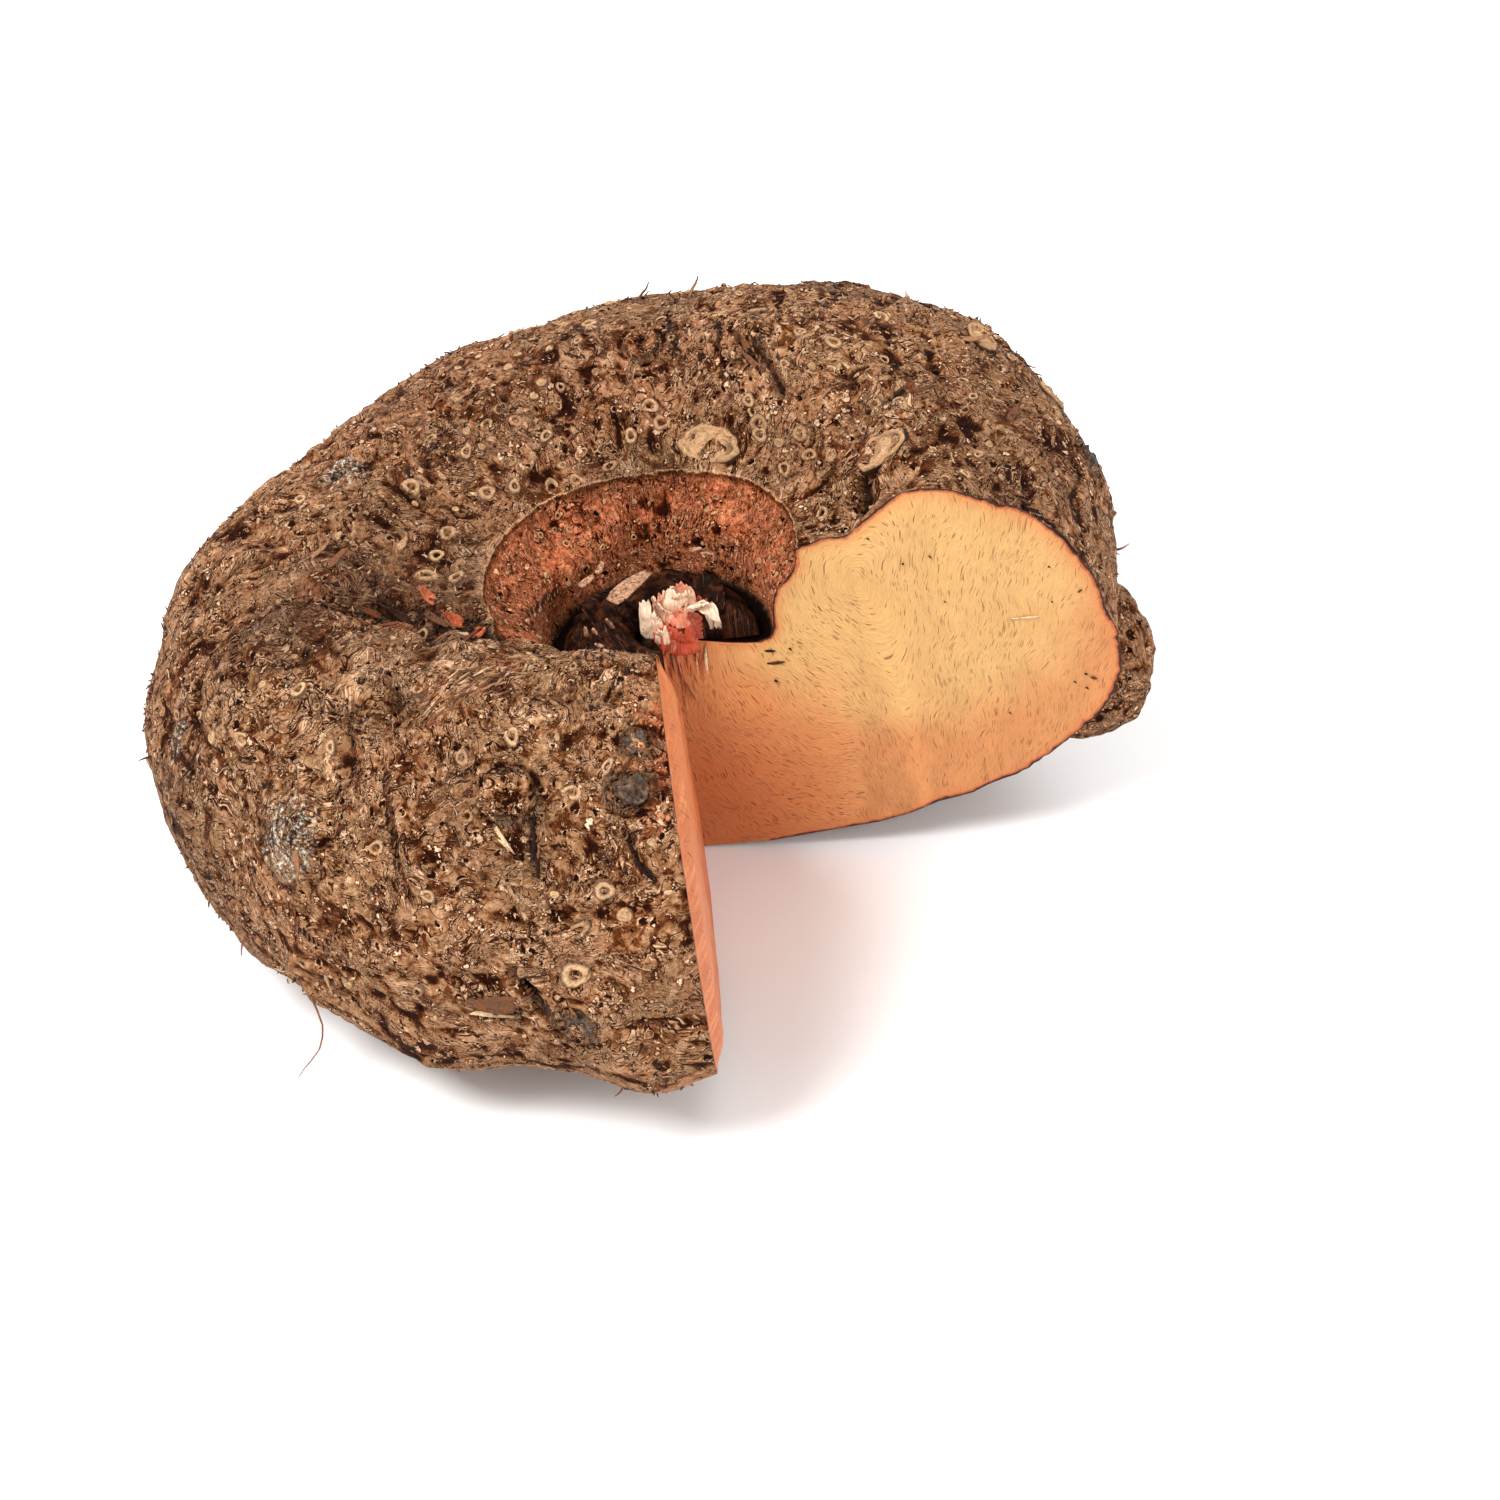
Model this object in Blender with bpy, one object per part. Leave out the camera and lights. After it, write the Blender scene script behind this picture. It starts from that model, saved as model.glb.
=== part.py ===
"""Elephant-foot yam: a broad, ring-shaped tuber with a deep crater in its crown and a wedge cut out.

The tuber is turned about its own axis, which leans towards -X. An azimuth of 0 degrees points along
+X and 90 along +Y. The cut wedge is the space from CUT_LEFT round to CUT_RIGHT, so both cut faces are
planes that meet on the axis. Along a meridian, a row number says where a point lies: row 0 is the
middle of the crater floor, FLOOR_ROW its edge, RING_ROW the ring-shaped scar of the old stalk,
CREST_ROW the top of the ring, WAIST_ROW the widest line and BASE_ROW the middle of the underside.

The skin carries knobs, a deep furrow, the dished scars of old roots and one daughter tuber. Torn
sheath scales lie on the crater floor round the cut stub of the shoot bud.

Lengths are in millimetres, and MM turns them into Blender's metres.
"""

import itertools
import math
from typing import NamedTuple

import bmesh
import bpy
import numpy as np
from mathutils import Matrix, Vector

MM = 0.001
GAP = 0.35

# Where the tuber stands, and its cut
LEAN_DEG = 6.5
AXIS_FOOT = (9.5, -2.4)
BASE_DROP = 0.6
CUT_RIGHT = 1.0
CUT_LEFT = 275.0

FLOOR_ROW, RING_ROW, CREST_ROW, WAIST_ROW, BASE_ROW = 2, 4, 6, 11, 17
FLOOR_RADIUS, FLOOR_HEIGHT, FLOOR_SAG = 27.0, 71.0, 3.0
SHOULDER_ANGLES = (18, 36, 54, 72, 90)
BELLY_ANGLES = (15, 30, 45, 60, 75)
BELLY_POWER = 2 / 2.5


class Station(NamedTuple):
    """The size of one meridian of the tuber."""

    azimuth: float
    outer_radius: float
    crest_radius: float
    crest_height: float
    ring_radius: float
    ring_height: float
    waist_height: float


STATIONS = (
    Station(0, 114, 67, 107, 37, 94, 58),
    Station(45, 134, 69, 120, 40, 95, 64),
    Station(90, 123, 67, 119, 38, 95, 65),
    Station(135, 122, 70, 112, 41, 94, 62),
    Station(180, 131, 76, 106, 43, 93, 58),
    Station(225, 122, 70, 112, 43, 95, 56),
    Station(275, 118, 61, 110, 40, 94, 56),
    Station(320, 116, 62, 107, 38, 94, 56),
)

# The mesh of the tuber
COLUMNS = 76
ROWS_IN_SPAN = (1, 1, 2, 3, 3, 3, 2, 2, 2, 2, 2, 2, 2, 2, 1, 1, 1)
AXIS_STEPS = 4
CUT_FACE_MIDDLE = (60.0, 48.0)

# Uneven growth: wavelength, height and seed of each layer of lumps
LUMPS = ((40.0, 2.2, 3), (17.0, 1.7, 8))
RING_LIP, RING_LIP_ROWS = 2.2, 0.24


class Swelling(NamedTuple):
    """A broad rise or, where the height is negative, a dent in the skin."""

    azimuth: float
    row: float
    width: float
    height: float


SWELLINGS = (
    Swelling(64.5, 5.7, 11, 3.5),
    Swelling(150, 6.6, 9, 3.0),
    Swelling(199, 7.2, 13, 3.0),
    Swelling(243, 6.5, 13, 4.0),
    Swelling(262, 5.6, 10, 3.0),
    Swelling(253, 8.0, 10, 2.0),
    Swelling(239, 12.4, 13, 5.5),
    Swelling(266, 12.8, 12, 3.5),
    Swelling(222, 9.5, 12, 2.5),
    Swelling(230, 7.6, 9, -3.0),
    Swelling(183, 5.0, 12, -2.5),
    Swelling(100, 5.2, 14, -1.5),
    Swelling(33, 8.3, 22, 3.0),
    Swelling(165, 8.5, 20, 2.0),
    Swelling(120, 9.0, 16, 2.0),
    Swelling(70, 10.0, 18, 2.5),
    Swelling(45, 12.5, 14, -2.0),
    Swelling(160, 12.5, 16, 2.5),
)


class Groove(NamedTuple):
    """A sunk line in the skin from one point to another."""

    start: tuple
    end: tuple
    width: float
    depth: float


GROOVES = (
    Groove((212, 4.35), (204, 4.95), 6.0, 13.0),
    Groove((204, 4.95), (193, 5.95), 6.0, 9.0),
    Groove((4, 4.7), (9, 5.9), 3.5, 3.5),
    Groove((176, 6.6), (170, 7.6), 4.0, 2.5),
    Groove((245, 8.6), (246, 9.6), 3.5, 2.5),
    Groove((259, 8.3), (260, 9.1), 3.5, 2.5),
)


class Knob(NamedTuple):
    """A wart that stands out of the skin."""

    azimuth: float
    row: float
    radius: float


KNOBS = (
    Knob(90, 5.88, 5.0),
    Knob(158.5, 6.56, 6.5),
    Knob(223.5, 9.31, 8.0),
    Knob(269.5, 7.88, 5.0),
    Knob(270.5, 7.25, 3.6),
    Knob(253, 8.0, 6.0),
    Knob(260.5, 11.25, 4.6),
    Knob(197.5, 9.38, 4.2),
    Knob(64.5, 5.69, 6.5),
    Knob(118, 10.2, 5.5),
    Knob(20, 9.6, 5.0),
    Knob(136, 12.0, 5.0),
    Knob(62, 8.6, 4.5),
)
KNOB_SINK = 0.45
BALL_NOISE_SCALE, BALL_NOISE_SHIFT = 1.7, 9.3
KNOB_ROUGHNESS = 0.14


class Scar(NamedTuple):
    """A dished disc with a raised rim: its half width along the meridian, and across it."""

    azimuth: float
    row: float
    half_length: float
    half_width: float


LARGE_SCARS = (
    Scar(68.5, 4.31, 5.2, 8.2),
    Scar(17.5, 5.56, 7.2, 3.6),
    Scar(36, 8.0, 3.0, 6.5),
    Scar(27.5, 8.88, 5.5, 3.0),
)
LARGE_SCAR_SIDES, LARGE_SCAR_RISE = 12, 1.6
ROOT_SCARS = 110
ROOT_SCAR_SIDES, ROOT_SCAR_RISE = 6, 1.3
ROOT_SCAR_RADII = (1.6, 2.6)
# First row, last row and share of the root scars
ROOT_SCAR_BANDS = ((4.5, 9.0, 0.74), (9.0, 13.2, 0.26))
ROOT_SCAR_SPACING = 9.5
SCAR_ROOT = 3.0
SCAR_RIM, SCAR_DISH = 0.84, 0.5
CUT_MARGIN = 5.0

SCAR_ROOM, KNOB_ROOM, GROOVE_ROOM, FLAP_ROOM, CORMEL_ROOM = 11.0, 3.5, 9.0, 11.0, 24.0

# The daughter tuber on the right, and a loose flap of skin low on the front
CORMEL_AZIMUTH, CORMEL_RADIUS, CORMEL_HEIGHT = 13.5, 109.4, 31.0
CORMEL_HALF_SIZES = (20.0, 15.0, 22.0)
CORMEL_ROUGHNESS = 0.12
FLAP_AZIMUTH, FLAP_ROW = 254.5, 10.75
FLAP_LENGTH, FLAP_WIDTH, FLAP_THICKNESS = 11.0, 11.0, 1.6
FLAP_TILT_DEG, FLAP_LIFT = 30.0, 1.2

# Sheath scales: a low curved bed with torn blades that stand out of it
BED_INNER, BED_OUTER, BED_THICKNESS = 9.0, 24.0, 2.2
BED_MARGIN_DEG = 3.0
BED_COLUMNS, BED_ROWS = 30, 4
BLADES = 20
BLADE_ARC_MARGIN_DEG = 21.0
BLADE_THICKNESS = 0.9
BLADE_STEPS = 3
BLADE_TAPER_END = 0.8
BLADE_CUP = 0.225
BLADE_CURLS = (-0.6, 0.5)


class BladeRow(NamedTuple):
    """Ranges for one ring of blades: radius of the root, length, width and angle of rise."""

    radii: tuple
    lengths: tuple
    widths: tuple
    rises_deg: tuple


INNER_BLADES = BladeRow((11.5, 13.5), (9.0, 14.0), (5.0, 8.0), (88, 112))
OUTER_BLADES = BladeRow((16.0, 18.5), (7.2, 11.2), (6.8, 11.0), (72, 96))

# Stub of the shoot bud, cut by the same wedge
BUD_OUTLINE = ((5.6, 0.0), (6.3, 2.2), (5.6, 5.0), (4.2, 7.6), (2.2, 9.4))
BUD_TOP = 10.4
BUD_COLUMNS = 16
BUD_MARGIN_DEG = 1.5
# Azimuth, height and width of each wrapping leaf of the bud
BUD_FLAPS = ((150.0, 8.6, 4.8), (200.0, 7.4, 4.2), (95.0, 8.0, 4.4), (45.0, 9.2, 4.6))
BUD_FLAP_RADIUS, BUD_FLAP_FOOT, BUD_FLAP_SPREAD, BUD_FLAP_THICKNESS = 4.2, 2.0, 2.4, 1.3
BUD_FLAP_TIP_SHARE = 0.4
SHARP_DEG = 50
SHORTEST_EDGE = 0.03
ON_PLANE, SAME_WAY = 0.05, 0.999


def clear_scene():
    """Remove every object, so that the model starts from nothing."""
    for thing in list(bpy.data.objects):
        bpy.data.objects.remove(thing, do_unlink=True)


def make_material(name, colour, roughness):
    """A Principled material of one colour."""
    material = bpy.data.materials.new(name)
    material.use_nodes = True
    shader = material.node_tree.nodes["Principled BSDF"]
    shader.inputs["Base Color"].default_value = (*colour, 1.0)
    shader.inputs["Roughness"].default_value = roughness
    shader.inputs["Metallic"].default_value = 0.0
    material.diffuse_color = (*colour, 1.0)
    return material


def lattice_noise(points, seed):
    """Smooth noise from -1 to 1 at each point: random values on a unit lattice, blended."""
    cell = np.floor(points).astype(np.int64)
    part = points - cell
    blend = part * part * (3 - 2 * part)
    total = np.zeros(points.shape[:-1])
    for corner in itertools.product((0, 1), repeat=3):
        step = np.array(corner)
        at = cell + step
        key = at[..., 0] * 73856093 ^ at[..., 1] * 19349663 ^ at[..., 2] * 83492791 ^ seed * 2654435
        key = (key ^ (key >> 13)) * 1274126177 & 0x7FFFFFFF
        key = (key ^ (key >> 16)) & 0xFFFF
        weight = np.prod(np.where(step, blend, 1 - blend), axis=-1)
        total += weight * (key / 32767.5 - 1)
    return total


def curve_through(before, start, end, after, u):
    """A point of the Catmull-Rom curve between start and end, at u from 0 to 1."""
    return 0.5 * (
        2 * start
        + (end - before) * u
        + (2 * before - 5 * start + 4 * end - after) * u**2
        + (3 * start - before - 3 * end + after) * u**3
    )


def station_at(azimuth):
    """The sizes of the meridian at each azimuth, blended from the stations on both sides."""
    starts = np.array([station.azimuth for station in STATIONS] + [360.0])
    sizes = np.array([station[1:] for station in STATIONS], float)
    turned = np.mod(azimuth, 360.0)
    span = np.clip(np.searchsorted(starts, turned, side="right") - 1, 0, len(STATIONS) - 1)
    u = (turned - starts[span]) / (starts[span + 1] - starts[span])
    around = [sizes[(span + step) % len(STATIONS)] for step in (-1, 0, 1, 2)]
    return curve_through(*around, u[..., None])


def meridian_knots(azimuth):
    """Radius and height of the meridian at each whole row, for each azimuth."""
    outer, crest, crest_top, ring, ring_top, waist = np.moveaxis(station_at(azimuth), -1, 0)
    floor_low = FLOOR_HEIGHT - FLOOR_SAG + 0 * outer
    knots = [
        (0 * outer, FLOOR_HEIGHT + 0 * outer),
        (0.55 * FLOOR_RADIUS + 0 * outer, floor_low),
        (FLOOR_RADIUS + 0 * outer, floor_low),
        (0.72 * FLOOR_RADIUS + 0.28 * ring, 0.5 * (FLOOR_HEIGHT + ring_top)),
        (ring, ring_top),
        (0.5 * (ring + crest), ring_top + 0.66 * (crest_top - ring_top)),
        (crest, crest_top),
    ]
    for angle in map(math.radians, SHOULDER_ANGLES):
        radius = crest + (outer - crest) * math.sin(angle)
        knots.append((radius, waist + (crest_top - waist) * math.cos(angle)))
    for angle in map(math.radians, BELLY_ANGLES):
        radius = outer * math.cos(angle) ** BELLY_POWER
        knots.append((radius, waist * (1 - math.sin(angle) ** BELLY_POWER)))
    knots.append((0 * outer, 0 * outer))
    return np.stack([np.stack(knot, -1) for knot in knots], -2)


def meridian(azimuth, rows):
    """Radius and height at each azimuth and row, as an array with those two axes first."""
    knots = meridian_knots(azimuth)
    mirror = np.array([-1.0, 1.0])
    knots = np.concatenate([knots[:, 1:2] * mirror, knots, knots[:, -2:-1] * mirror], axis=1)
    span = np.clip(np.floor(rows).astype(int), 0, BASE_ROW - 1)
    around = [knots[:, span + step] for step in range(4)]
    return curve_through(*around, (rows - span)[None, :, None])


def meridian_normals(azimuth, rows):
    """Outward normals of the smooth skin, as radius and height parts."""
    step = 0.02
    ahead = meridian(azimuth, np.clip(rows + step, 0, BASE_ROW))
    behind = meridian(azimuth, np.clip(rows - step, 0, BASE_ROW))
    along = ahead - behind
    normal = np.stack([-along[..., 1], along[..., 0]], -1)
    return normal / np.maximum(np.linalg.norm(normal, axis=-1, keepdims=True), 1e-9)


def turned_points(azimuth, profile):
    """Points in the tuber's own frame from azimuths and their radius and height."""
    angle = np.radians(azimuth)[:, None]
    radius, height = profile[..., 0], profile[..., 1]
    return np.stack([radius * np.cos(angle), radius * np.sin(angle), height], -1)


def skin_point(azimuth, row):
    """One point of the smooth skin, in the tuber's own frame."""
    at = np.array([float(azimuth)])
    return turned_points(at, meridian(at, np.array([float(row)])))[0, 0]


def distance_to_line(points, start, end):
    """The distance of each point from the straight piece between start and end."""
    along = end - start
    share = np.clip((points - start) @ along / (along @ along), 0, 1)
    return np.linalg.norm(points - start - share[..., None] * along, axis=-1)


def relief(points, rows):
    """How far the real skin stands out of the smooth one at each point."""
    open_skin = np.clip((rows - FLOOR_ROW - 0.6) / 1.6, 0, 1) * np.clip((BASE_ROW - rows) / 3, 0, 1)
    height = np.zeros(points.shape[:-1])
    for wavelength, amount, seed in LUMPS:
        height += amount * open_skin * lattice_noise(points / wavelength, seed)
    for swelling in SWELLINGS:
        away = np.linalg.norm(points - skin_point(swelling.azimuth, swelling.row), axis=-1)
        height += swelling.height * np.exp(-((away / swelling.width) ** 2))
    for groove in GROOVES:
        away = distance_to_line(points, skin_point(*groove.start), skin_point(*groove.end))
        height -= groove.depth * np.exp(-((away / groove.width) ** 2))
    height += RING_LIP * np.exp(-(((rows - RING_ROW) / RING_LIP_ROWS) ** 2))
    return height


def real_profile(azimuth, rows):
    """Radius and height of the uneven skin at each azimuth and row."""
    smooth = meridian(azimuth, rows)
    height = relief(turned_points(azimuth, smooth), np.broadcast_to(rows, smooth.shape[:-1]))
    return smooth + height[..., None] * meridian_normals(azimuth, rows)


def stand(points):
    """Lean the points with the tuber's axis and set them on the floor, which flattens the base."""
    lean = math.radians(LEAN_DEG)
    x = points[..., 0] * math.cos(lean) - points[..., 2] * math.sin(lean) + AXIS_FOOT[0]
    z = points[..., 0] * math.sin(lean) + points[..., 2] * math.cos(lean) - BASE_DROP
    lift = np.maximum(0.0, -z) / math.cos(lean)
    x = x - lift * math.sin(lean)
    return np.stack([x, points[..., 1] + AXIS_FOOT[1], np.maximum(z, 0.0)], -1)


def make_object(name, points, faces, material, smooth=True):
    """An object from points in the tuber's own frame, standing in the part's frame."""
    placed = stand(np.asarray(points, float)) * MM
    mesh = bpy.data.meshes.new(name)
    mesh.from_pydata([tuple(point) for point in placed], [], faces)
    work = bmesh.new()
    work.from_mesh(mesh)
    bmesh.ops.recalc_face_normals(work, faces=work.faces[:])
    work.to_mesh(mesh)
    work.free()
    mesh.materials.append(material)
    if smooth:
        mesh.shade_smooth()
        mesh.set_sharp_from_angle(angle=math.radians(SHARP_DEG))
    thing = bpy.data.objects.new(name, mesh)
    bpy.context.scene.collection.objects.link(thing)
    return thing


def triangle_strip(first, second, count):
    """Faces between two rows of vertex numbers."""
    faces = []
    for i in range(count - 1):
        faces.append((first[i], second[i], second[i + 1]))
        faces.append((first[i], second[i + 1], first[i + 1]))
    return faces


def tuber_mesh():
    """Points and faces of the tuber before its warts and scars: the skin and the two cut faces."""
    azimuth = np.linspace(CUT_RIGHT, CUT_LEFT, COLUMNS)
    spans = [np.linspace(i, i + 1, steps, endpoint=False) for i, steps in enumerate(ROWS_IN_SPAN)]
    rows = np.concatenate(spans)[1:]
    grid = turned_points(azimuth, real_profile(azimuth, rows))
    points = list(grid.reshape(-1, 3))
    number = np.arange(len(points)).reshape(COLUMNS, len(rows))
    top, bottom = len(points), len(points) + 1
    points += [np.array([0, 0, FLOOR_HEIGHT]), np.zeros(3)]
    axis = [top]
    for step in range(1, AXIS_STEPS):
        axis.append(len(points))
        points.append(np.array([0, 0, FLOOR_HEIGHT * (1 - step / AXIS_STEPS)]))
    axis.append(bottom)

    faces = []
    for column in range(COLUMNS - 1):
        here, there = number[column], number[column + 1]
        faces.append((top, there[0], here[0]))
        faces += triangle_strip(there, here, len(rows))
        faces.append((bottom, here[-1], there[-1]))
    for column, side in ((0, CUT_RIGHT), (COLUMNS - 1, CUT_LEFT)):
        middle = len(points)
        radius, height = CUT_FACE_MIDDLE
        angle = math.radians(side)
        points.append(np.array([radius * math.cos(angle), radius * math.sin(angle), height]))
        rim = [int(i) for i in number[column]] + axis[::-1]
        for i, j in zip(rim, rim[1:] + rim[:1]):
            faces.append((middle, j, i) if column == 0 else (middle, i, j))
    return points, [tuple(int(i) for i in face) for face in faces]


def skin_frame(azimuth, row):
    """A point of the real skin with its outward direction, and the way round the tuber there."""
    at, rows = np.array([float(azimuth)]), np.array([float(row)])
    point = turned_points(at, real_profile(at, rows))[0, 0]
    out = meridian_normals(at, rows)[0, 0]
    angle = math.radians(azimuth)
    normal = Vector((out[0] * math.cos(angle), out[0] * math.sin(angle), out[1]))
    around = Vector((-math.sin(angle), math.cos(angle), 0.0))
    turn = Matrix((around, normal.cross(around), normal)).transposed()
    return Vector(point), turn


def scar_mesh(scar, sides, rise):
    """A dished disc on a sunk root, standing on the skin."""
    middle, turn = skin_frame(scar.azimuth, scar.row)
    rings = ((1.0, -SCAR_ROOT), (SCAR_RIM, rise), (SCAR_DISH, 0.2 * rise))
    points = []
    for share, height in rings:
        for side in range(sides):
            angle = 2 * math.pi * side / sides
            across = share * scar.half_width * math.cos(angle)
            along = share * scar.half_length * math.sin(angle)
            points.append(middle + turn @ Vector((across, along, height)))
    faces = [tuple(range(sides))[::-1]]
    for ring in range(len(rings) - 1):
        for side in range(sides):
            after = (side + 1) % sides
            low, high = ring * sides, (ring + 1) * sides
            faces.append((low + side, low + after, high + after, high + side))
    faces.append(tuple(range((len(rings) - 1) * sides, len(rings) * sides)))
    return points, faces


def ball_mesh(middle, turn, half_sizes, roughness, seed, subdivisions):
    """A rough ball, as points and triangles."""
    ball = bmesh.new()
    bmesh.ops.create_icosphere(ball, subdivisions=subdivisions, radius=1.0)
    unit = np.array([vert.co[:] for vert in ball.verts])
    faces = [tuple(vert.index for vert in face.verts) for face in ball.faces]
    ball.free()
    swell = 1 + roughness * lattice_noise(unit * BALL_NOISE_SCALE + BALL_NOISE_SHIFT, seed)
    shaped = unit * np.array(half_sizes) * swell[:, None]
    return [middle + turn @ Vector(point) for point in shaped], faces


def flap_mesh():
    """A loose flap of skin: a bent plate, rooted at its upper edge."""
    middle, turn = skin_frame(FLAP_AZIMUTH, FLAP_ROW)
    tilt = Matrix.Rotation(math.radians(FLAP_TILT_DEG), 3, "Y")
    corners = []
    for height in (-FLAP_THICKNESS, 0.0):
        for across in (-0.6 * FLAP_WIDTH, 0.4 * FLAP_WIDTH):
            for along in (-0.5 * FLAP_LENGTH, 0.5 * FLAP_LENGTH):
                corners.append(middle + turn @ (tilt @ Vector((across, along, height + FLAP_LIFT))))
    faces = [(0, 1, 3, 2), (4, 6, 7, 5), (0, 4, 5, 1), (1, 5, 7, 3), (3, 7, 6, 2), (2, 6, 4, 0)]
    return corners, faces


def scattered_root_scars():
    """Places for the root scars: thick round the crown, thin lower down, none on another mark."""
    draw = np.random.default_rng(27)
    taken = [(skin_point(scar.azimuth, scar.row), SCAR_ROOM) for scar in LARGE_SCARS]
    taken += [(skin_point(knob.azimuth, knob.row), knob.radius + KNOB_ROOM) for knob in KNOBS]
    taken += [(skin_point(*groove.start), GROOVE_ROOM) for groove in GROOVES]
    taken += [(skin_point(*groove.end), GROOVE_ROOM) for groove in GROOVES]
    taken.append((skin_point(FLAP_AZIMUTH, FLAP_ROW), FLAP_ROOM))
    taken.append((skin_point(CORMEL_AZIMUTH, WAIST_ROW + 1), CORMEL_ROOM))
    scars = []
    for first, last, share in ROOT_SCAR_BANDS:
        wanted = len(scars) + round(ROOT_SCARS * share)
        while len(scars) < wanted:
            azimuth = draw.uniform(CUT_RIGHT, CUT_LEFT)
            row = draw.uniform(first, last)
            radius = draw.uniform(*ROOT_SCAR_RADII)
            point = skin_point(azimuth, row)
            from_cut = math.radians(min(azimuth - CUT_RIGHT, CUT_LEFT - azimuth, 90))
            if math.hypot(*point[:2]) * math.sin(from_cut) < CUT_MARGIN + radius:
                continue
            if any(np.linalg.norm(point - other) < room for other, room in taken):
                continue
            taken.append((point, ROOT_SCAR_SPACING))
            scars.append(Scar(azimuth, row, radius, radius))
    return scars


def marks_on_the_skin():
    """Meshes of everything that stands out of the skin and is grown onto it."""
    marks = [scar_mesh(scar, ROOT_SCAR_SIDES, ROOT_SCAR_RISE) for scar in scattered_root_scars()]
    marks += [scar_mesh(scar, LARGE_SCAR_SIDES, LARGE_SCAR_RISE) for scar in LARGE_SCARS]
    for seed, knob in enumerate(KNOBS):
        middle, turn = skin_frame(knob.azimuth, knob.row)
        middle = middle - turn @ Vector((0, 0, KNOB_SINK * knob.radius))
        sizes = (knob.radius,) * 3
        marks.append(ball_mesh(middle, turn, sizes, KNOB_ROUGHNESS, seed, 2))
    angle = math.radians(CORMEL_AZIMUTH)
    middle = Vector((CORMEL_RADIUS * math.cos(angle), CORMEL_RADIUS * math.sin(angle), CORMEL_HEIGHT))
    turn = Matrix.Rotation(angle, 3, "Z")
    marks.append(ball_mesh(middle, turn, CORMEL_HALF_SIZES, CORMEL_ROUGHNESS, len(KNOBS), 3))
    marks.append(flap_mesh())
    return marks


def join_meshes(base, meshes, material):
    """Fuse closed meshes into the base object with one Boolean union on their collection."""
    group = bpy.data.collections.new(base.name + "_fused")
    bpy.context.scene.collection.children.link(group)
    for i, (points, faces) in enumerate(meshes):
        piece = make_object(f"{base.name}_{i}", points, faces, material, smooth=False)
        bpy.context.scene.collection.objects.unlink(piece)
        group.objects.link(piece)
    union = base.modifiers.new("union", "BOOLEAN")
    union.operation = "UNION"
    union.operand_type = "COLLECTION"
    union.collection = group
    union.solver = "MANIFOLD"
    shape = base.evaluated_get(bpy.context.evaluated_depsgraph_get())
    joined = bpy.data.meshes.new_from_object(shape)
    base.modifiers.clear()
    base.data = joined
    for piece in list(group.objects):
        bpy.data.objects.remove(piece, do_unlink=True)
    bpy.data.collections.remove(group)


def finish_mesh(thing):
    """Drop the shortest edges, triangulate, and shade smooth between the sharp edges."""
    work = bmesh.new()
    work.from_mesh(thing.data)
    bmesh.ops.dissolve_degenerate(work, dist=SHORTEST_EDGE * MM, edges=work.edges[:])
    bmesh.ops.triangulate(work, faces=work.faces[:])
    work.to_mesh(thing.data)
    work.free()
    thing.data.shade_smooth()
    thing.data.set_sharp_from_angle(angle=math.radians(SHARP_DEG))


def mark_flesh(thing, flesh):
    """Give the faces on the two cut planes the flesh material."""
    thing.data.materials.append(flesh)
    lean = math.radians(LEAN_DEG)
    foot = Vector((*AXIS_FOOT, -BASE_DROP)) * MM
    for side in (CUT_RIGHT, CUT_LEFT):
        angle = math.radians(side)
        flat = Vector((-math.sin(angle), math.cos(angle), 0.0))
        normal = Matrix.Rotation(-lean, 3, "Y") @ flat
        for face in thing.data.polygons:
            near = abs((face.center - foot).dot(normal)) < ON_PLANE * MM
            if near and abs(face.normal.dot(normal)) > SAME_WAY:
                face.material_index = 1


def make_corm():
    """The tuber with its scars, knobs, flap of skin and daughter tuber, as one body."""
    skin = make_material("corm_skin", (0.16, 0.095, 0.06), 0.85)
    flesh = make_material("corm_flesh", (0.86, 0.40, 0.16), 0.45)
    points, faces = tuber_mesh()
    corm = make_object("corm", points, faces, skin)
    join_meshes(corm, marks_on_the_skin(), skin)
    finish_mesh(corm)
    mark_flesh(corm, flesh)
    return corm


def floor_height(radius):
    """Height of the crater floor at a radius, in the tuber's own frame."""
    profile = meridian(np.array([90.0]), np.arange(FLOOR_ROW + 1.0))[0]
    return float(np.interp(radius, profile[:, 0], profile[:, 1]))


def bed_mesh():
    """The curved bed of old sheath bases that lies on the crater floor."""
    azimuth = np.linspace(CUT_RIGHT + BED_MARGIN_DEG, CUT_LEFT - BED_MARGIN_DEG, BED_COLUMNS)
    radii = np.linspace(BED_INNER, BED_OUTER, BED_ROWS)
    low = [(radius, floor_height(radius) + GAP) for radius in radii]
    high = [(radius, height + BED_THICKNESS) for radius, height in low[::-1]]
    outline = np.array(low + high)
    loops = turned_points(azimuth, np.broadcast_to(outline, (len(azimuth), *outline.shape)))
    points = list(loops.reshape(-1, 3))
    size = len(outline)
    faces = [tuple(range(size)), tuple(range((BED_COLUMNS - 1) * size, BED_COLUMNS * size))[::-1]]
    for column in range(BED_COLUMNS - 1):
        here, there = column * size, (column + 1) * size
        for i in range(size):
            j = (i + 1) % size
            faces.append((here + j, here + i, there + i))
            faces.append((here + j, there + i, there + j))
    return points, faces


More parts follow.
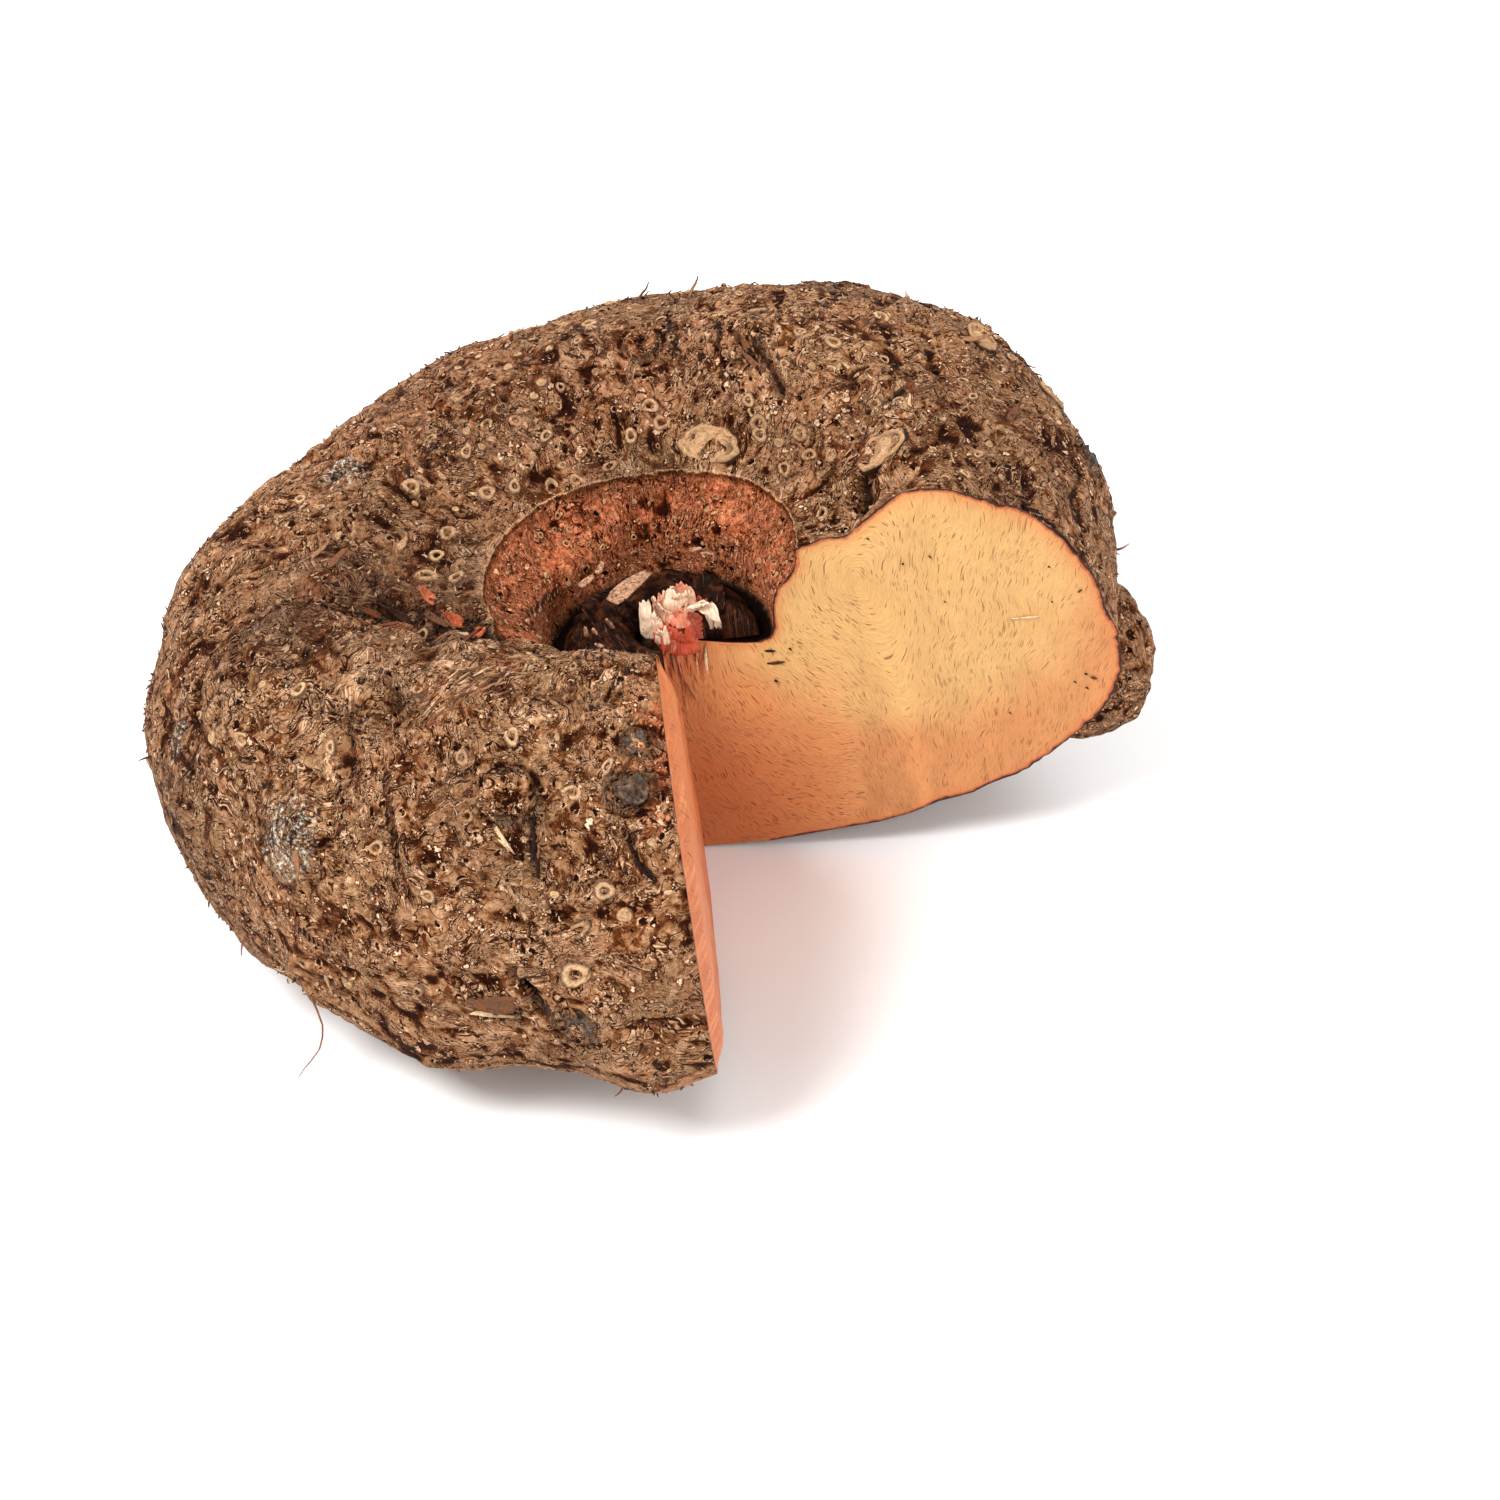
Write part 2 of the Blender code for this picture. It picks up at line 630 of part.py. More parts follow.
def blade_mesh(azimuth, radius, length, width, rise_deg, curl):
    """A torn scale: a thin curved blade that narrows to a ragged tip, rooted in the bed."""
    angle = math.radians(azimuth)
    out = Vector((math.cos(angle), math.sin(angle), 0.0))
    across = Vector((-math.sin(angle), math.cos(angle), 0.0))
    root = out * radius + Vector((0, 0, floor_height(radius) + GAP + 0.5 * BED_THICKNESS))
    pitch = math.radians(rise_deg)
    spine = []
    place = root
    for step in range(BLADE_STEPS + 1):
        way = out * math.cos(pitch) + Vector((0, 0, math.sin(pitch)))
        facing = out * -math.sin(pitch) + Vector((0, 0, math.cos(pitch)))
        spine.append((place, facing, width * (1 - (step / (BLADE_STEPS + BLADE_TAPER_END)) ** 2)))
        place = place + way * (length / BLADE_STEPS)
        pitch += curl / BLADE_STEPS
    points = []
    for place, facing, wide in spine:
        for side in (-0.5, 0.0, 0.5):
            cup = facing * (abs(side) * wide * BLADE_CUP)
            for face_side in (-0.5, 0.5):
                points.append(place + across * (side * wide) + cup + facing * face_side * BLADE_THICKNESS)
    faces = []
    for step in range(BLADE_STEPS):
        low, high = step * 6, (step + 1) * 6
        for side in (0, 2):
            faces += [(low + side, high + side, high + side + 2), (low + side, high + side + 2, low + side + 2)]
            faces += [
                (low + side + 1, high + side + 3, high + side + 1),
                (low + side + 1, low + side + 3, high + side + 3),
            ]
        faces += [(low, low + 1, high + 1), (low, high + 1, high)]
        faces += [(low + 4, high + 5, low + 5), (low + 4, high + 4, high + 5)]
    last = BLADE_STEPS * 6
    for start, flip in ((0, False), (last, True)):
        for side in (0, 2):
            quad = (start + side, start + side + 2, start + side + 3, start + side + 1)
            faces.append(quad[::-1] if flip else quad)
    return points, faces


def make_scales():
    """The dark, torn sheath scales round the bud, all rooted in one bed."""
    paper = make_material("scale_paper", (0.035, 0.017, 0.012), 0.5)
    scales = make_object("sheath_scales", *bed_mesh(), paper)
    draw = np.random.default_rng(5)
    blades = []
    start, end = CUT_RIGHT + BLADE_ARC_MARGIN_DEG, CUT_LEFT - BLADE_ARC_MARGIN_DEG
    for i in range(BLADES):
        row = OUTER_BLADES if i % 2 else INNER_BLADES
        azimuth = start + (end - start) * i / (BLADES - 1)
        radius, length, width, rise = (draw.uniform(*limits) for limits in row)
        blades.append(blade_mesh(azimuth, radius, length, width, rise, draw.uniform(*BLADE_CURLS)))
    join_meshes(scales, blades, paper)
    finish_mesh(scales)
    return scales


def bud_mesh():
    """The stub of the bud: layers turned about the axis and cut by the two cut planes."""
    azimuth = np.linspace(CUT_RIGHT + BUD_MARGIN_DEG, CUT_LEFT - BUD_MARGIN_DEG, BUD_COLUMNS)
    base = FLOOR_HEIGHT + GAP
    outline = np.array([(radius, base + height) for radius, height in BUD_OUTLINE])
    loops = turned_points(azimuth, np.broadcast_to(outline, (len(azimuth), *outline.shape)))
    points = list(loops.reshape(-1, 3))
    low, high = len(points), len(points) + 1
    points += [np.array([0, 0, base]), np.array([0, 0, base + BUD_TOP])]
    size = len(outline)
    faces = []
    for column in range(BUD_COLUMNS - 1):
        here, there = column * size, (column + 1) * size
        faces.append((low, there, here))
        for i in range(size - 1):
            faces.append((here + i, there + i, there + i + 1))
            faces.append((here + i, there + i + 1, here + i + 1))
        faces.append((here + size - 1, there + size - 1, high))
    last = (BUD_COLUMNS - 1) * size
    faces.append((low, *range(size), high))
    faces.append((high, *range(last + size - 1, last - 1, -1), low))
    return points, faces


def make_bud():
    """The pink stub of the shoot bud with its torn wrapping leaves."""
    pink = make_material("bud_pink", (0.72, 0.24, 0.16), 0.4)
    bud = make_object("shoot_bud", *bud_mesh(), pink)
    flaps = []
    for azimuth, length, width in BUD_FLAPS:
        angle = math.radians(azimuth)
        out = Vector((math.cos(angle), math.sin(angle), 0.0))
        across = Vector((-math.sin(angle), math.cos(angle), 0.0))
        foot = out * BUD_FLAP_RADIUS + Vector((0, 0, FLOOR_HEIGHT + GAP + BUD_FLAP_FOOT))
        tip = foot + out * BUD_FLAP_SPREAD + Vector((0, 0, length))
        inward = out * -BUD_FLAP_THICKNESS
        points = []
        for middle, wide in ((foot, width), (tip, BUD_FLAP_TIP_SHARE * width)):
            side = across * (0.5 * wide)
            points += [middle - side, middle + side, middle + side + inward, middle - side + inward]
        faces = [(3, 2, 1, 0), (4, 5, 6, 7), (0, 1, 5, 4), (1, 2, 6, 5), (2, 3, 7, 6), (3, 0, 4, 7)]
        flaps.append((points, faces))
    join_meshes(bud, flaps, pink)
    finish_mesh(bud)
    return bud


def main():
    """Build the yam."""
    clear_scene()
    make_corm()
    make_scales()
    make_bud()


main()
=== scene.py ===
"""Dress the elephant-foot yam: corky skin, root scars, cut flesh, sheath scales, bud and studio.

The tuber is turned about its own leaning axis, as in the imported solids: an azimuth of 0 degrees points
along +X and 90 along +Y, and a row number says how far a point lies along a meridian, from row 0 in the
middle of the crater floor, over the ring-shaped scar of the old stalk at row 4, the crest at row 6 and
the waist at row 11, to the middle of the underside at row 17. The wedge is cut out between azimuth 275
and 361, so both faces of the flesh are planes that meet on the axis.

Shapes are worked out in millimetres in the tuber's own frame, and a Stance places them in metres.
"""

import itertools
import logging
from collections.abc import Sequence
from dataclasses import dataclass, field
from enum import Enum
from math import atan2, cos, degrees, pi, radians, sin
from typing import NamedTuple, Union

import bmesh
import bpy
import numpy as np
from bpy.types import Material, Node, NodeSocket as Socket, Object as Thing
from mathutils import Matrix, Vector
from mathutils.bvhtree import BVHTree
from numpy import ndarray as Array


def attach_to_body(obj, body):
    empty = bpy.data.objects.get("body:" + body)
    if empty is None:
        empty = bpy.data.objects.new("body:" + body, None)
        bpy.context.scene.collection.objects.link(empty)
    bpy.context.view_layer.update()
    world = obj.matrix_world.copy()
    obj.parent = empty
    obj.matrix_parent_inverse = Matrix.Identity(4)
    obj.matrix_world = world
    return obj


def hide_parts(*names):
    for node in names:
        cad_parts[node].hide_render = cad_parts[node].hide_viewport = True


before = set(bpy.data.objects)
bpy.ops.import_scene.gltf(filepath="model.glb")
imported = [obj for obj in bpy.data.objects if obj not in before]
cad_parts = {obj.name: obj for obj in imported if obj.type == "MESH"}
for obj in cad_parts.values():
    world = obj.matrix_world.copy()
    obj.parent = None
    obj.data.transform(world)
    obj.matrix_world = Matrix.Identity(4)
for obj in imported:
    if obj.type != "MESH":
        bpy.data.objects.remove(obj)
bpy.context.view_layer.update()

MM = 0.001
BODY = "root"
LOG = logging.getLogger("yam")

Pair, Triple = tuple[float, float], tuple[float, float, float]
Path = tuple[Pair, ...]
Faces = list[tuple[int, ...]]
Value = Union[Socket, float]
Colour = Union[Socket, Triple]

FLOOR_ROW, RING_ROW, BASE_ROW = 2, 4, 17
CUT_RIGHT, CUT_LEFT = 1.0, 275.0
# Colours by brightness for the corky skin: pale parts run to whitish cream, partly painted sheen, and dark parts to
# deep red-brown.
BARK_TONES = (
    (0.0, (20, 3, 0)), (0.036, (52, 14, 0)), (0.088, (97, 51, 20)), (0.124, (121, 75, 42)), (0.162, (142, 98, 65)),
    (0.203, (161, 118, 84)), (0.25, (180, 137, 103)), (0.39, (228, 186, 150)), (0.75, (254, 224, 192)),
)
# Values on the skin's points: dark sets painted shade, low sets painted shade in low spots and painted highlights on
# crests, and lip places the ring's painted shadow and highlight.
SKIN_VALUES = ("low", "warm", "dark", "pale", "wall", "lip", "rust", "grit")


def srgb(red: float, green: float, blue: float) -> tuple[float, float, float, float]:
    """Turn a colour as seen on a screen into the linear one that a shader takes.

    Args:
        red: Red from 0 to 255.
        green: Green from 0 to 255.
        blue: Blue from 0 to 255.

    Returns:
        The linear colour with an alpha of 1.
    """
    parts = [channel / 255 for channel in (red, green, blue)]
    linear = [c / 12.92 if c <= 0.04045 else ((c + 0.055) / 1.055) ** 2.4 for c in parts]
    return (*linear, 1.0)


def noise(points: Array, seed: int) -> Array:
    """Give smooth noise at points: random values on a unit lattice, blended.

    Args:
        points: Points in the last axis, already divided by the wavelength.
        seed: Which noise to give.

    Returns:
        A value from -1 to 1 for each point.
    """
    cell = np.floor(points).astype(np.int64)
    part = points - cell
    blend = part * part * (3 - 2 * part)
    total = np.zeros(points.shape[:-1])
    for corner in itertools.product((0, 1), repeat=3):
        step = np.array(corner)
        at = cell + step
        key = at[..., 0] * 73856093 ^ at[..., 1] * 19349663 ^ at[..., 2] * 83492791 ^ seed * 2654435
        key = (key ^ (key >> 13)) * 1274126177 & 0x7FFFFFFF
        key = (key ^ (key >> 16)) & 0xFFFF
        weight = np.prod(np.where(step, blend, 1 - blend), axis=-1)
        total += weight * (key / 32767.5 - 1)
    return total


def ridges(points: Array, seed: int) -> Array:
    """Give noise with sharp crests: 1 on a crest, falling to about -1 between them."""
    return 1 - 3.2 * np.abs(noise(points, seed))


def ease(low: float, high: float, value: Array) -> Array:
    """Rise smoothly from 0 at low to 1 at high; low may be the larger of the two."""
    share = np.clip((value - low) / (high - low), 0, 1)
    return share * share * (3 - 2 * share)


def near(away: Array, width: float) -> Array:
    """Fall smoothly from 1 in the middle to nothing a few widths away."""
    return np.exp(-((away / width) ** 2))


def curve_through(before: Array, start: Array, end: Array, after: Array, u: Array) -> Array:
    """Give a point of the Catmull-Rom curve between start and end, at u from 0 to 1.

    Args:
        before: The point before the start.
        start: Where the piece starts.
        end: Where it ends.
        after: The point after the end.
        u: How far along, from 0 to 1.

    Returns:
        The point.
    """
    return 0.5 * (
        2 * start
        + (end - before) * u
        + (2 * before - 5 * start + 4 * end - after) * u**2
        + (3 * start - before - 3 * end + after) * u**3
    )


def unit(vectors: Array) -> Array:
    """Scale the vectors in the last axis to length 1."""
    return vectors / np.maximum(np.linalg.norm(vectors, axis=-1, keepdims=True), 1e-9)


class Station(NamedTuple):
    """The size of one meridian of the tuber."""

    azimuth: float
    outer_radius: float
    crest_radius: float
    crest_height: float
    ring_radius: float
    ring_height: float
    waist_height: float


class Swelling(NamedTuple):
    """A broad rise or, where the height is negative, a dent in the skin."""

    azimuth: float
    row: float
    width: float
    height: float


class Groove(NamedTuple):
    """A sunk line in the skin, from one azimuth and row to another."""

    start: Pair
    end: Pair
    width: float
    depth: float


class WartKind(Enum):
    """The looks of the knobs."""

    CORKY = "corky"
    GRITTY = "gritty"
    GLOSSY = "glossy"


class Knob(NamedTuple):
    """A wart that stands out of the skin."""

    azimuth: float
    row: float
    radius: float
    kind: WartKind
    hollow: float


class Crease(NamedTuple):
    """A narrow fold seen in the photograph: its pixels, width and depth, and how dark it is."""

    pixels: Path
    width: float
    depth: float
    dark: float


class ScarKind(Enum):
    """The looks that an old root leaves on the skin."""

    RING = "ring"
    PLUG = "plug"
    PIT = "pit"


CORKY, GRITTY, GLOSSY = WartKind
RING, PLUG, PIT = ScarKind
KNOBS = (
    Knob(90, 5.88, 5.0, CORKY, 0.55),
    Knob(158.5, 6.56, 6.5, GRITTY, 0.5),
    Knob(223.5, 9.31, 8.0, GRITTY, 0.12),
    Knob(269.5, 7.88, 5.0, GLOSSY, 0.0),
    Knob(270.5, 7.25, 3.6, GLOSSY, 0.2),
    Knob(253, 8.0, 6.0, CORKY, 0.25),
    Knob(260.5, 11.25, 4.6, GLOSSY, 0.5),
    Knob(197.5, 9.38, 4.2, GRITTY, 0.2),
    Knob(64.5, 5.69, 6.5, CORKY, 0.0),
    Knob(118, 10.2, 5.5, CORKY, 0.3),
    Knob(20, 9.6, 5.0, GLOSSY, 0.3),
    Knob(136, 12.0, 5.0, CORKY, 0.0),
    Knob(62, 8.6, 4.5, CORKY, 0.4),
)


@dataclass(frozen=True)
class Stance:
    """How the tuber stands: its axis leans towards -X, and its base is flattened by the floor."""

    lean_deg: float = 6.5
    foot: Pair = (9.5, -2.4)
    drop: float = 0.6

    def place(self, points: Array) -> Array:
        """Move points from the tuber's own frame to the part's frame.

        Args:
            points: Points in the last axis, in millimetres.

        Returns:
            The same points in metres, none of them below the floor.
        """
        lean = radians(self.lean_deg)
        x = points[..., 0] * cos(lean) - points[..., 2] * sin(lean) + self.foot[0]
        z = points[..., 0] * sin(lean) + points[..., 2] * cos(lean) - self.drop
        lift = np.maximum(0.0, -z) / cos(lean)
        x = x - lift * sin(lean)
        return np.stack([x, points[..., 1] + self.foot[1], np.maximum(z, 0.0)], -1) * MM

    def unturn(self, way: Vector) -> Array:
        """Give a direction of the part's frame in the tuber's own frame.

        Args:
            way: The direction.

        Returns:
            The turned direction.
        """
        lean = radians(self.lean_deg)
        return np.array([
            way[0] * cos(lean) + way[2] * sin(lean), way[1], way[2] * cos(lean) - way[0] * sin(lean),
        ])

    def unplace(self, point: Vector) -> Array:
        """Give the place in the tuber's own frame, in millimetres, of a point in metres.

        Args:
            point: A point in the part's frame.

        Returns:
            The same point in the tuber's own frame.
        """
        lean = radians(self.lean_deg)
        x = point[0] / MM - self.foot[0]
        z = point[2] / MM + self.drop
        return np.array([
            x * cos(lean) + z * sin(lean),
            point[1] / MM - self.foot[1],
            z * cos(lean) - x * sin(lean),
        ])


@dataclass(frozen=True)
class TuberForm:
    """The smooth form of the tuber: a meridian curve that changes with the azimuth."""

    stations: tuple[Station, ...] = (
        Station(0, 114, 67, 107, 37, 94, 58),
        Station(45, 134, 69, 120, 40, 95, 64),
        Station(90, 123, 67, 119, 38, 95, 65),
        Station(135, 122, 70, 112, 41, 94, 62),
        Station(180, 131, 76, 106, 43, 93, 58),
        Station(225, 122, 70, 112, 43, 95, 56),
        Station(275, 118, 61, 110, 40, 94, 56),
        Station(320, 116, 62, 107, 38, 94, 56),
    )
    floor_radius: float = 27.0
    floor_height: float = 71.0
    floor_sag: float = 3.0
    shoulder_angles: tuple[int, ...] = (18, 36, 54, 72, 90)
    belly_angles: tuple[int, ...] = (15, 30, 45, 60, 75)
    belly_power: float = 0.8

    def sizes_at(self, azimuth: Array) -> Array:
        """Blend the stations on both sides of each azimuth.

        Args:
            azimuth: Azimuths in degrees.

        Returns:
            A station's six sizes in the last axis.
        """
        starts = np.array([station.azimuth for station in self.stations] + [360.0])
        sizes = np.array([station[1:] for station in self.stations], float)
        turned = np.mod(azimuth, 360.0)
        count = len(self.stations)
        span = np.clip(np.searchsorted(starts, turned, side="right") - 1, 0, count - 1)
        u = (turned - starts[span]) / (starts[span + 1] - starts[span])
        around = [sizes[(span + step) % count] for step in (-1, 0, 1, 2)]
        return curve_through(*around, u[..., None])

    def knots(self, azimuth: Array) -> Array:
        """Give radius and height at each whole row, with rows in the last axis but one.

        Args:
            azimuth: Azimuths in degrees.

        Returns:
            The radii and heights.
        """
        outer, crest, crest_top, ring, ring_top, waist = np.moveaxis(self.sizes_at(azimuth), -1, 0)
        nothing = 0 * outer
        floor_low = self.floor_height - self.floor_sag + nothing
        points = [
            (nothing, self.floor_height + nothing),
            (0.55 * self.floor_radius + nothing, floor_low),
            (self.floor_radius + nothing, floor_low),
            (0.72 * self.floor_radius + 0.28 * ring, 0.5 * (self.floor_height + ring_top)),
            (ring, ring_top),
            (0.5 * (ring + crest), ring_top + 0.66 * (crest_top - ring_top)),
            (crest, crest_top),
        ]
        for angle in map(radians, self.shoulder_angles):
            radius = crest + (outer - crest) * sin(angle)
            points.append((radius, waist + (crest_top - waist) * cos(angle)))
        for angle in map(radians, self.belly_angles):
            radius = outer * cos(angle) ** self.belly_power
            points.append((radius, waist * (1 - sin(angle) ** self.belly_power)))
        points.append((nothing, nothing))
        return np.stack([np.stack(point, -1) for point in points], -2)

    def meridian(self, azimuth: Array, rows: Array) -> Array:
        """Give radius and height of the smooth skin.

        Args:
            azimuth: Azimuths in degrees.
            rows: Row numbers that broadcast with the azimuths.

        Returns:
            Radius and height in the last axis.
        """
        knots = self.knots(azimuth)
        mirror = np.array([-1.0, 1.0])
        before, after = knots[..., 1:2, :] * mirror, knots[..., -2:-1, :] * mirror
        knots = np.concatenate([before, knots, after], axis=-2)
        shape = np.broadcast_shapes(azimuth.shape, rows.shape)
        knots = np.broadcast_to(knots, (*shape, *knots.shape[-2:]))
        span = np.broadcast_to(np.clip(np.floor(rows).astype(int), 0, BASE_ROW - 1), shape)
        u = np.broadcast_to(rows, shape) - span
        picked = [
            np.take_along_axis(knots, (span + step)[..., None, None], axis=-2)[..., 0, :]
            for step in range(4)
        ]
        return curve_through(*picked, u[..., None])

    def normals(self, azimuth: Array, rows: Array) -> Array:
        """Give the outward normals in the meridian plane, as radius and height parts.

        Args:
            azimuth: Azimuths in degrees.
            rows: Row numbers.

        Returns:
            The normals in the last axis.
        """
        step = 0.02
        ahead = self.meridian(azimuth, np.clip(rows + step, 0, BASE_ROW))
        behind = self.meridian(azimuth, np.clip(rows - step, 0, BASE_ROW))
        along = ahead - behind
        return unit(np.stack([-along[..., 1], along[..., 0]], -1))

    def turned(self, azimuth: Array, profile: Array) -> Array:
        """Turn radius and height into points of the tuber's own frame.

        Args:
            azimuth: Azimuths in degrees.
            profile: Radius and height in the last axis.

        Returns:
            The points.
        """
        angle = np.radians(azimuth)
        radius, height = profile[..., 0], profile[..., 1]
        return np.stack([radius * np.cos(angle), radius * np.sin(angle), height], -1)

    def point(self, azimuth: float, row: float) -> Array:
        """Give one point of the smooth skin."""
        at = np.array(float(azimuth))
        return self.turned(at, self.meridian(at, np.array(float(row))))


@dataclass(frozen=True)
class Relief:
    """What makes the real skin uneven: growth lumps, swellings, grooves and the ring's lip."""

    form: TuberForm
    lumps: tuple[tuple[float, float, int], ...] = ((40.0, 2.2, 3), (17.0, 1.7, 8))
    ring_lip: float = 2.2
    ring_lip_rows: float = 0.24
    swellings: tuple[Swelling, ...] = (
        Swelling(64.5, 5.7, 11, 3.5),
        Swelling(150, 6.6, 9, 3.0),
        Swelling(199, 7.2, 13, 3.0),
        Swelling(243, 6.5, 13, 4.0),
        Swelling(262, 5.6, 10, 3.0),
        Swelling(253, 8.0, 10, 2.0),
        Swelling(239, 12.4, 13, 5.5),
        Swelling(266, 12.8, 12, 3.5),
        Swelling(222, 9.5, 12, 2.5),
        Swelling(230, 7.6, 9, -3.0),
        Swelling(183, 5.0, 12, -2.5),
        Swelling(100, 5.2, 14, -1.5),
        Swelling(33, 8.3, 22, 3.0),
        Swelling(165, 8.5, 20, 2.0),
        Swelling(120, 9.0, 16, 2.0),
        Swelling(70, 10.0, 18, 2.5),
        Swelling(45, 12.5, 14, -2.0),
        Swelling(160, 12.5, 16, 2.5),
    )
    grooves: tuple[Groove, ...] = (
        Groove((212, 4.35), (204, 4.95), 6.0, 13.0),
        Groove((204, 4.95), (193, 5.95), 6.0, 9.0),
        Groove((4, 4.7), (9, 5.9), 3.5, 3.5),
        Groove((176, 6.6), (170, 7.6), 4.0, 2.5),
        Groove((245, 8.6), (246, 9.6), 3.5, 2.5),
        Groove((259, 8.3), (260, 9.1), 3.5, 2.5),
    )

    def coarse(self, points: Array, rows: Array) -> Array:
        """Say how far the skin stands out of the smooth form, as the solids have it.

        Args:
            points: Points of the smooth form.
            rows: Their row numbers.

        Returns:
            The height at each point, in millimetres.
        """
        bare = np.clip((rows - FLOOR_ROW - 0.6) / 1.6, 0, 1) * np.clip((BASE_ROW - rows) / 3, 0, 1)
        height = np.zeros(points.shape[:-1])
        for wavelength, amount, seed in self.lumps:
            height += amount * bare * noise(points / wavelength, seed)
        for swelling in self.swellings:
            middle = self.form.point(swelling.azimuth, swelling.row)
            height += swelling.height * near(np.linalg.norm(points - middle, axis=-1), swelling.width)
        for groove in self.grooves:
            height -= groove.depth * near(self.beside(groove, points), groove.width)
        height += self.ring_lip * near(rows - RING_ROW, self.ring_lip_rows)
        return height

    def beside(self, groove: Groove, points: Array) -> Array:
        """Measure the distance of points from a groove's middle line."""
        return self.distance(points, self.form.point(*groove.start), self.form.point(*groove.end))

    @staticmethod
    def distance(points: Array, start: Array, end: Array) -> Array:
        """Measure the distance of points from the straight piece between start and end.

        Args:
            points: Points in the last axis.
            start: Where the piece starts.
            end: Where it ends.

        Returns:
            The distance of each point.
        """
        along = end - start
        share = np.clip((points - start) @ along / max(along @ along, 1e-9), 0, 1)
        return np.linalg.norm(points - start - share[..., None] * along, axis=-1)

    def main_furrow(self, points: Array) -> tuple[Array, Array]:
        """Give each point's distance from the main furrow's near half and from all of it."""
        first, second = (self.beside(groove, points) for groove in self.grooves[:2])
        return first, np.minimum(first, second)


@dataclass(frozen=True)
class PhotoCamera:
    """The camera that sees the yam as the photograph does."""

    elevation_deg: float = 40.0
    distance: float = 880.0
    focal_pixels: float = 3500.0
    picture_pixels: float = 1500.0
    target: Triple = (0.0, 0.0, 70.0)
    target_pixel: Pair = (693.0, 640.0)
    sensor: float = 36.0

    def axes(self) -> tuple[Vector, Vector, Vector]:
        """Give the picture's right, its up, and the way back to the camera.

        Returns:
            The three ways.
        """
        tilt = radians(self.elevation_deg)
        back = Vector((0, -cos(tilt), sin(tilt)))
        right = Vector((1, 0, 0))
        return right, back.cross(right), back

    def position(self, stance: Stance) -> Vector:
        """Give the camera's place in metres.

        Args:
            stance: How the tuber stands.

        Returns:
            The place.
        """
        right, up, back = self.axes()
        middle = self.picture_pixels / 2
        per_pixel = self.distance / self.focal_pixels
        aside = right * ((self.target_pixel[0] - middle) * per_pixel)
        above = up * ((middle - self.target_pixel[1]) * per_pixel)
        foot = Vector((*stance.foot, -stance.drop))
        return (Vector(self.target) + back * self.distance - aside - above + foot) * MM

    def ray(self, pixel: Pair) -> Vector:
        """Give the direction in which a pixel of the photograph looks.

        Args:
            pixel: Across and down in the photograph.

        Returns:
            The direction.
        """
        right, up, back = self.axes()
        middle = self.picture_pixels / 2
        across, above = pixel[0] - middle, middle - pixel[1]
        return (right * across + up * above - back * self.focal_pixels).normalized()

    def make(self, stance: Stance) -> Thing:
        """Make the camera and set it as the scene's.

        Args:
            stance: How the tuber stands.

        Returns:
            The camera.
        """
        data = bpy.data.cameras.new("camera")
        data.sensor_width = self.sensor
        data.lens = self.focal_pixels / self.picture_pixels * self.sensor
        data.clip_start, data.clip_end = 0.01, 20.0
        camera = bpy.data.objects.new("camera", data)
        place = Matrix(self.axes()).transposed().to_4x4()
        place.translation = self.position(stance)
        camera.matrix_world = place
        bpy.context.scene.collection.objects.link(camera)
        bpy.context.scene.camera = camera
        return camera


class Batch:
    """Gathers many small shapes and their values into one mesh."""

    def __init__(self, *names: str) -> None:
        """Start empty.

        Args:
            names: The values that each point carries to the shaders.
        """
        self.points: list[Array] = []
        self.faces: Faces = []
        self.kinds: list[int] = []
        self.values: dict[str, list[Array]] = {name: [] for name in names}
        self.count = 0

    def add(self, points: Array, faces: Sequence[Sequence[int]], kind: int = 0, **values: float | Array) -> None:
        """Add one shape.

        Args:
            points: Its points in the tuber's own frame, in millimetres.
            faces: Its faces, counted from its own first point.
            kind: The number of its material.
            values: For each named value, one number or one number a point.
        """
        start = self.count
        self.points.append(np.asarray(points, float))
        self.faces += [tuple(start + int(i) for i in face) for face in faces]
        self.kinds += [kind] * len(faces)
        for name, gathered in self.values.items():
            gathered.append(np.broadcast_to(values.get(name, 0.0), (len(points),)))
        self.count += len(points)

    def make(self, name: str, stance: Stance, materials: Sequence[Material]) -> Thing:
        """Make the object, smooth-shaded, from all that was added.

        Args:
            name: Its name.
            stance: How the tuber stands.
            materials: Its materials, by number.

        Returns:
            The object.
        """
        mesh = bpy.data.meshes.new(name)
        placed = stance.place(np.concatenate(self.points))
        mesh.from_pydata(placed.tolist(), [], self.faces)
        for value_name, gathered in self.values.items():
            attribute = mesh.attributes.new(value_name, "FLOAT", "POINT")
            attribute.data.foreach_set("value", np.concatenate(gathered).astype(np.float32))
        for material in materials:
            mesh.materials.append(material)
        mesh.polygons.foreach_set("material_index", np.array(self.kinds, np.int32))
        mesh.shade_smooth()
        mesh.update()
        thing = bpy.data.objects.new(name, mesh)
        bpy.context.scene.collection.objects.link(thing)
        return thing


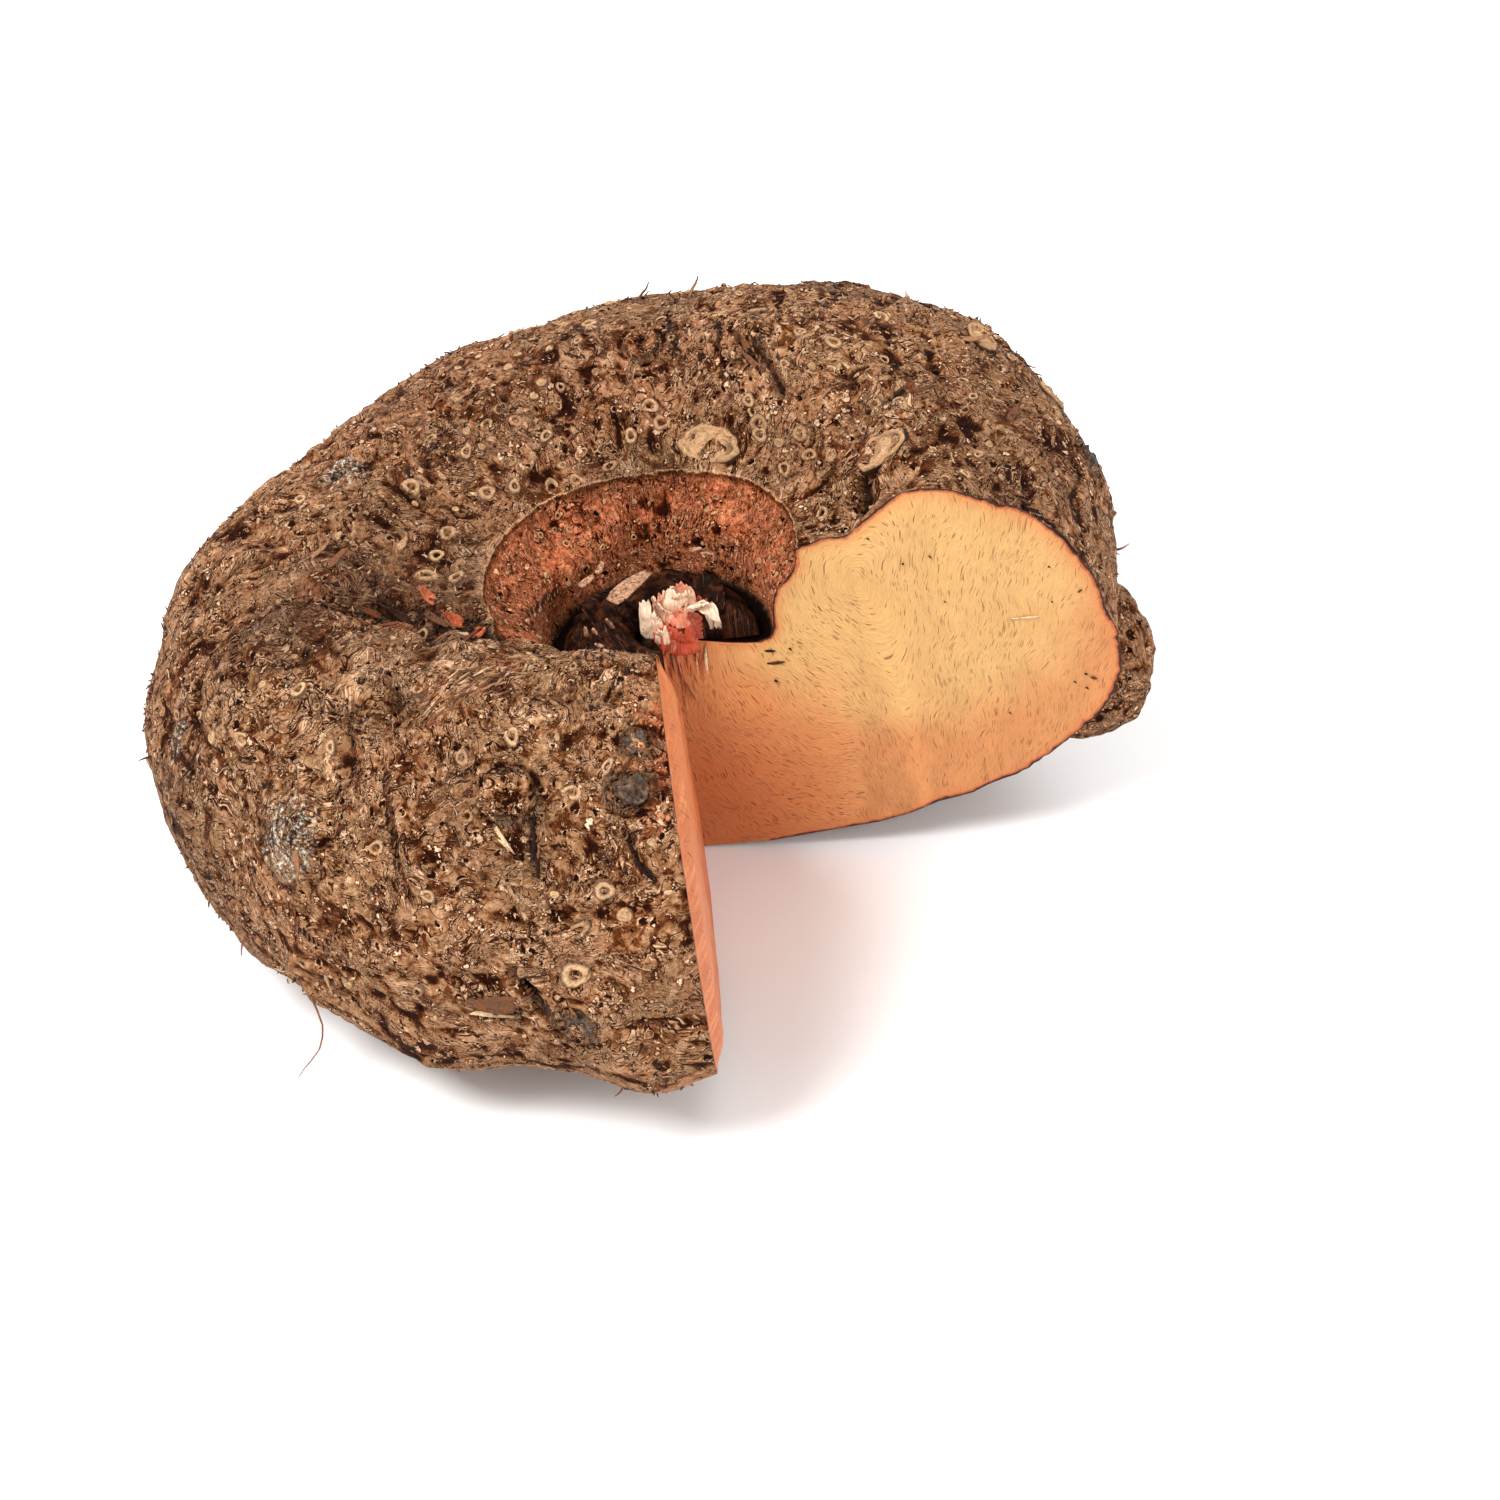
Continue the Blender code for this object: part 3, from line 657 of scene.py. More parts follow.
class Graph:
    """A shader node tree that is filled in by short calls."""

    def __init__(self, tree: bpy.types.NodeTree) -> None:
        """Work on a node tree."""
        self.tree = tree

    def feed(self, node: Node, ins: dict) -> Node:
        """Give values or sockets to a node's inputs, by name or number, and return the node.

        Args:
            node: The node.
            ins: Values or sockets for its inputs, by name or number.

        Returns:
            The same node.
        """
        for key, value in ins.items():
            if isinstance(value, Socket):
                self.tree.links.new(value, node.inputs[key])
            else:
                node.inputs[key].default_value = value
        return node

    def add(self, kind: str, ins: dict | None = None, **settings: object) -> Node:
        """Add a node.

        Args:
            kind: The node's type, without ShaderNode in front.
            ins: Values or sockets for its inputs, by name or number.
            settings: Its other properties.

        Returns:
            The node.
        """
        node = self.tree.nodes.new("ShaderNode" + kind)
        for name, value in settings.items():
            setattr(node, name, value)
        return self.feed(node, ins or {})

    def group(self, name: str, ins: dict) -> Sequence[Socket]:
        """Place a node group and give its outputs.

        Args:
            name: The group's name.
            ins: Values or sockets for its inputs.

        Returns:
            Its outputs.
        """
        node = self.tree.nodes.new("ShaderNodeGroup")
        node.node_tree = bpy.data.node_groups[name]
        return self.feed(node, ins).outputs

    def attribute(self, name: str) -> Socket:
        """Read one of the mesh's values."""
        return self.add("Attribute", attribute_name=name).outputs["Fac"]

    def math(self, operation: str, a: Value, b: Value = 0.0, clamp: bool = False) -> Socket:
        """Reckon with two numbers or sockets."""
        return self.add("Math", {0: a, 1: b}, operation=operation, use_clamp=clamp).outputs[0]

    def times(self, a: Value, b: Value) -> Socket:
        """Multiply."""
        return self.math("MULTIPLY", a, b)

    def plus(self, a: Value, b: Value, clamp: bool = False) -> Socket:
        """Add, and keep the sum between 0 and 1 if asked."""
        return self.math("ADD", a, b, clamp)

    def minus(self, a: Value, b: Value) -> Socket:
        """Subtract."""
        return self.math("SUBTRACT", a, b)

    def most(self, a: Value, b: Value) -> Socket:
        """Take the larger of two."""
        return self.math("MAXIMUM", a, b)

    def vector(self, x: Value, y: Value, z: Value = 0.0) -> Socket:
        """Join three numbers."""
        return self.add("CombineXYZ", {0: x, 1: y, 2: z}).outputs[0]

    def noise(
        self, vector: Value, scale: Value, detail: float = 2.0, roughness: float = 0.5, distortion: float = 0.0
    ) -> Socket:
        """Add noise and give its value from 0 to 1.

        Args:
            vector: Where it is read.
            scale: How fine it is.
            detail: How many finer layers it has.
            roughness: How strong they are.
            distortion: How far it is swirled.

        Returns:
            The socket.
        """
        ins = {"Vector": vector, "Scale": scale, "Detail": detail}
        ins |= {"Roughness": roughness, "Distortion": distortion}
        return self.add("TexNoise", ins).outputs["Fac"]

    def ramp(self, value: Value, low: float, high: float, top: float = 1.0) -> Socket:
        """Rise smoothly from 0 at low to top at high; low may be the larger."""
        ins = {"Value": value, 1: low, 2: high, 3: 0.0, 4: top}
        return self.add("MapRange", ins, interpolation_type="SMOOTHSTEP").outputs["Result"]

    def span(self, value: Value, low: float, high: float, start: float, end: float) -> Socket:
        """Go straight from start at low to end at high."""
        return self.add("MapRange", {"Value": value, 1: low, 2: high, 3: start, 4: end}).outputs[0]

    def blend(self, share: Value, first: Value, second: Value) -> Socket:
        """Blend two numbers."""
        return self.add("Mix", {0: share, 2: first, 3: second}, data_type="FLOAT").outputs[0]

    def mix(self, share: Value, first: Colour, second: Colour) -> Socket:
        """Blend two colours, each a socket or a tuple as seen on a screen."""
        ends = [srgb(*colour) if isinstance(colour, tuple) else colour for colour in (first, second)]
        return self.add("Mix", {0: share, 6: ends[0], 7: ends[1]}, data_type="RGBA").outputs[2]

    def paint(self, colour: Colour, *coats: tuple[Value, Colour]) -> Socket:
        """Lay coats over a colour in order, each with its share.

        Args:
            colour: What lies below.
            coats: The share and the colour of each coat.

        Returns:
            The colour on top.
        """
        for share, coat in coats:
            colour = self.mix(share, colour, coat)
        return colour

    def scaled(self, colour: Socket, share: Value) -> Socket:
        """Brighten or darken a colour by a number."""
        return self.add("VectorMath", {0: colour, "Scale": share}, operation="SCALE").outputs[0]

    def swayed(self, vector: Socket, place: Socket, scale: float, amount: Value) -> Socket:
        """Push a vector about by noise that changes from place to place.

        Args:
            vector: What is pushed.
            place: Where the noise is read.
            scale: How fine the noise is.
            amount: How far it pushes.

        Returns:
            The pushed vector.
        """
        warp = self.add("TexNoise", {"Vector": place, "Scale": scale, "Detail": 2.0}).outputs["Color"]
        centred = self.add("VectorMath", {0: warp, 1: (0.5, 0.5, 0.5)}, operation="SUBTRACT").outputs[0]
        return self.add("VectorMath", {0: vector, 1: self.scaled(centred, amount)}, operation="ADD").outputs[0]

    def tones(self, value: Socket, stops: Sequence[tuple[float, Triple]]) -> Socket:
        """Give the colour that belongs to a value, between the two stops beside it.

        Args:
            value: The value, or a colour whose brightness counts.
            stops: Values from 0 to 1 and their colours, in rising order.

        Returns:
            The colour.
        """
        node = self.add("ValToRGB", {"Fac": value})
        ramp = node.color_ramp.elements
        for element, (position, shown) in ((ramp[0], stops[0]), (ramp[1], stops[-1])):
            element.position, element.color = position, srgb(*shown)
        for position, shown in stops[1:-1]:
            ramp.new(position).color = srgb(*shown)
        return node.outputs[0]

    def millimetres(self) -> Socket:
        """Give the point's place in the part's frame, in millimetres."""
        return self.scaled(self.add("TexCoord").outputs["Object"], 1 / MM)

    def dress(self, shader: Node, colour: Socket, rough: Value, shine: Value, height: Socket) -> None:
        """Feed a shader.

        Args:
            shader: The Principled shader.
            colour: Its colour.
            rough: Its roughness.
            shine: Its specular level.
            height: The fine relief in millimetres.
        """
        bump = self.add("Bump", {"Height": height, "Strength": 1.0, "Distance": MM}).outputs["Normal"]
        self.feed(shader, {"Base Color": colour, "Roughness": rough, "Specular IOR Level": shine, "Normal": bump})


class Effects:
    """The node groups that more than one material uses."""

    @staticmethod
    def start(name: str, ins: dict[str, float | None], outs: dict[str, str]) -> tuple[Graph, Sequence[Socket], Node]:
        """Begin a node group.

        Args:
            name: The group's name.
            ins: For each input, its value when nothing is linked, or None for a vector.
            outs: For each output, its kind.

        Returns:
            The graph, the sockets that hold the inputs, and the node that takes the outputs.
        """
        tree = bpy.data.node_groups.new(name, "ShaderNodeTree")
        for key, value in ins.items():
            kind = "NodeSocketVector" if value is None else "NodeSocketFloat"
            socket = tree.interface.new_socket(key, in_out="INPUT", socket_type=kind)
            if value is not None:
                socket.default_value = value
        for key, kind in outs.items():
            tree.interface.new_socket(key, in_out="OUTPUT", socket_type="NodeSocket" + kind)
        return Graph(tree), tree.nodes.new("NodeGroupInput").outputs, tree.nodes.new("NodeGroupOutput")

    def flecks(self) -> None:
        """Build scattered spots, such as chips of bark, pores or grit, and the halo round each, which the skin uses
        for painted shadow and painted highlight.
        """
        ins = {"Vector": None, "Cells": 0.5, "Share": 0.3, "Size": 0.3, "Raggedness": 0.5, "Patchiness": 0.0}
        graph, given, taken = self.start("flecks", ins, {"Mask": "Float", "Halo": "Float"})
        where, patchiness = given["Vector"], given["Patchiness"]
        moved = graph.swayed(where, where, 0.8, given["Raggedness"])
        cells = graph.add("TexVoronoi", {"Vector": moved, "Scale": given["Cells"]}).outputs
        draw = graph.add("SeparateColor", {0: cells["Color"]}).outputs
        size = graph.times(given["Size"], graph.plus(draw[1], 0.45))
        inside = graph.minus(1.0, graph.math("DIVIDE", cells["Distance"], size))
        halo = graph.times(graph.ramp(inside, -0.7, -0.05), graph.ramp(inside, 0.25, 0.0))
        patches = graph.ramp(graph.noise(where, 0.085), 0.42, 0.62, 2.0)
        spread = graph.plus(graph.minus(1.0, patchiness), graph.times(patchiness, patches))
        chosen = graph.math("LESS_THAN", draw[0], graph.times(given["Share"], spread))
        spot = graph.times(graph.ramp(inside, 0.0, 0.4), chosen)
        graph.feed(taken, {"Mask": spot, "Halo": graph.times(halo, chosen)})

    def fibres(self) -> None:
        """Build fine fibres that run along the first way of the vector."""
        ins = {"Vector": None, "Length": 6.0, "Width": 0.5}
        graph, given, taken = self.start("fibres", ins, {"Height": "Float"})
        parts = graph.add("SeparateXYZ", {0: given["Vector"]}).outputs
        flat = [graph.math("DIVIDE", part, given[name]) for part, name in zip(parts, ("Length", "Width"))]
        graph.feed(taken, {"Height": graph.noise(graph.vector(*flat), 1.0, 3.0, 0.6, 0.6)})

    def grain(self) -> None:
        """Build the skin's combed fibres, the fine cracks, which the skin darkens as painted shade, and the edge
        beside each crack, which it lightens as a painted highlight; they bend and change their way.
        """
        outs = dict.fromkeys(("Fibre", "Crack", "Edge"), "Float")
        graph, given, taken = self.start("grain", {"Vector": None, "Flow": None}, outs)
        where = given["Vector"]
        bent = graph.swayed(given["Flow"], where, 0.05, 26.0)
        around, down = (
            graph.group("fibres", {"Vector": bent, "Length": length, "Width": width})[0]
            for length, width in ((4.6, 0.55), (0.55, 4.6))
        )
        fibre = graph.blend(graph.ramp(graph.noise(where, 0.035), 0.46, 0.54), around, down)
        cracks, edges = [], []
        for scale, rough, bend, patch_scale, patch, width, beside, lip in (
            (0.13, 0.55, 0.9, 0.06, (0.38, 0.5), (0.016, 0.003), 0.028, (0.014, 0.002)),
            (0.3, 0.6, 1.5, 0.09, (0.42, 0.52), (0.02, 0.004), 0.036, (0.018, 0.003)),
        ):
            off = graph.minus(graph.noise(bent, scale, 3.0, rough, bend), 0.5)
            patches = graph.ramp(graph.noise(where, patch_scale), *patch)
            cracks.append(graph.times(graph.ramp(graph.math("ABSOLUTE", off), *width), patches))
            aside = graph.math("ABSOLUTE", graph.minus(off, beside))
            edges.append(graph.times(graph.ramp(aside, *lip), patches))
        graph.feed(taken, {"Fibre": fibre, "Crack": graph.most(*cracks), "Edge": graph.most(*edges)})

    def bark(self) -> None:
        """Build the corky skin's colour, roughness and fine height; the colour holds painted shade in cracks, pores,
        hollows and low spots, and painted highlights on crests, crack edges and rims.
        """
        ins = {"Vector": None, "Flow": None} | {name.capitalize(): 0.0 for name in SKIN_VALUES}
        outs = {"Color": "Color", "Roughness": "Float", "Height": "Float"}
        graph, given, taken = self.start("bark", ins, outs)
        where, low, warm, pale, wall = (given[name] for name in ("Vector", "Low", "Warm", "Pale", "Wall"))
        fibre, crack, edge = graph.group("grain", {"Vector": where, "Flow": given["Flow"]})
        film, stain, rust, grain, smear, speckle = (
            graph.noise(where, *spec) for spec in (
                (0.075, 3.0, 0.6, 0.8), (0.12, 5.0, 0.66, 1.2), (0.17, 4.0, 0.62, 0.5),
                (0.62, 6.0, 0.68, 0.3), (0.3, 5.0, 0.7, 2.2), (0.9, 4.0, 0.7),
            )
        )
        redness = graph.plus(graph.ramp(graph.noise(where, 0.027), 0.35, 0.68, 0.55), warm, True)
        rusty = graph.plus(graph.ramp(rust, 0.6, 0.76, 0.4), given["Rust"], True)
        colour = graph.paint(
            graph.mix(redness, (136, 102, 71), (146, 91, 60)),
            (graph.ramp(film, 0.5, 0.68, 0.5), (148, 124, 95)),
            (graph.ramp(stain, 0.5, 0.38, 0.85), (82, 43, 22)),
            (rusty, (158, 78, 42)),
            (graph.times(pale, 0.6), (156, 105, 66)),
            (graph.times(wall, 0.75), (166, 98, 60)),
        )
        shaded = graph.scaled(colour, graph.span(grain, 0.32, 0.7, 0.64, 1.42))
        shaded = graph.scaled(shaded, graph.span(fibre, 0.32, 0.68, 0.8, 1.2))
        specs = {"Vector": where, "Cells": 0.4, "Share": 0.15, "Size": 0.34, "Patchiness": 0.8, "Raggedness": 3.4}
        moved = graph.add("VectorMath", {0: where, 1: (31.0, 17.0, 53.0)}, operation="ADD").outputs[0]
        chips = graph.group("flecks", specs)
        small = graph.group("flecks", specs | {"Cells": 0.85, "Raggedness": 1.8})
        holes = {"Vector": moved, "Share": 0.26, "Size": 0.3, "Raggedness": 2.6}
        pore, pore_halo = graph.group("flecks", specs | holes)
        chip, halo = (graph.most(*pair) for pair in zip(chips, small))
        tint = graph.mix(graph.ramp(rust, 0.4, 0.6), (238, 198, 150), (212, 150, 106))
        side = graph.ramp(graph.noise(where, 0.7, 1.0), 0.5, 0.6)
        # Painted shadow just inside the ring's lip and a painted highlight along its edge.
        lip = graph.plus(given["Lip"], graph.times(graph.minus(stain, 0.5), 3.0))
        inner = graph.times(graph.ramp(lip, -1.7, -0.6), graph.ramp(lip, 0.0, -0.4))
        line = graph.times(graph.ramp(lip, -0.4, -0.1), graph.ramp(lip, 0.4, 0.1))
        colour = graph.paint(
            graph.mix(graph.times(pale, 0.7), shaded, colour),
            # Painted highlight on raised fibre crests.
            (graph.times(graph.ramp(low, 0.2, 0.9, 0.38), graph.ramp(fibre, 0.45, 0.62)), (216, 172, 128)),
            # Painted highlight on the edge beside each crack.
            (graph.times(edge, 0.45), (214, 170, 126)),
            # Painted shade in the fine cracks.
            (graph.times(crack, 0.85), (40, 17, 7)),
            # Painted shade in low spots, in patches where the stain noise is low.
            (graph.times(graph.ramp(low, -0.2, -0.8, 0.92), graph.ramp(stain, 0.62, 0.48)), (44, 18, 8)),
            # Painted shadow round each chip.
            (graph.times(halo, 0.7), (52, 24, 12)),
            (graph.times(chip, graph.minus(0.72, graph.times(pale, 0.3))), tint),
            # Painted highlight on one side of each pore's rim.
            (graph.times(graph.times(pore_halo, side), 0.42), (232, 188, 142)),
            # Painted shade in the pores.
            (graph.times(pore, 0.95), (30, 12, 6)),
            # The ring lip's painted shadow and highlight.
            (graph.times(inner, 0.5), (44, 20, 10)),
            (graph.times(line, 0.5), (196, 146, 106)),
            (graph.ramp(smear, 0.45, 0.33, 0.85), (46, 20, 9)),
            (graph.ramp(smear, 0.6, 0.72, 0.4), (196, 156, 120)),
        )
        # The crater wall gets more contrast and is brightened far more than the rest, painted light that makes up for
        # the shade it lies in; the warm part of the crown is brightened a little.
        contrast = graph.plus(graph.times(wall, 0.45), 1.22)
        deeper = graph.add("Gamma", {"Color": colour, "Gamma": contrast}).outputs[0]
        gain = graph.plus(graph.plus(graph.times(wall, 1.7), 1.98), graph.times(warm, 0.5))
        colour = graph.scaled(deeper, gain)
        kept = graph.plus(graph.times(rusty, 0.5), graph.times(wall, 0.4), True)
        kept = graph.plus(kept, graph.times(warm, 0.35), True)
        crust = graph.mix(graph.ramp(speckle, 0.5, 0.6), (112, 92, 72), (232, 222, 204))
        crust = graph.mix(graph.ramp(speckle, 0.47, 0.41), crust, (30, 22, 15))
        grit = graph.times(given["Grit"], graph.ramp(grain, 0.4, 0.54))
        colour = graph.paint(
            colour,
            # Painted sheen: the tone ramp turns pale parts whitish, less so on rust, the crater wall and the crown.
            (graph.minus(0.78, graph.times(kept, 0.78)), graph.tones(colour, BARK_TONES)),
            (graph.times(grit, 0.85), crust),
            # Painted shade wherever the skin's dark value is set.
            (given["Dark"], (22, 9, 5)),
        )
        height = graph.times(grain, 1.0)
        for operation, part, amount in (
            ("ADD", fibre, 0.45), ("ADD", chip, 0.5), ("SUBTRACT", pore, 0.7), ("SUBTRACT", crack, 0.7),
            ("ADD", edge, 0.35), ("ADD", stain, 1.4),
        ):
            height = graph.math(operation, height, graph.times(part, amount))
        rough = graph.span(grain, 0.3, 0.7, 0.55, 0.85)
        graph.feed(taken, {"Color": colour, "Roughness": rough, "Height": height})

    def build(self) -> None:
        """Build every group, once, each before the group that holds it."""
        for make in (self.flecks, self.fibres, self.grain, self.bark):
            make()


def new_material(name: str) -> tuple[Material, Graph, Node]:
    """Begin a material, and give it, its graph and its Principled shader.

    Args:
        name: Its name.

    Returns:
        The material, its graph and its Principled shader.
    """
    material = bpy.data.materials.new(name)
    material.use_nodes = True
    return material, Graph(material.node_tree), material.node_tree.nodes["Principled BSDF"]


@dataclass(frozen=True)
class SkinFinish:
    """Corky brown skin."""

    shine: float = 0.05

    def make(self) -> Material:
        """Build the material.

        Returns:
            The material.
        """
        material, graph, shader = new_material("corky_skin")
        flow = graph.vector(graph.attribute("run"), graph.attribute("fall"))
        ins = {name.capitalize(): graph.attribute(name) for name in SKIN_VALUES}
        colour, rough, height = graph.group("bark", ins | {"Vector": graph.millimetres(), "Flow": flow})
        graph.dress(shader, colour, rough, self.shine, height)
        return material


@dataclass(frozen=True)
class ScarFinish:
    """Root scars: a pale, broken corky rim; the core coat is painted shade in the hole and round the scar's foot."""

    pale: Triple = (236, 194, 144)
    dull: Triple = (158, 108, 70)
    core: Triple = (44, 20, 9)
    stain: Triple = (126, 66, 34)

    def make(self) -> Material:
        """Build the material.

        Returns:
            The material.
        """
        material, graph, shader = new_material("root_scar")
        where = graph.millimetres()
        ins = {name.capitalize(): graph.attribute(name) for name in ("warm", "dark", "pale", "wall")}
        bark = graph.group("bark", ins | {"Vector": where, "Flow": where, "Low": 0.1})
        speck, blot = graph.noise(where, 1.3, 5.0, 0.7), graph.noise(where, 0.34, 4.0, 0.6, 0.8)
        rim = graph.mix(graph.attribute("shade"), self.dull, self.pale)
        rim = graph.scaled(rim, graph.span(speck, 0.3, 0.7, 0.5, 1.35))
        rim = graph.mix(graph.ramp(blot, 0.55, 0.68, 0.8), rim, self.stain)
        share = graph.times(graph.attribute("rim"), graph.ramp(graph.noise(where, 0.3), 0.3, 0.42))
        # The core coat is painted shade in the scars' holes and round their foot.
        colour = graph.paint(bark["Color"], (share, rim), (graph.attribute("core"), self.core))
        graph.dress(shader, colour, 0.72, 0.18, graph.plus(graph.times(speck, 0.7), blot))
        return material


@dataclass(frozen=True)
class FlakeFinish:
    """Loose chips and shreds of bark, from dark brown to pale tan."""

    dark: Triple = (42, 18, 8)
    middle: Triple = (146, 96, 62)
    pale: Triple = (236, 200, 156)
    torn: Triple = (206, 104, 66)
    rust: Triple = (150, 78, 42)

    def make(self) -> Material:
        """Build the material.

        Returns:
            The material.
        """
        material, graph, shader = new_material("bark_flake")
        where, tone = graph.millimetres(), graph.attribute("shade")
        colour = graph.tones(tone, ((0.12, self.dark), (0.66, self.middle), (1.0, self.pale)))
        colour = graph.mix(graph.ramp(tone, 1.2, 2.0), colour, self.torn)
        speck = graph.noise(where, 1.1, 5.0, 0.7)
        colour = graph.scaled(colour, graph.span(speck, 0.3, 0.7, 0.45, 1.4))
        colour = graph.mix(graph.ramp(graph.noise(where, 0.12, 3.0), 0.5, 0.66, 0.55), colour, self.rust)
        graph.dress(shader, colour, 0.66, 0.2, graph.times(speck, 0.6))
        return material


@dataclass(frozen=True)
class FleshFinish:
    """Moist orange flesh with fine dark strands round a swirl, redder towards the bud and the skin."""

    middle: Triple = (214, 170, 108)
    outer: Triple = (204, 138, 84)
    deep: Triple = (190, 98, 50)
    rind: Triple = (170, 66, 40)
    bark: Triple = (58, 28, 14)
    strand: Triple = (122, 56, 22)
    swirl: Pair = (51.0, 83.0)
    flatness: float = 0.72
    stretch: float = 0.11

    def flow(self, graph: Graph, where: Socket, reach: Socket, level: Socket) -> Socket:
        """Give the vector that runs along the strands.

        Args:
            graph: The material's graph.
            where: The place in millimetres.
            reach: The distance from the tuber's axis.
            level: The height.

        Returns:
            The vector.
        """
        sway = graph.add("TexNoise", {"Vector": where, "Scale": 0.06, "Detail": 2.0}).outputs["Color"]
        parts = graph.add("SeparateColor", {0: sway}).outputs
        push = [graph.times(graph.minus(parts[i], 0.5), 9.0) for i in (0, 1)]
        across = graph.plus(graph.minus(reach, self.swirl[0]), push[0])
        above = graph.plus(graph.times(graph.minus(level, self.swirl[1]), self.flatness), push[1])
        away = graph.math("POWER", self.squares(graph, across, above), 0.5)
        fan = graph.times(across, graph.minus(1.0, graph.math("DIVIDE", above, 90.0)))
        rows = graph.blend(graph.ramp(across, -6.0, 14.0), away, fan)
        return graph.vector(graph.times(across, self.stretch), graph.times(above, self.stretch), rows)

    @staticmethod
    def squares(graph: Graph, a: Socket, b: Socket) -> Socket:
        """Add the squares of two numbers."""
        return graph.plus(graph.math("POWER", a, 2.0), graph.math("POWER", b, 2.0))

    def make(self) -> Material:
        """Build the material.

        Returns:
            The material.
        """
        material, graph, shader = new_material("cut_flesh")
        where, reach, level = graph.millimetres(), graph.attribute("reach"), graph.attribute("level")
        flow = self.flow(graph, where, reach, level)
        far = graph.math("DIVIDE", graph.minus(reach, 62.0), 40.0)
        tall = graph.math("DIVIDE", graph.minus(level, 72.0), 34.0)
        cloud = graph.minus(graph.noise(where, 0.05, 3.0, 0.5, 0.4), 0.5)
        warm = graph.plus(graph.ramp(self.squares(graph, far, tall), 0.45, 1.9), cloud, True)
        # Deeper orange towards the bottom and the axis: partly the flesh's own colour, partly painted shade as in the
        # corner of the notch.
        low = graph.times(graph.ramp(level, 66.0, 18.0), graph.ramp(reach, 62.0, 8.0, 0.75))
        side = graph.attribute("warm")
        lengthwise = graph.vector(graph.times(reach, 0.08), level)
        bands = graph.ramp(graph.noise(lengthwise, 0.5, 4.0, 0.6), 0.48, 0.64, 0.75)
        colour = graph.paint(
            graph.mix(warm, self.middle, self.outer),
            (low, self.deep),
            (graph.times(side, 0.8), (200, 98, 56)),
            (graph.times(side, bands), (226, 146, 96)),
        )
        fine = graph.noise(flow, 3.4, 3.0, 0.6)
        colour = graph.scaled(colour, graph.span(fine, 0.3, 0.7, 0.9, 1.08))
        specs = {"Vector": flow, "Raggedness": 0.3, "Share": 0.55, "Patchiness": 0.4}
        dashes = graph.group("flecks", specs | {"Cells": 2.2, "Size": 0.22})["Mask"]
        threads = graph.group("flecks", specs | {"Cells": 3.3, "Size": 0.26, "Share": 0.75})["Mask"]
        dash = graph.most(dashes, graph.times(threads, 0.7))
        near = graph.times(graph.ramp(reach, 15.0, 1.0), graph.ramp(level, 38.0, 66.0))
        strands = graph.noise(graph.vector(graph.times(level, 0.16), reach), 0.75, 4.0, 0.6, 0.3)
        ribs = graph.times(near, graph.ramp(strands, 0.5, 0.62))
        beside = graph.times(graph.ramp(reach, 13.0, 10.0), graph.ramp(level, 56.0, 70.0))
        stained = graph.mix(graph.ramp(strands, 0.44, 0.6), (222, 138, 92), (150, 44, 24))
        wander = graph.times(graph.minus(graph.noise(where, 0.35, 3.0), 0.5), 1.8)
        edge = graph.plus(graph.attribute("edge"), wander)
        colour = graph.paint(
            colour,
            (graph.ramp(graph.noise(flow, 4.2, 3.0, 0.6), 0.56, 0.7, 0.3), (186, 92, 44)),
            (graph.times(dash, 0.75), self.strand),
            (graph.times(near, 0.55), (196, 92, 48)),
            (ribs, (140, 40, 18)),
            (graph.times(beside, 0.8), stained),
            (graph.ramp(edge, 4.5, 1.0, 0.4), (204, 120, 66)),
            (graph.ramp(edge, 1.5, 0.8, 0.65), self.rind),
            (graph.ramp(edge, 0.8, 0.3), self.bark),
        )
        height = graph.minus(graph.times(fine, 0.35), graph.times(dash, 0.2))
        height = graph.minus(height, graph.times(ribs, 0.5))
        graph.dress(shader, colour, graph.span(fine, 0.3, 0.7, 0.4, 0.6), 0.25, height)
        let_light_in(graph, shader, (1.0, 0.4, 0.15))
        return material


def let_light_in(graph: Graph, shader: Node, reach: Triple) -> None:
    """Let light a little way into wet flesh: red, green and blue reach as many millimetres."""
    graph.feed(shader, {"Subsurface Weight": 0.1, "Subsurface Radius": reach, "Subsurface Scale": MM})


@dataclass(frozen=True)
class ScaleFinish:
    """Dark, leathery sheath scales with fine fibres and a faint gloss."""

    dark: Triple = (22, 6, 2)
    brown: Triple = (80, 40, 18)
    worn: Triple = (128, 78, 52)
    pale: Triple = (196, 148, 116)

    def make(self) -> Material:
        """Build the material.

        Returns:
            The material.
        """
        material, graph, shader = new_material("sheath_scale")
        where, flow = graph.millimetres(), graph.vector(graph.attribute("flow_a"), graph.attribute("flow_b"))
        fibre = graph.group("fibres", {"Vector": flow, "Length": 5.0, "Width": 0.45})[0]
        blotch = graph.noise(where, 0.32, 4.0, 0.6, 0.5)
        grain = graph.ramp(graph.noise(where, 1.4, 4.0, 0.65), 0.25, 0.68, 1.3)
        colour = graph.paint(
            graph.mix(graph.ramp(blotch, 0.44, 0.7, 0.8), self.dark, self.brown),
            (graph.ramp(fibre, 0.56, 0.72, 0.6), self.worn),
            (graph.attribute("shade"), graph.scaled(plain_colour(graph, self.pale), grain)),
        )
        rough = graph.span(blotch, 0.3, 0.7, 0.34, 0.66)
        graph.dress(shader, colour, rough, 0.07, graph.times(fibre, 0.7))
        return material


def plain_colour(graph: Graph, colour: Triple) -> Socket:
    """Give a plain colour as a socket, for a node that takes a vector.

    Args:
        graph: The material's graph.
        colour: The colour as seen on a screen.

    Returns:
        The socket.
    """
    socket = graph.add("RGB").outputs[0]
    socket.default_value = srgb(*colour)
    return socket


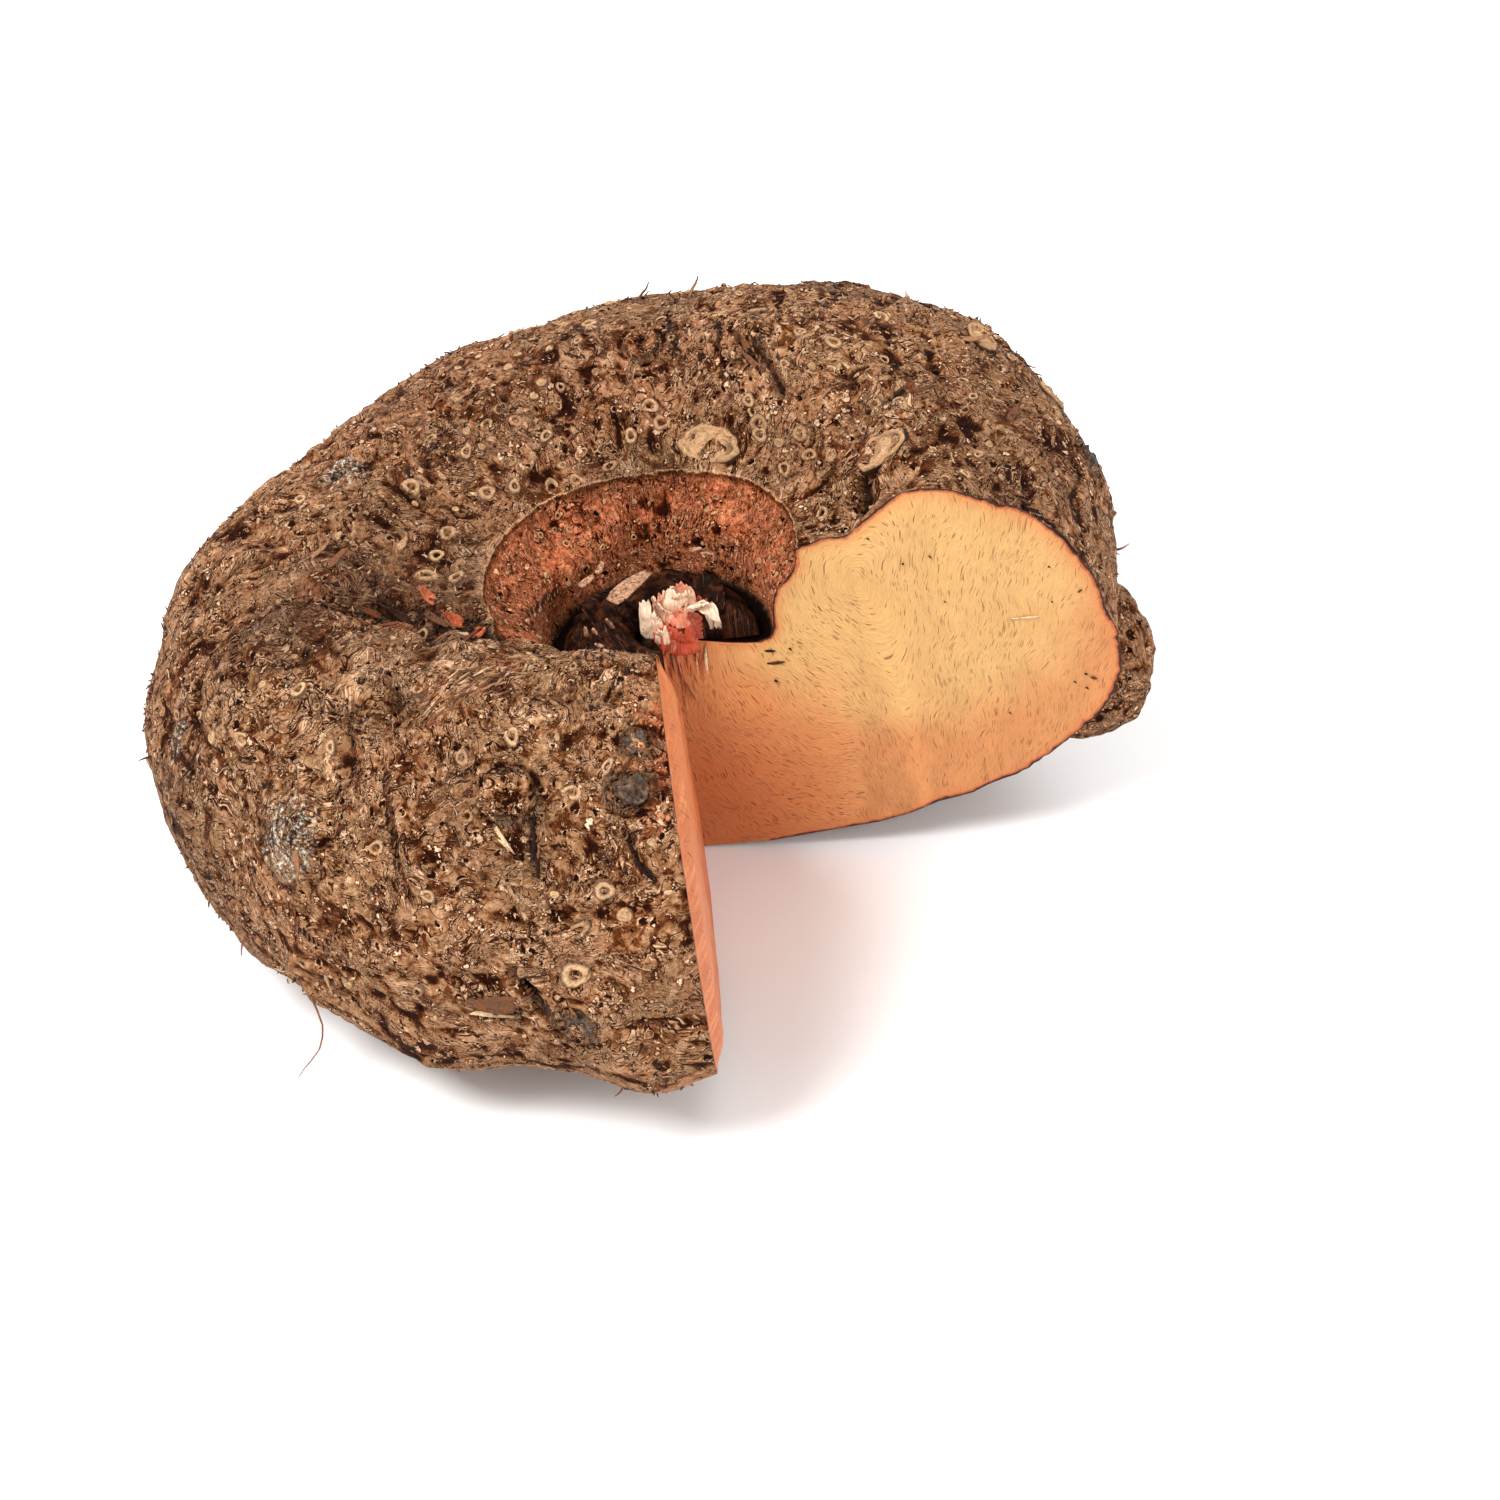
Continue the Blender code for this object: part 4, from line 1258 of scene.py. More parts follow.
@dataclass(frozen=True)
class BudFinish:
    """The shoot bud: red-orange where it is cut, and pink to white on its torn wraps."""

    root: Triple = (188, 70, 34)
    blush: Triple = (222, 128, 96)
    cream: Triple = (248, 216, 184)
    fibre: Triple = (150, 44, 26)
    spot: Triple = (120, 34, 22)

    def make(self) -> Material:
        """Build the material.

        Returns:
            The material.
        """
        material, graph, shader = new_material("shoot_bud")
        where, flow = graph.millimetres(), graph.vector(graph.attribute("flow_a"), graph.attribute("flow_b"))
        fibre = graph.group("fibres", {"Vector": flow, "Length": 3.0, "Width": 0.45})[0]
        blotch = graph.times(graph.minus(graph.noise(where, 0.42, 4.0, 0.65), 0.5), 0.9)
        mixed = graph.plus(graph.attribute("shade"), blotch, True)
        spots = {"Vector": where, "Cells": 0.6, "Share": 0.3, "Size": 0.3, "Raggedness": 2.0}
        colour = graph.paint(
            graph.mix(graph.ramp(mixed, 0.05, 0.5), self.root, self.blush),
            (graph.ramp(mixed, 0.45, 0.85), self.cream),
            (graph.ramp(fibre, 0.52, 0.68, 0.45), self.fibre),
            (graph.group("flecks", spots)["Mask"], self.spot),
        )
        graph.dress(shader, colour, 0.45, 0.5, graph.times(fibre, 0.6))
        let_light_in(graph, shader, (1.0, 0.35, 0.2))
        return material


@dataclass(frozen=True)
class WartFinish:
    """Rough dark warts: some dark, smooth and faintly glossy, some with a paler crust."""

    dark: Triple = (36, 16, 7)
    brown: Triple = (122, 80, 52)
    slate: Triple = (52, 32, 20)
    hollow: Triple = (26, 14, 8)
    crust: Triple = (190, 170, 144)

    def make(self) -> Material:
        """Build the material.

        Returns:
            The material.
        """
        material, graph, shader = new_material("wart")
        where, gloss = graph.millimetres(), graph.attribute("gloss")
        grain = graph.noise(where, 0.8, 5.0, 0.7)
        shade = graph.span(grain, 0.3, 0.7, 0.4, 1.6)
        colour = graph.paint(
            graph.mix(graph.ramp(graph.noise(where, 0.28, 4.0, 0.65, 0.6), 0.4, 0.66), self.dark, self.brown),
            (graph.times(gloss, 0.45), self.slate),
            # Painted shade in the knobs' low spots.
            (graph.ramp(graph.attribute("low"), -0.1, -0.7, 0.75), self.hollow),
        )
        crust = graph.times(graph.attribute("shade"), graph.ramp(graph.noise(where, 0.5, 5.0, 0.72), 0.42, 0.62))
        crusty = graph.scaled(plain_colour(graph, self.crust), shade)
        colour = graph.mix(crust, graph.scaled(colour, shade), crusty)
        rough = graph.minus(0.75, graph.times(gloss, 0.42))
        shine = graph.plus(0.2, graph.times(gloss, 0.2))
        graph.dress(shader, colour, rough, shine, graph.plus(grain, graph.times(crust, 0.8)))
        return material


@dataclass
class SkinGrid:
    """The fine grid of the whole skin, from which everything on it takes its place."""

    form: TuberForm
    relief: Relief
    stance: Stance
    photo: PhotoCamera
    knobs: tuple[Knob, ...]
    columns: int = 400
    rows_in_span: tuple[int, ...] = (3, 3, 12, 16, 19, 19, 18, 18, 17, 17, 17, 14, 13, 11, 5, 3, 2)
    mean_radius: float = 95.0
    creases: tuple[Crease, ...] = (
        Crease(((389, 813), (395, 853), (413, 900)), 0.9, 1.4, 0.8),
        Crease(((531, 812), (534, 845), (535, 878)), 0.85, 1.6, 1.0),
        Crease(((624, 829), (638, 860), (654, 883)), 0.8, 1.4, 0.8),
        Crease(((262, 845), (278, 880)), 0.9, 1.8, 1.0),
        Crease(((515, 975), (530, 995), (545, 1014)), 1.6, 2.6, 1.0),
        Crease(((480, 1016), (510, 1019), (530, 1020)), 1.0, 1.2, 0.6),
        Crease(((294, 966), (312, 976), (330, 982)), 1.1, 1.2, 0.7),
        Crease(((208, 610), (216, 586), (236, 566), (262, 558)), 1.2, 1.2, 0.8),
        Crease(((286, 632), (296, 612), (306, 598)), 1.3, 1.6, 0.9),
        Crease(((362, 614), (376, 592), (372, 574), (354, 566)), 1.4, 1.6, 1.0),
        Crease(((376, 592), (398, 604), (440, 612), (482, 615)), 1.5, 2.0, 1.0),
        Crease(((862, 508), (866, 492), (862, 480)), 1.9, 3.0, 1.0),
        Crease(((870, 476), (878, 460), (884, 440)), 1.4, 2.0, 0.8),
        Crease(((780, 392), (772, 372), (760, 352)), 1.3, 1.8, 0.9),
        Crease(((878, 402), (888, 398), (902, 394)), 1.0, 1.4, 0.8),
        Crease(((672, 306), (678, 296), (686, 290)), 1.3, 2.2, 1.0),
        Crease(((596, 322), (603, 340), (606, 356)), 0.9, 1.2, 0.7),
        Crease(((1036, 528), (1054, 545), (1076, 560)), 1.2, 1.6, 0.8),
        Crease(((366, 604), (400, 622), (440, 638), (484, 650)), 3.0, 5.0, 1.0),
        Crease(((394, 684), (402, 704)), 0.8, 9.0, 0.42),
        Crease(((300, 700), (340, 716), (384, 716), (420, 700)), 3.2, 1.6, 0.35),
        Crease(((430, 650), (400, 640), (352, 612), (300, 590)), 4.0, 2.2, 0.45),
        Crease(((500, 690), (560, 700), (620, 692)), 2.4, 1.0, 0.25),
        Crease(((340, 716), (352, 760), (350, 800)), 2.6, 1.0, 0.2),
        Crease(((440, 908), (488, 903), (580, 899), (672, 892)), 1.0, -0.6, 0.0),
        Crease(((430, 690), (450, 668), (500, 664), (560, 672)), 1.4, -1.2, 0.0),
        Crease(((420, 712), (450, 696), (484, 688)), 1.2, -1.0, 0.0),
    )
    holes: tuple[Triple, ...] = (
        (432, 391, 1.5), (460, 378, 1.3), (386, 419, 2.0), (505, 398, 1.1), (588, 378, 1.0), (610, 300, 1.1),
    )

    def __post_init__(self) -> None:
        """Work out the grid."""
        self.azimuth = np.linspace(CUT_RIGHT, CUT_LEFT, self.columns)
        spans = [np.linspace(i, i + 1, n, endpoint=False) for i, n in enumerate(self.rows_in_span)]
        self.rows = np.concatenate(spans)[1:]
        azimuth, rows = self.azimuth[:, None], self.rows[None, :]
        self.shape = (len(self.azimuth), len(self.rows))
        smooth = self.form.meridian(azimuth, rows)
        normals = self.form.normals(azimuth, rows)
        base = self.form.turned(azimuth, smooth)
        full_rows = np.broadcast_to(rows, self.shape)
        coarse = self.relief.coarse(base, full_rows)
        self.near_furrow, self.furrow = self.relief.main_furrow(base)
        self.guide = self.form.turned(azimuth, smooth + coarse[..., None] * normals)
        self.guide_tree = self.tree_of(self.stance.place(self.guide))
        self.values: dict[str, Array] = {}
        fine = self.fine_height(self.guide, azimuth, full_rows)
        fine += self.marks_height(self.guide, full_rows)
        self.points = self.form.turned(azimuth, smooth + (coarse + fine)[..., None] * normals)
        self.normal = self.grid_normals(self.guide)
        around = np.stack([-np.sin(np.radians(azimuth)), np.cos(np.radians(azimuth)), 0 * azimuth], -1)
        around = np.broadcast_to(around, self.points.shape)
        self.around = unit(around - (around * self.normal).sum(-1, keepdims=True) * self.normal)

    def fine_height(self, points: Array, azimuth: Array, rows: Array) -> Array:
        """Give the folds, small lumps, grain and pits of the skin, note where they lie low, and set the skin's
        values, among them the painted shade of the crater floor and the furrow.

        Args:
            points: Points of the coarse skin.
            azimuth: Their azimuths.
            rows: Their rows.

        Returns:
            The height to add at each point.
        """
        steps = np.diff(self.form.meridian(np.array(90.0), np.arange(BASE_ROW + 1.0)), axis=0)
        lengths = np.concatenate([[0], np.cumsum(np.linalg.norm(steps, axis=-1))])
        along = np.broadcast_to(np.radians(azimuth) * self.mean_radius, rows.shape)
        down = np.interp(rows, np.arange(BASE_ROW + 1), lengths)
        push = [8.0 * noise(points / 16, seed) for seed in (21, 22)]
        flat = np.stack([along + push[0], down + push[1], 0 * along], -1)
        round_folds = ridges(flat / (13.0, 3.8, 1.0), 31)
        down_folds = ridges(flat / (3.6, 14.0, 1.0), 32)
        share = ease(-0.2, 0.2, noise(points / 42, 33))
        folds = share * round_folds + (1 - share) * down_folds
        belly = ease(8.6, 10.2, rows) * ease(14.6, 13.2, rows)
        wrinkles = ridges(flat / (30.0, 3.2, 1.0), 39)
        folds = folds * (1 - 0.6 * belly) + 0.9 * belly * wrinkles
        lumps = noise(points / 6.2, 34)
        grain = noise(points / 2.6, 35)
        pits = ease(0.4, 0.75, noise(points / 3.0, 36))
        creases = ease(0.07, 0.0, np.abs(noise(flat / (16.0, 7.0, 1.0), 37)))
        rough = 0.8 + 0.5 * noise(points / 33, 38)
        wall = ease(2.0, 2.3, rows) * ease(4.05, 3.9, rows)
        skin = ease(2.4, 3.0, rows) * ease(BASE_ROW, BASE_ROW - 2, rows) * (1 - 0.6 * wall)
        shape = (0.5 * folds + 0.95 * lumps + 0.45 * grain) * (1 - 0.35 * belly) - 0.7 * pits - 0.4 * creases
        low = 0.35 * folds + 0.15 * lumps + 0.5 * grain - 0.7 * pits - 0.6 * creases
        self.values["low"] = np.clip(low * (1 - 0.4 * wall), -1, 1)
        self.values["wall"] = wall
        crown = ease(3.9, 4.6, rows) * ease(9.5, 6.0, rows)
        left = np.clip(np.cos(np.radians(azimuth - 128)), 0, 1)
        self.values["warm"] = np.clip(0.5 * crown * left + 0.25 * wall, 0, 1)
        front = np.clip(np.cos(np.radians(azimuth - 240)), 0, 1)
        self.values["pale"] = ease(10.2, 13.0, rows) * (0.35 + 0.65 * front)
        # The dark value is painted shade: deep on the crater floor at the wall's foot and in the main furrow's
        # hollow, lighter across the valley round the furrow; random broad patches darken it too.
        pit = ease(2.35, 2.1, rows)
        torn = 2.5 * noise(points / 4.2, 40)
        furrow = ease(10.5, 6.5, self.near_furrow + torn)
        furrow = np.maximum(furrow, ease(6.5, 3.0, self.furrow + torn))
        valley = 0.46 * near(self.furrow, 28.0) * (1 - wall) * ease(RING_ROW - 0.1, RING_ROW + 0.3, rows)
        valley += 0.24 * ease(-0.05, 0.5, noise(points / 30, 42))
        self.values["dark"] = np.clip(np.maximum(pit + 0.9 * furrow, valley), 0, 1)
        near_cut = near(azimuth - 274, 5.5) * ease(6.2, 6.8, rows) * ease(9.2, 8.2, rows)
        halo = near(self.furrow - 10.0, 4.0)
        near_cut = near_cut * ease(-0.35, 0.3, noise(points / 3.1, 41))
        self.values["rust"] = np.clip(0.85 * near_cut + 0.35 * halo * (1 - furrow), 0, 1)
        self.values["lip"] = np.clip(np.interp(rows, np.arange(BASE_ROW + 1), lengths) - lengths[RING_ROW], -6, 6)
        self.values["run"] = along
        self.values["fall"] = down
        return skin * rough * shape

    def marks_height(self, points: Array, rows: Array) -> Array:
        """Give the height of the narrow creases, holes and collars that the photograph shows, and paint their shade
        and highlights through the skin's dark and low values.

        Args:
            points: Points of the coarse skin.
            rows: Their rows.

        Returns:
            The height to add at each point.
        """
        height = np.zeros(points.shape[:-1])
        tree = self.guide_tree
        dark, low = self.values["dark"], self.values["low"]
        for crease in self.creases:
            hits = [self.hit(tree, pixel) for pixel in crease.pixels]
            hits = [self.stance.unplace(hit[0]) for hit in hits if hit is not None]
            away = np.full(points.shape[:-1], 1e3)
            for start, end in zip(hits, hits[1:]):
                away = np.minimum(away, Relief.distance(points, start, end))
            fold = near(away, crease.width)
            height -= crease.depth * fold
            # Painted shade in the fold; the banks, or a ridge's crest, raise the low value for a painted highlight.
            dark = np.maximum(dark, crease.dark * fold)
            banks = near(away - 2.2 * crease.width, crease.width)
            height += 0.3 * abs(crease.depth) * banks
            low = np.clip(low + (0.6 * banks if crease.depth > 0 else fold), -1, 1)
        for across, down, radius in self.holes:
            hit = self.hit(tree, (across, down))
            if hit is None:
                continue
            away = np.linalg.norm(points - self.stance.unplace(hit[0]), axis=-1)
            hole = np.exp(-((away / radius) ** 4))
            height -= 2.5 * hole
            # Painted shade in the hole.
            dark = np.maximum(dark, hole)
        grit = np.zeros(points.shape[:-1])
        for number, knob in enumerate(self.knobs):
            middle = self.form.point(knob.azimuth, knob.row)
            if knob.kind is GRITTY:
                off = points - middle
                off[..., 2] *= 0.75
                share = np.linalg.norm(off, axis=-1) / knob.radius
                share = share + 0.22 * noise(points / 5.0, 160 + number)
                height += 0.4 * knob.radius * np.exp(-1.2 * share**2)
                height -= knob.hollow * knob.radius * near(share, 0.4)
                grit = np.maximum(grit, ease(1.15, 0.65, share))
                # Painted shade in the knob's hollow, and a painted shadow in a crescent round one side of its foot.
                dark = np.maximum(dark, min(1.0, 1.6 * knob.hollow) * near(share, 0.3))
                beside = off @ np.array([0.8, 0.2, 0.4]) / knob.radius
                dark = np.maximum(dark, 0.9 * near(share - 1.1, 0.1) * ease(0.2, 0.8, -beside))
                continue
            wander = 1.6 * noise(points / 6.0, 140 + number)
            away = np.linalg.norm(points - middle, axis=-1) - knob.radius + wander
            collar = 0.8 * near(away, 6.0) * np.cos(2 * pi * away / 3.2)
            height += collar
            # The collar's ridges raise the low value for painted highlights, and a ring at the knob's foot is painted
            # dark as shade.
            low = np.clip(low + collar, -1, 1)
            dark = np.maximum(dark, 0.85 * near(away, 1.1))
        # The ring's lip raises the low value for a painted highlight along it.
        lip = near(rows - RING_ROW, 0.1)
        self.values["low"] = np.clip(low + 0.6 * lip, -1, 1)
        height -= 1.6 * ease(RING_ROW + 0.02, RING_ROW - 0.16, rows) * ease(2.9, 3.5, rows)
        self.values["dark"] = dark
        self.values["grit"] = grit
        return height

    def grid_normals(self, points: Array) -> Array:
        """Give the outward normals of a grid of points."""
        return unit(np.cross(np.gradient(points, axis=1), np.gradient(points, axis=0)))

    def tree_of(self, placed: Array) -> BVHTree:
        """Make a search tree of the grid, to shine rays at it.

        Args:
            placed: The grid's points in metres.

        Returns:
            The tree.
        """
        columns, rows = placed.shape[:2]
        number = np.arange(columns * rows).reshape(columns, rows)
        corners = (number[:-1, :-1], number[1:, :-1], number[1:, 1:], number[:-1, 1:])
        faces = np.stack(corners, -1).reshape(-1, 4)
        return BVHTree.FromPolygons(placed.reshape(-1, 3).tolist(), faces.tolist())

    def hit(self, tree: BVHTree, pixel: Pair) -> tuple[Vector, Vector] | None:
        """Give the point and normal where a pixel's ray meets the skin, or None."""
        found = tree.ray_cast(self.photo.position(self.stance), self.photo.ray(pixel))
        return None if found[0] is None else (found[0], found[1])

    def nearest(self, pixel: Pair) -> tuple[int, int] | None:
        """Give the column and row number of the grid point that a pixel shows.

        Args:
            pixel: Across and down in the photograph.

        Returns:
            The numbers, or None where the pixel shows no skin.
        """
        found = self.hit(self.guide_tree, pixel)
        if found is None:
            return None
        away = np.linalg.norm(self.guide - self.stance.unplace(found[0]), axis=-1)
        return tuple(int(i) for i in np.unravel_index(away.argmin(), away.shape))

    def at(self, azimuth: float, row: float) -> tuple[int, int]:
        """Give the column and row number of the grid point at an azimuth and row."""
        return int(np.abs(self.azimuth - azimuth).argmin()), int(np.abs(self.rows - row).argmin())

    def turn_at(self, i: int, j: int, spin: float = 0.0) -> Array:
        """Give the way round, the way up and the way out at a grid point, as three rows.

        Args:
            i: The column.
            j: The row number.
            spin: A turn about the way out, in radians.

        Returns:
            A 3 by 3 array, so that local points times it point the right way.
        """
        out, around = self.normal[i, j], self.around[i, j]
        up = np.cross(out, around)
        first = around * cos(spin) + up * sin(spin)
        return np.stack([first, np.cross(out, first), out])

    def values_at(self, i: int, j: int) -> dict[str, float]:
        """Give the skin's values at a grid point."""
        return {name: float(value[i, j]) for name, value in self.values.items()}

    def scatter(
        self, weight: Array, count: int, spacing: float, seed: int, taken: Sequence[tuple[Array, float]] = ()
    ) -> list[tuple[int, int]]:
        """Pick grid points at random, none near another.

        Args:
            weight: How likely each grid point is, per area.
            count: How many to pick at most.
            spacing: The least distance between two, in millimetres.
            seed: The random draw.
            taken: Points and radii in which none is picked.

        Returns:
            Columns and row numbers.
        """
        draw = np.random.default_rng(seed)
        step_a, step_r = np.gradient(self.guide, axis=0), np.gradient(self.guide, axis=1)
        area = np.linalg.norm(np.cross(step_a, step_r), axis=-1)
        chance = np.maximum(weight, 0) * area
        picks = draw.choice(chance.size, size=count * 6, p=(chance / chance.sum()).ravel())
        kept, places = [], np.zeros((0, 3))
        for pick in picks:
            i, j = np.unravel_index(pick, self.shape)
            place = self.guide[i, j]
            if len(places) and np.linalg.norm(places - place, axis=1).min() < spacing:
                continue
            if any(np.linalg.norm(place - middle) < room for middle, room in taken):
                continue
            kept.append((int(i), int(j)))
            places = np.vstack([places, place])
            if len(kept) == count:
                break
        return kept

    def away_from_cut(self) -> Array:
        """Give each grid point's distance from the nearer cut plane, in millimetres.

        Returns:
            The distances.
        """
        turn = np.minimum(self.azimuth - CUT_RIGHT, CUT_LEFT - self.azimuth)[:, None]
        radius = np.linalg.norm(self.guide[..., :2], axis=-1)
        return radius * np.sin(np.radians(np.minimum(turn, 90)))

    def place_on(self, i: int, j: int, points: Array, spin: float = 0.0) -> Array:
        """Put local points on the skin at a grid point.

        Args:
            i: The column.
            j: The row number.
            points: Points whose third way stands out of the skin.
            spin: A turn about the way out, in radians.

        Returns:
            The points in the tuber's own frame.
        """
        return self.points[i, j] + points @ self.turn_at(i, j, spin)

    def pixel_spin(self, at: tuple[int, int], angle_deg: float) -> float:
        """Give the turn that makes a shape at a grid point run at an angle in the picture.

        Args:
            at: The grid point.
            angle_deg: 0 runs to the picture's right, 90 to its top.

        Returns:
            The turn in radians.
        """
        right, up, _ = self.photo.axes()
        way = right * cos(radians(angle_deg)) + up * sin(radians(angle_deg))
        way = self.stance.unturn(way)
        frame_at = self.turn_at(*at)
        return atan2(way @ frame_at[1], way @ frame_at[0])


@dataclass
class TuberBody:
    """The tuber itself: one closed mesh of skin and cut flesh."""

    grid: SkinGrid
    stance: Stance
    axis_steps: int = 16
    face_middle: Pair = (60.0, 48.0)
    ring_shares: tuple[float, ...] = (
        0.008, 0.016, 0.026, 0.04, 0.06, 0.085, 0.12, 0.17, 0.23, 0.3, 0.38, 0.46, 0.55, 0.64, 0.73, 0.82, 0.91,
    )
    waviness: float = 0.3
    bulge: float = 2.6

    def face_values(self, radius: Array, height: Array, edge: Array) -> dict[str, Array]:
        """Give the values that colour the cut flesh: where a point lies, and how far from the skin."""
        return {"reach": radius, "level": height, "edge": edge}

    def cut_face(self, batch: Batch, numbers: Array, rim: Array, skin_count: int, side: float) -> None:
        """Add one cut face inside its rim.

        Args:
            batch: The mesh so far.
            numbers: The rim's point numbers, from the crater down the skin and back up the axis.
            rim: The rim's radius and height.
            skin_count: How many of them lie on the skin.
            side: The face's azimuth.
        """
        middle = np.array(self.face_middle)
        angle = radians(side)
        outward = np.array([sin(angle), -cos(angle), 0.0]) * (1 if side == CUT_RIGHT else -1)
        rings = [middle + (rim - middle) * (1 - share) for share in self.ring_shares]
        flat = np.concatenate([*rings, middle[None]])
        skin = rim[:skin_count]
        edge = np.sqrt(((flat[:, None] - skin[None]) ** 2).sum(-1).min(1))
        points = np.stack([flat[:, 0] * cos(angle), flat[:, 0] * sin(angle), flat[:, 1]], -1)
        axis_room = ease(0.0, 6.0, flat[:, 0]) * ease(0.0, 5.0, edge)
        wave = noise(points / 13.0, 51) + 0.4 * noise(points / 4.0, 52)
        push = self.waviness * axis_room * wave
        if side == CUT_LEFT:
            push += self.bulge * ease(0.0, 8.0, edge) * ease(0.0, 14.0, flat[:, 0])
        points = points + outward * push[:, None]
        start = batch.count
        count = len(rim)
        faces = []
        loops = [numbers] + [start + ring * count + np.arange(count) for ring in range(len(rings))]
        for outer, inner in zip(loops, loops[1:]):
            for i in range(count):
                j = (i + 1) % count
                quad = (outer[i], outer[j], inner[j], inner[i])
                faces.append(quad if side == CUT_LEFT else quad[::-1])
        centre = start + len(flat) - 1
        for i in range(count):
            j = (i + 1) % count
            face = (loops[-1][i], loops[-1][j], centre)
            faces.append(face if side == CUT_LEFT else face[::-1])
        shifted = [[int(i) - start for i in face] for face in faces]
        values = self.face_values(flat[:, 0], flat[:, 1], edge)
        batch.add(points, shifted, kind=1, warm=1.0 if side == CUT_LEFT else 0.0, **values)

    def build(self, skin: Material, flesh: Material) -> Thing:
        """Build the tuber.

        Args:
            skin: The corky skin.
            flesh: The cut flesh.

        Returns:
            The object, which stands for the solid of the tuber.
        """
        grid = self.grid
        columns, rows = grid.shape
        batch = Batch(*SKIN_VALUES, "run", "fall", "reach", "level", "edge")
        number = np.arange(columns * rows).reshape(columns, rows)
        corners = (number[:-1, :-1], number[:-1, 1:], number[1:, 1:], number[1:, :-1])
        faces = [tuple(face) for face in np.stack(corners, -1).reshape(-1, 4)]
        values = {name: value.reshape(-1) for name, value in grid.values.items()}
        flat = grid.points.reshape(-1, 3)
        values |= {"reach": np.hypot(flat[:, 0], flat[:, 1]), "level": flat[:, 2]}
        batch.add(flat, faces, **values)
        top, bottom = batch.count, batch.count + 1
        heights = np.linspace(grid.form.floor_height, 0, self.axis_steps + 1)
        axis_points = np.stack([0 * heights, 0 * heights, heights], -1)
        ends = [0, self.axis_steps]
        order = ends + [i for i in range(self.axis_steps + 1) if i not in ends]
        caps = []
        for column in range(columns - 1):
            caps.append((top, number[column, 0], number[column + 1, 0]))
            caps.append((bottom, number[column + 1, -1], number[column, -1]))
        shifted = [[int(i) - top for i in face] for face in caps]
        on_axis = self.face_values(0 * heights, heights, np.minimum(grid.form.floor_height - heights, heights))
        batch.add(axis_points[order], shifted, **{name: value[order] for name, value in on_axis.items()})
        axis = np.array([bottom] + [top + 1 + i for i in range(self.axis_steps - 1, 0, -1)] + [top])
        for column, side in ((0, CUT_RIGHT), (columns - 1, CUT_LEFT)):
            numbers = np.concatenate([number[column], axis])
            place = grid.points[column]
            radius = np.hypot(place[:, 0], place[:, 1])
            rim = np.stack([radius, place[:, 2]], -1)
            spine = np.stack([0 * heights, heights[::-1]], -1)
            self.cut_face(batch, numbers, np.concatenate([rim, spine]), rows, side)
        return batch.make("corm_body", self.stance, [skin, flesh])


def clear_of_cut(points: Array, margin: float) -> Array:
    """Move points that lie in the cut-out wedge back behind its nearer face.

    Args:
        points: Points in the tuber's own frame.
        margin: How far behind the face they end up.

    Returns:
        The points, none of them in the wedge.
    """
    right, left = radians(CUT_RIGHT), radians(CUT_LEFT)
    ways = np.array([[-sin(right), cos(right), 0], [sin(left), -cos(left), 0]])
    depth = points @ ways.T
    missing = margin - depth
    inside = (missing > 0).all(-1)
    nearer = np.argmin(missing, -1)
    push = np.take_along_axis(missing, nearer[..., None], -1) * ways[nearer]
    return points + np.where(inside[..., None], push, 0.0)


def ring_faces(rings: int, sides: int) -> Faces:
    """Give the faces between rings of points, from the first ring to the last.

    Args:
        rings: How many rings there are.
        sides: How many points each ring has.

    Returns:
        The faces.
    """
    steps = [(i, (i + 1) % sides) for i in range(sides)]
    starts = [(ring * sides, (ring + 1) * sides) for ring in range(rings - 1)]
    return [(low + i, low + j, high + j, high + i) for low, high in starts for i, j in steps]


def closed_sheet(front: Array, back: Array, first: int = 0) -> tuple[Array, Faces]:
    """Join the two sides of a thin sheet, each a grid of points, into one closed shape.

    Args:
        front: The points of the front.
        back: The points of the back.
        first: The corner at which each face starts.

    Returns:
        Points and faces.
    """
    rows, columns = front.shape[:2]
    count = rows * columns
    number = np.arange(count).reshape(rows, columns)
    faces = []
    for i in range(rows - 1):
        for j in range(columns - 1):
            quad = (number[i, j], number[i + 1, j], number[i + 1, j + 1], number[i, j + 1])
            quad = quad[first:] + quad[:first]
            faces += [quad, tuple(count + k for k in quad[::-1])]
    rim = [*number[0, :], *number[1:, -1], *number[-1, -2::-1], *number[-2:0:-1, 0]]
    faces += [(a, b, count + b, count + a) for a, b in zip(rim, rim[1:] + rim[:1])]
    return np.concatenate([front.reshape(-1, 3), back.reshape(-1, 3)]), faces


def turned_rings(radii_heights: Sequence[Pair], sides: int) -> tuple[Array, Faces, Array]:
    """Make a small turned shape with an open foot, as rings of points from its root to its middle.

    Args:
        radii_heights: Radius and height of each ring; the last is its middle, with a radius of 0.
        sides: The number of sides.

    Returns:
        Points, faces, and the number of the ring that each point belongs to.
    """
    turn = 2 * pi * np.arange(sides) / sides
    rings = [
        np.stack([radius * np.cos(turn), radius * np.sin(turn), 0 * turn + height], -1)
        for radius, height in radii_heights[:-1]
    ]
    points = np.concatenate([*rings, [[0, 0, radii_heights[-1][1]]]])
    faces = ring_faces(len(rings), sides)
    last, tip = (len(rings) - 1) * sides, len(points) - 1
    faces += [(last + i, last + (i + 1) % sides, tip) for i in range(sides)]
    level = np.append(np.repeat(np.arange(len(rings)), sides), len(rings))
    return points, faces, level


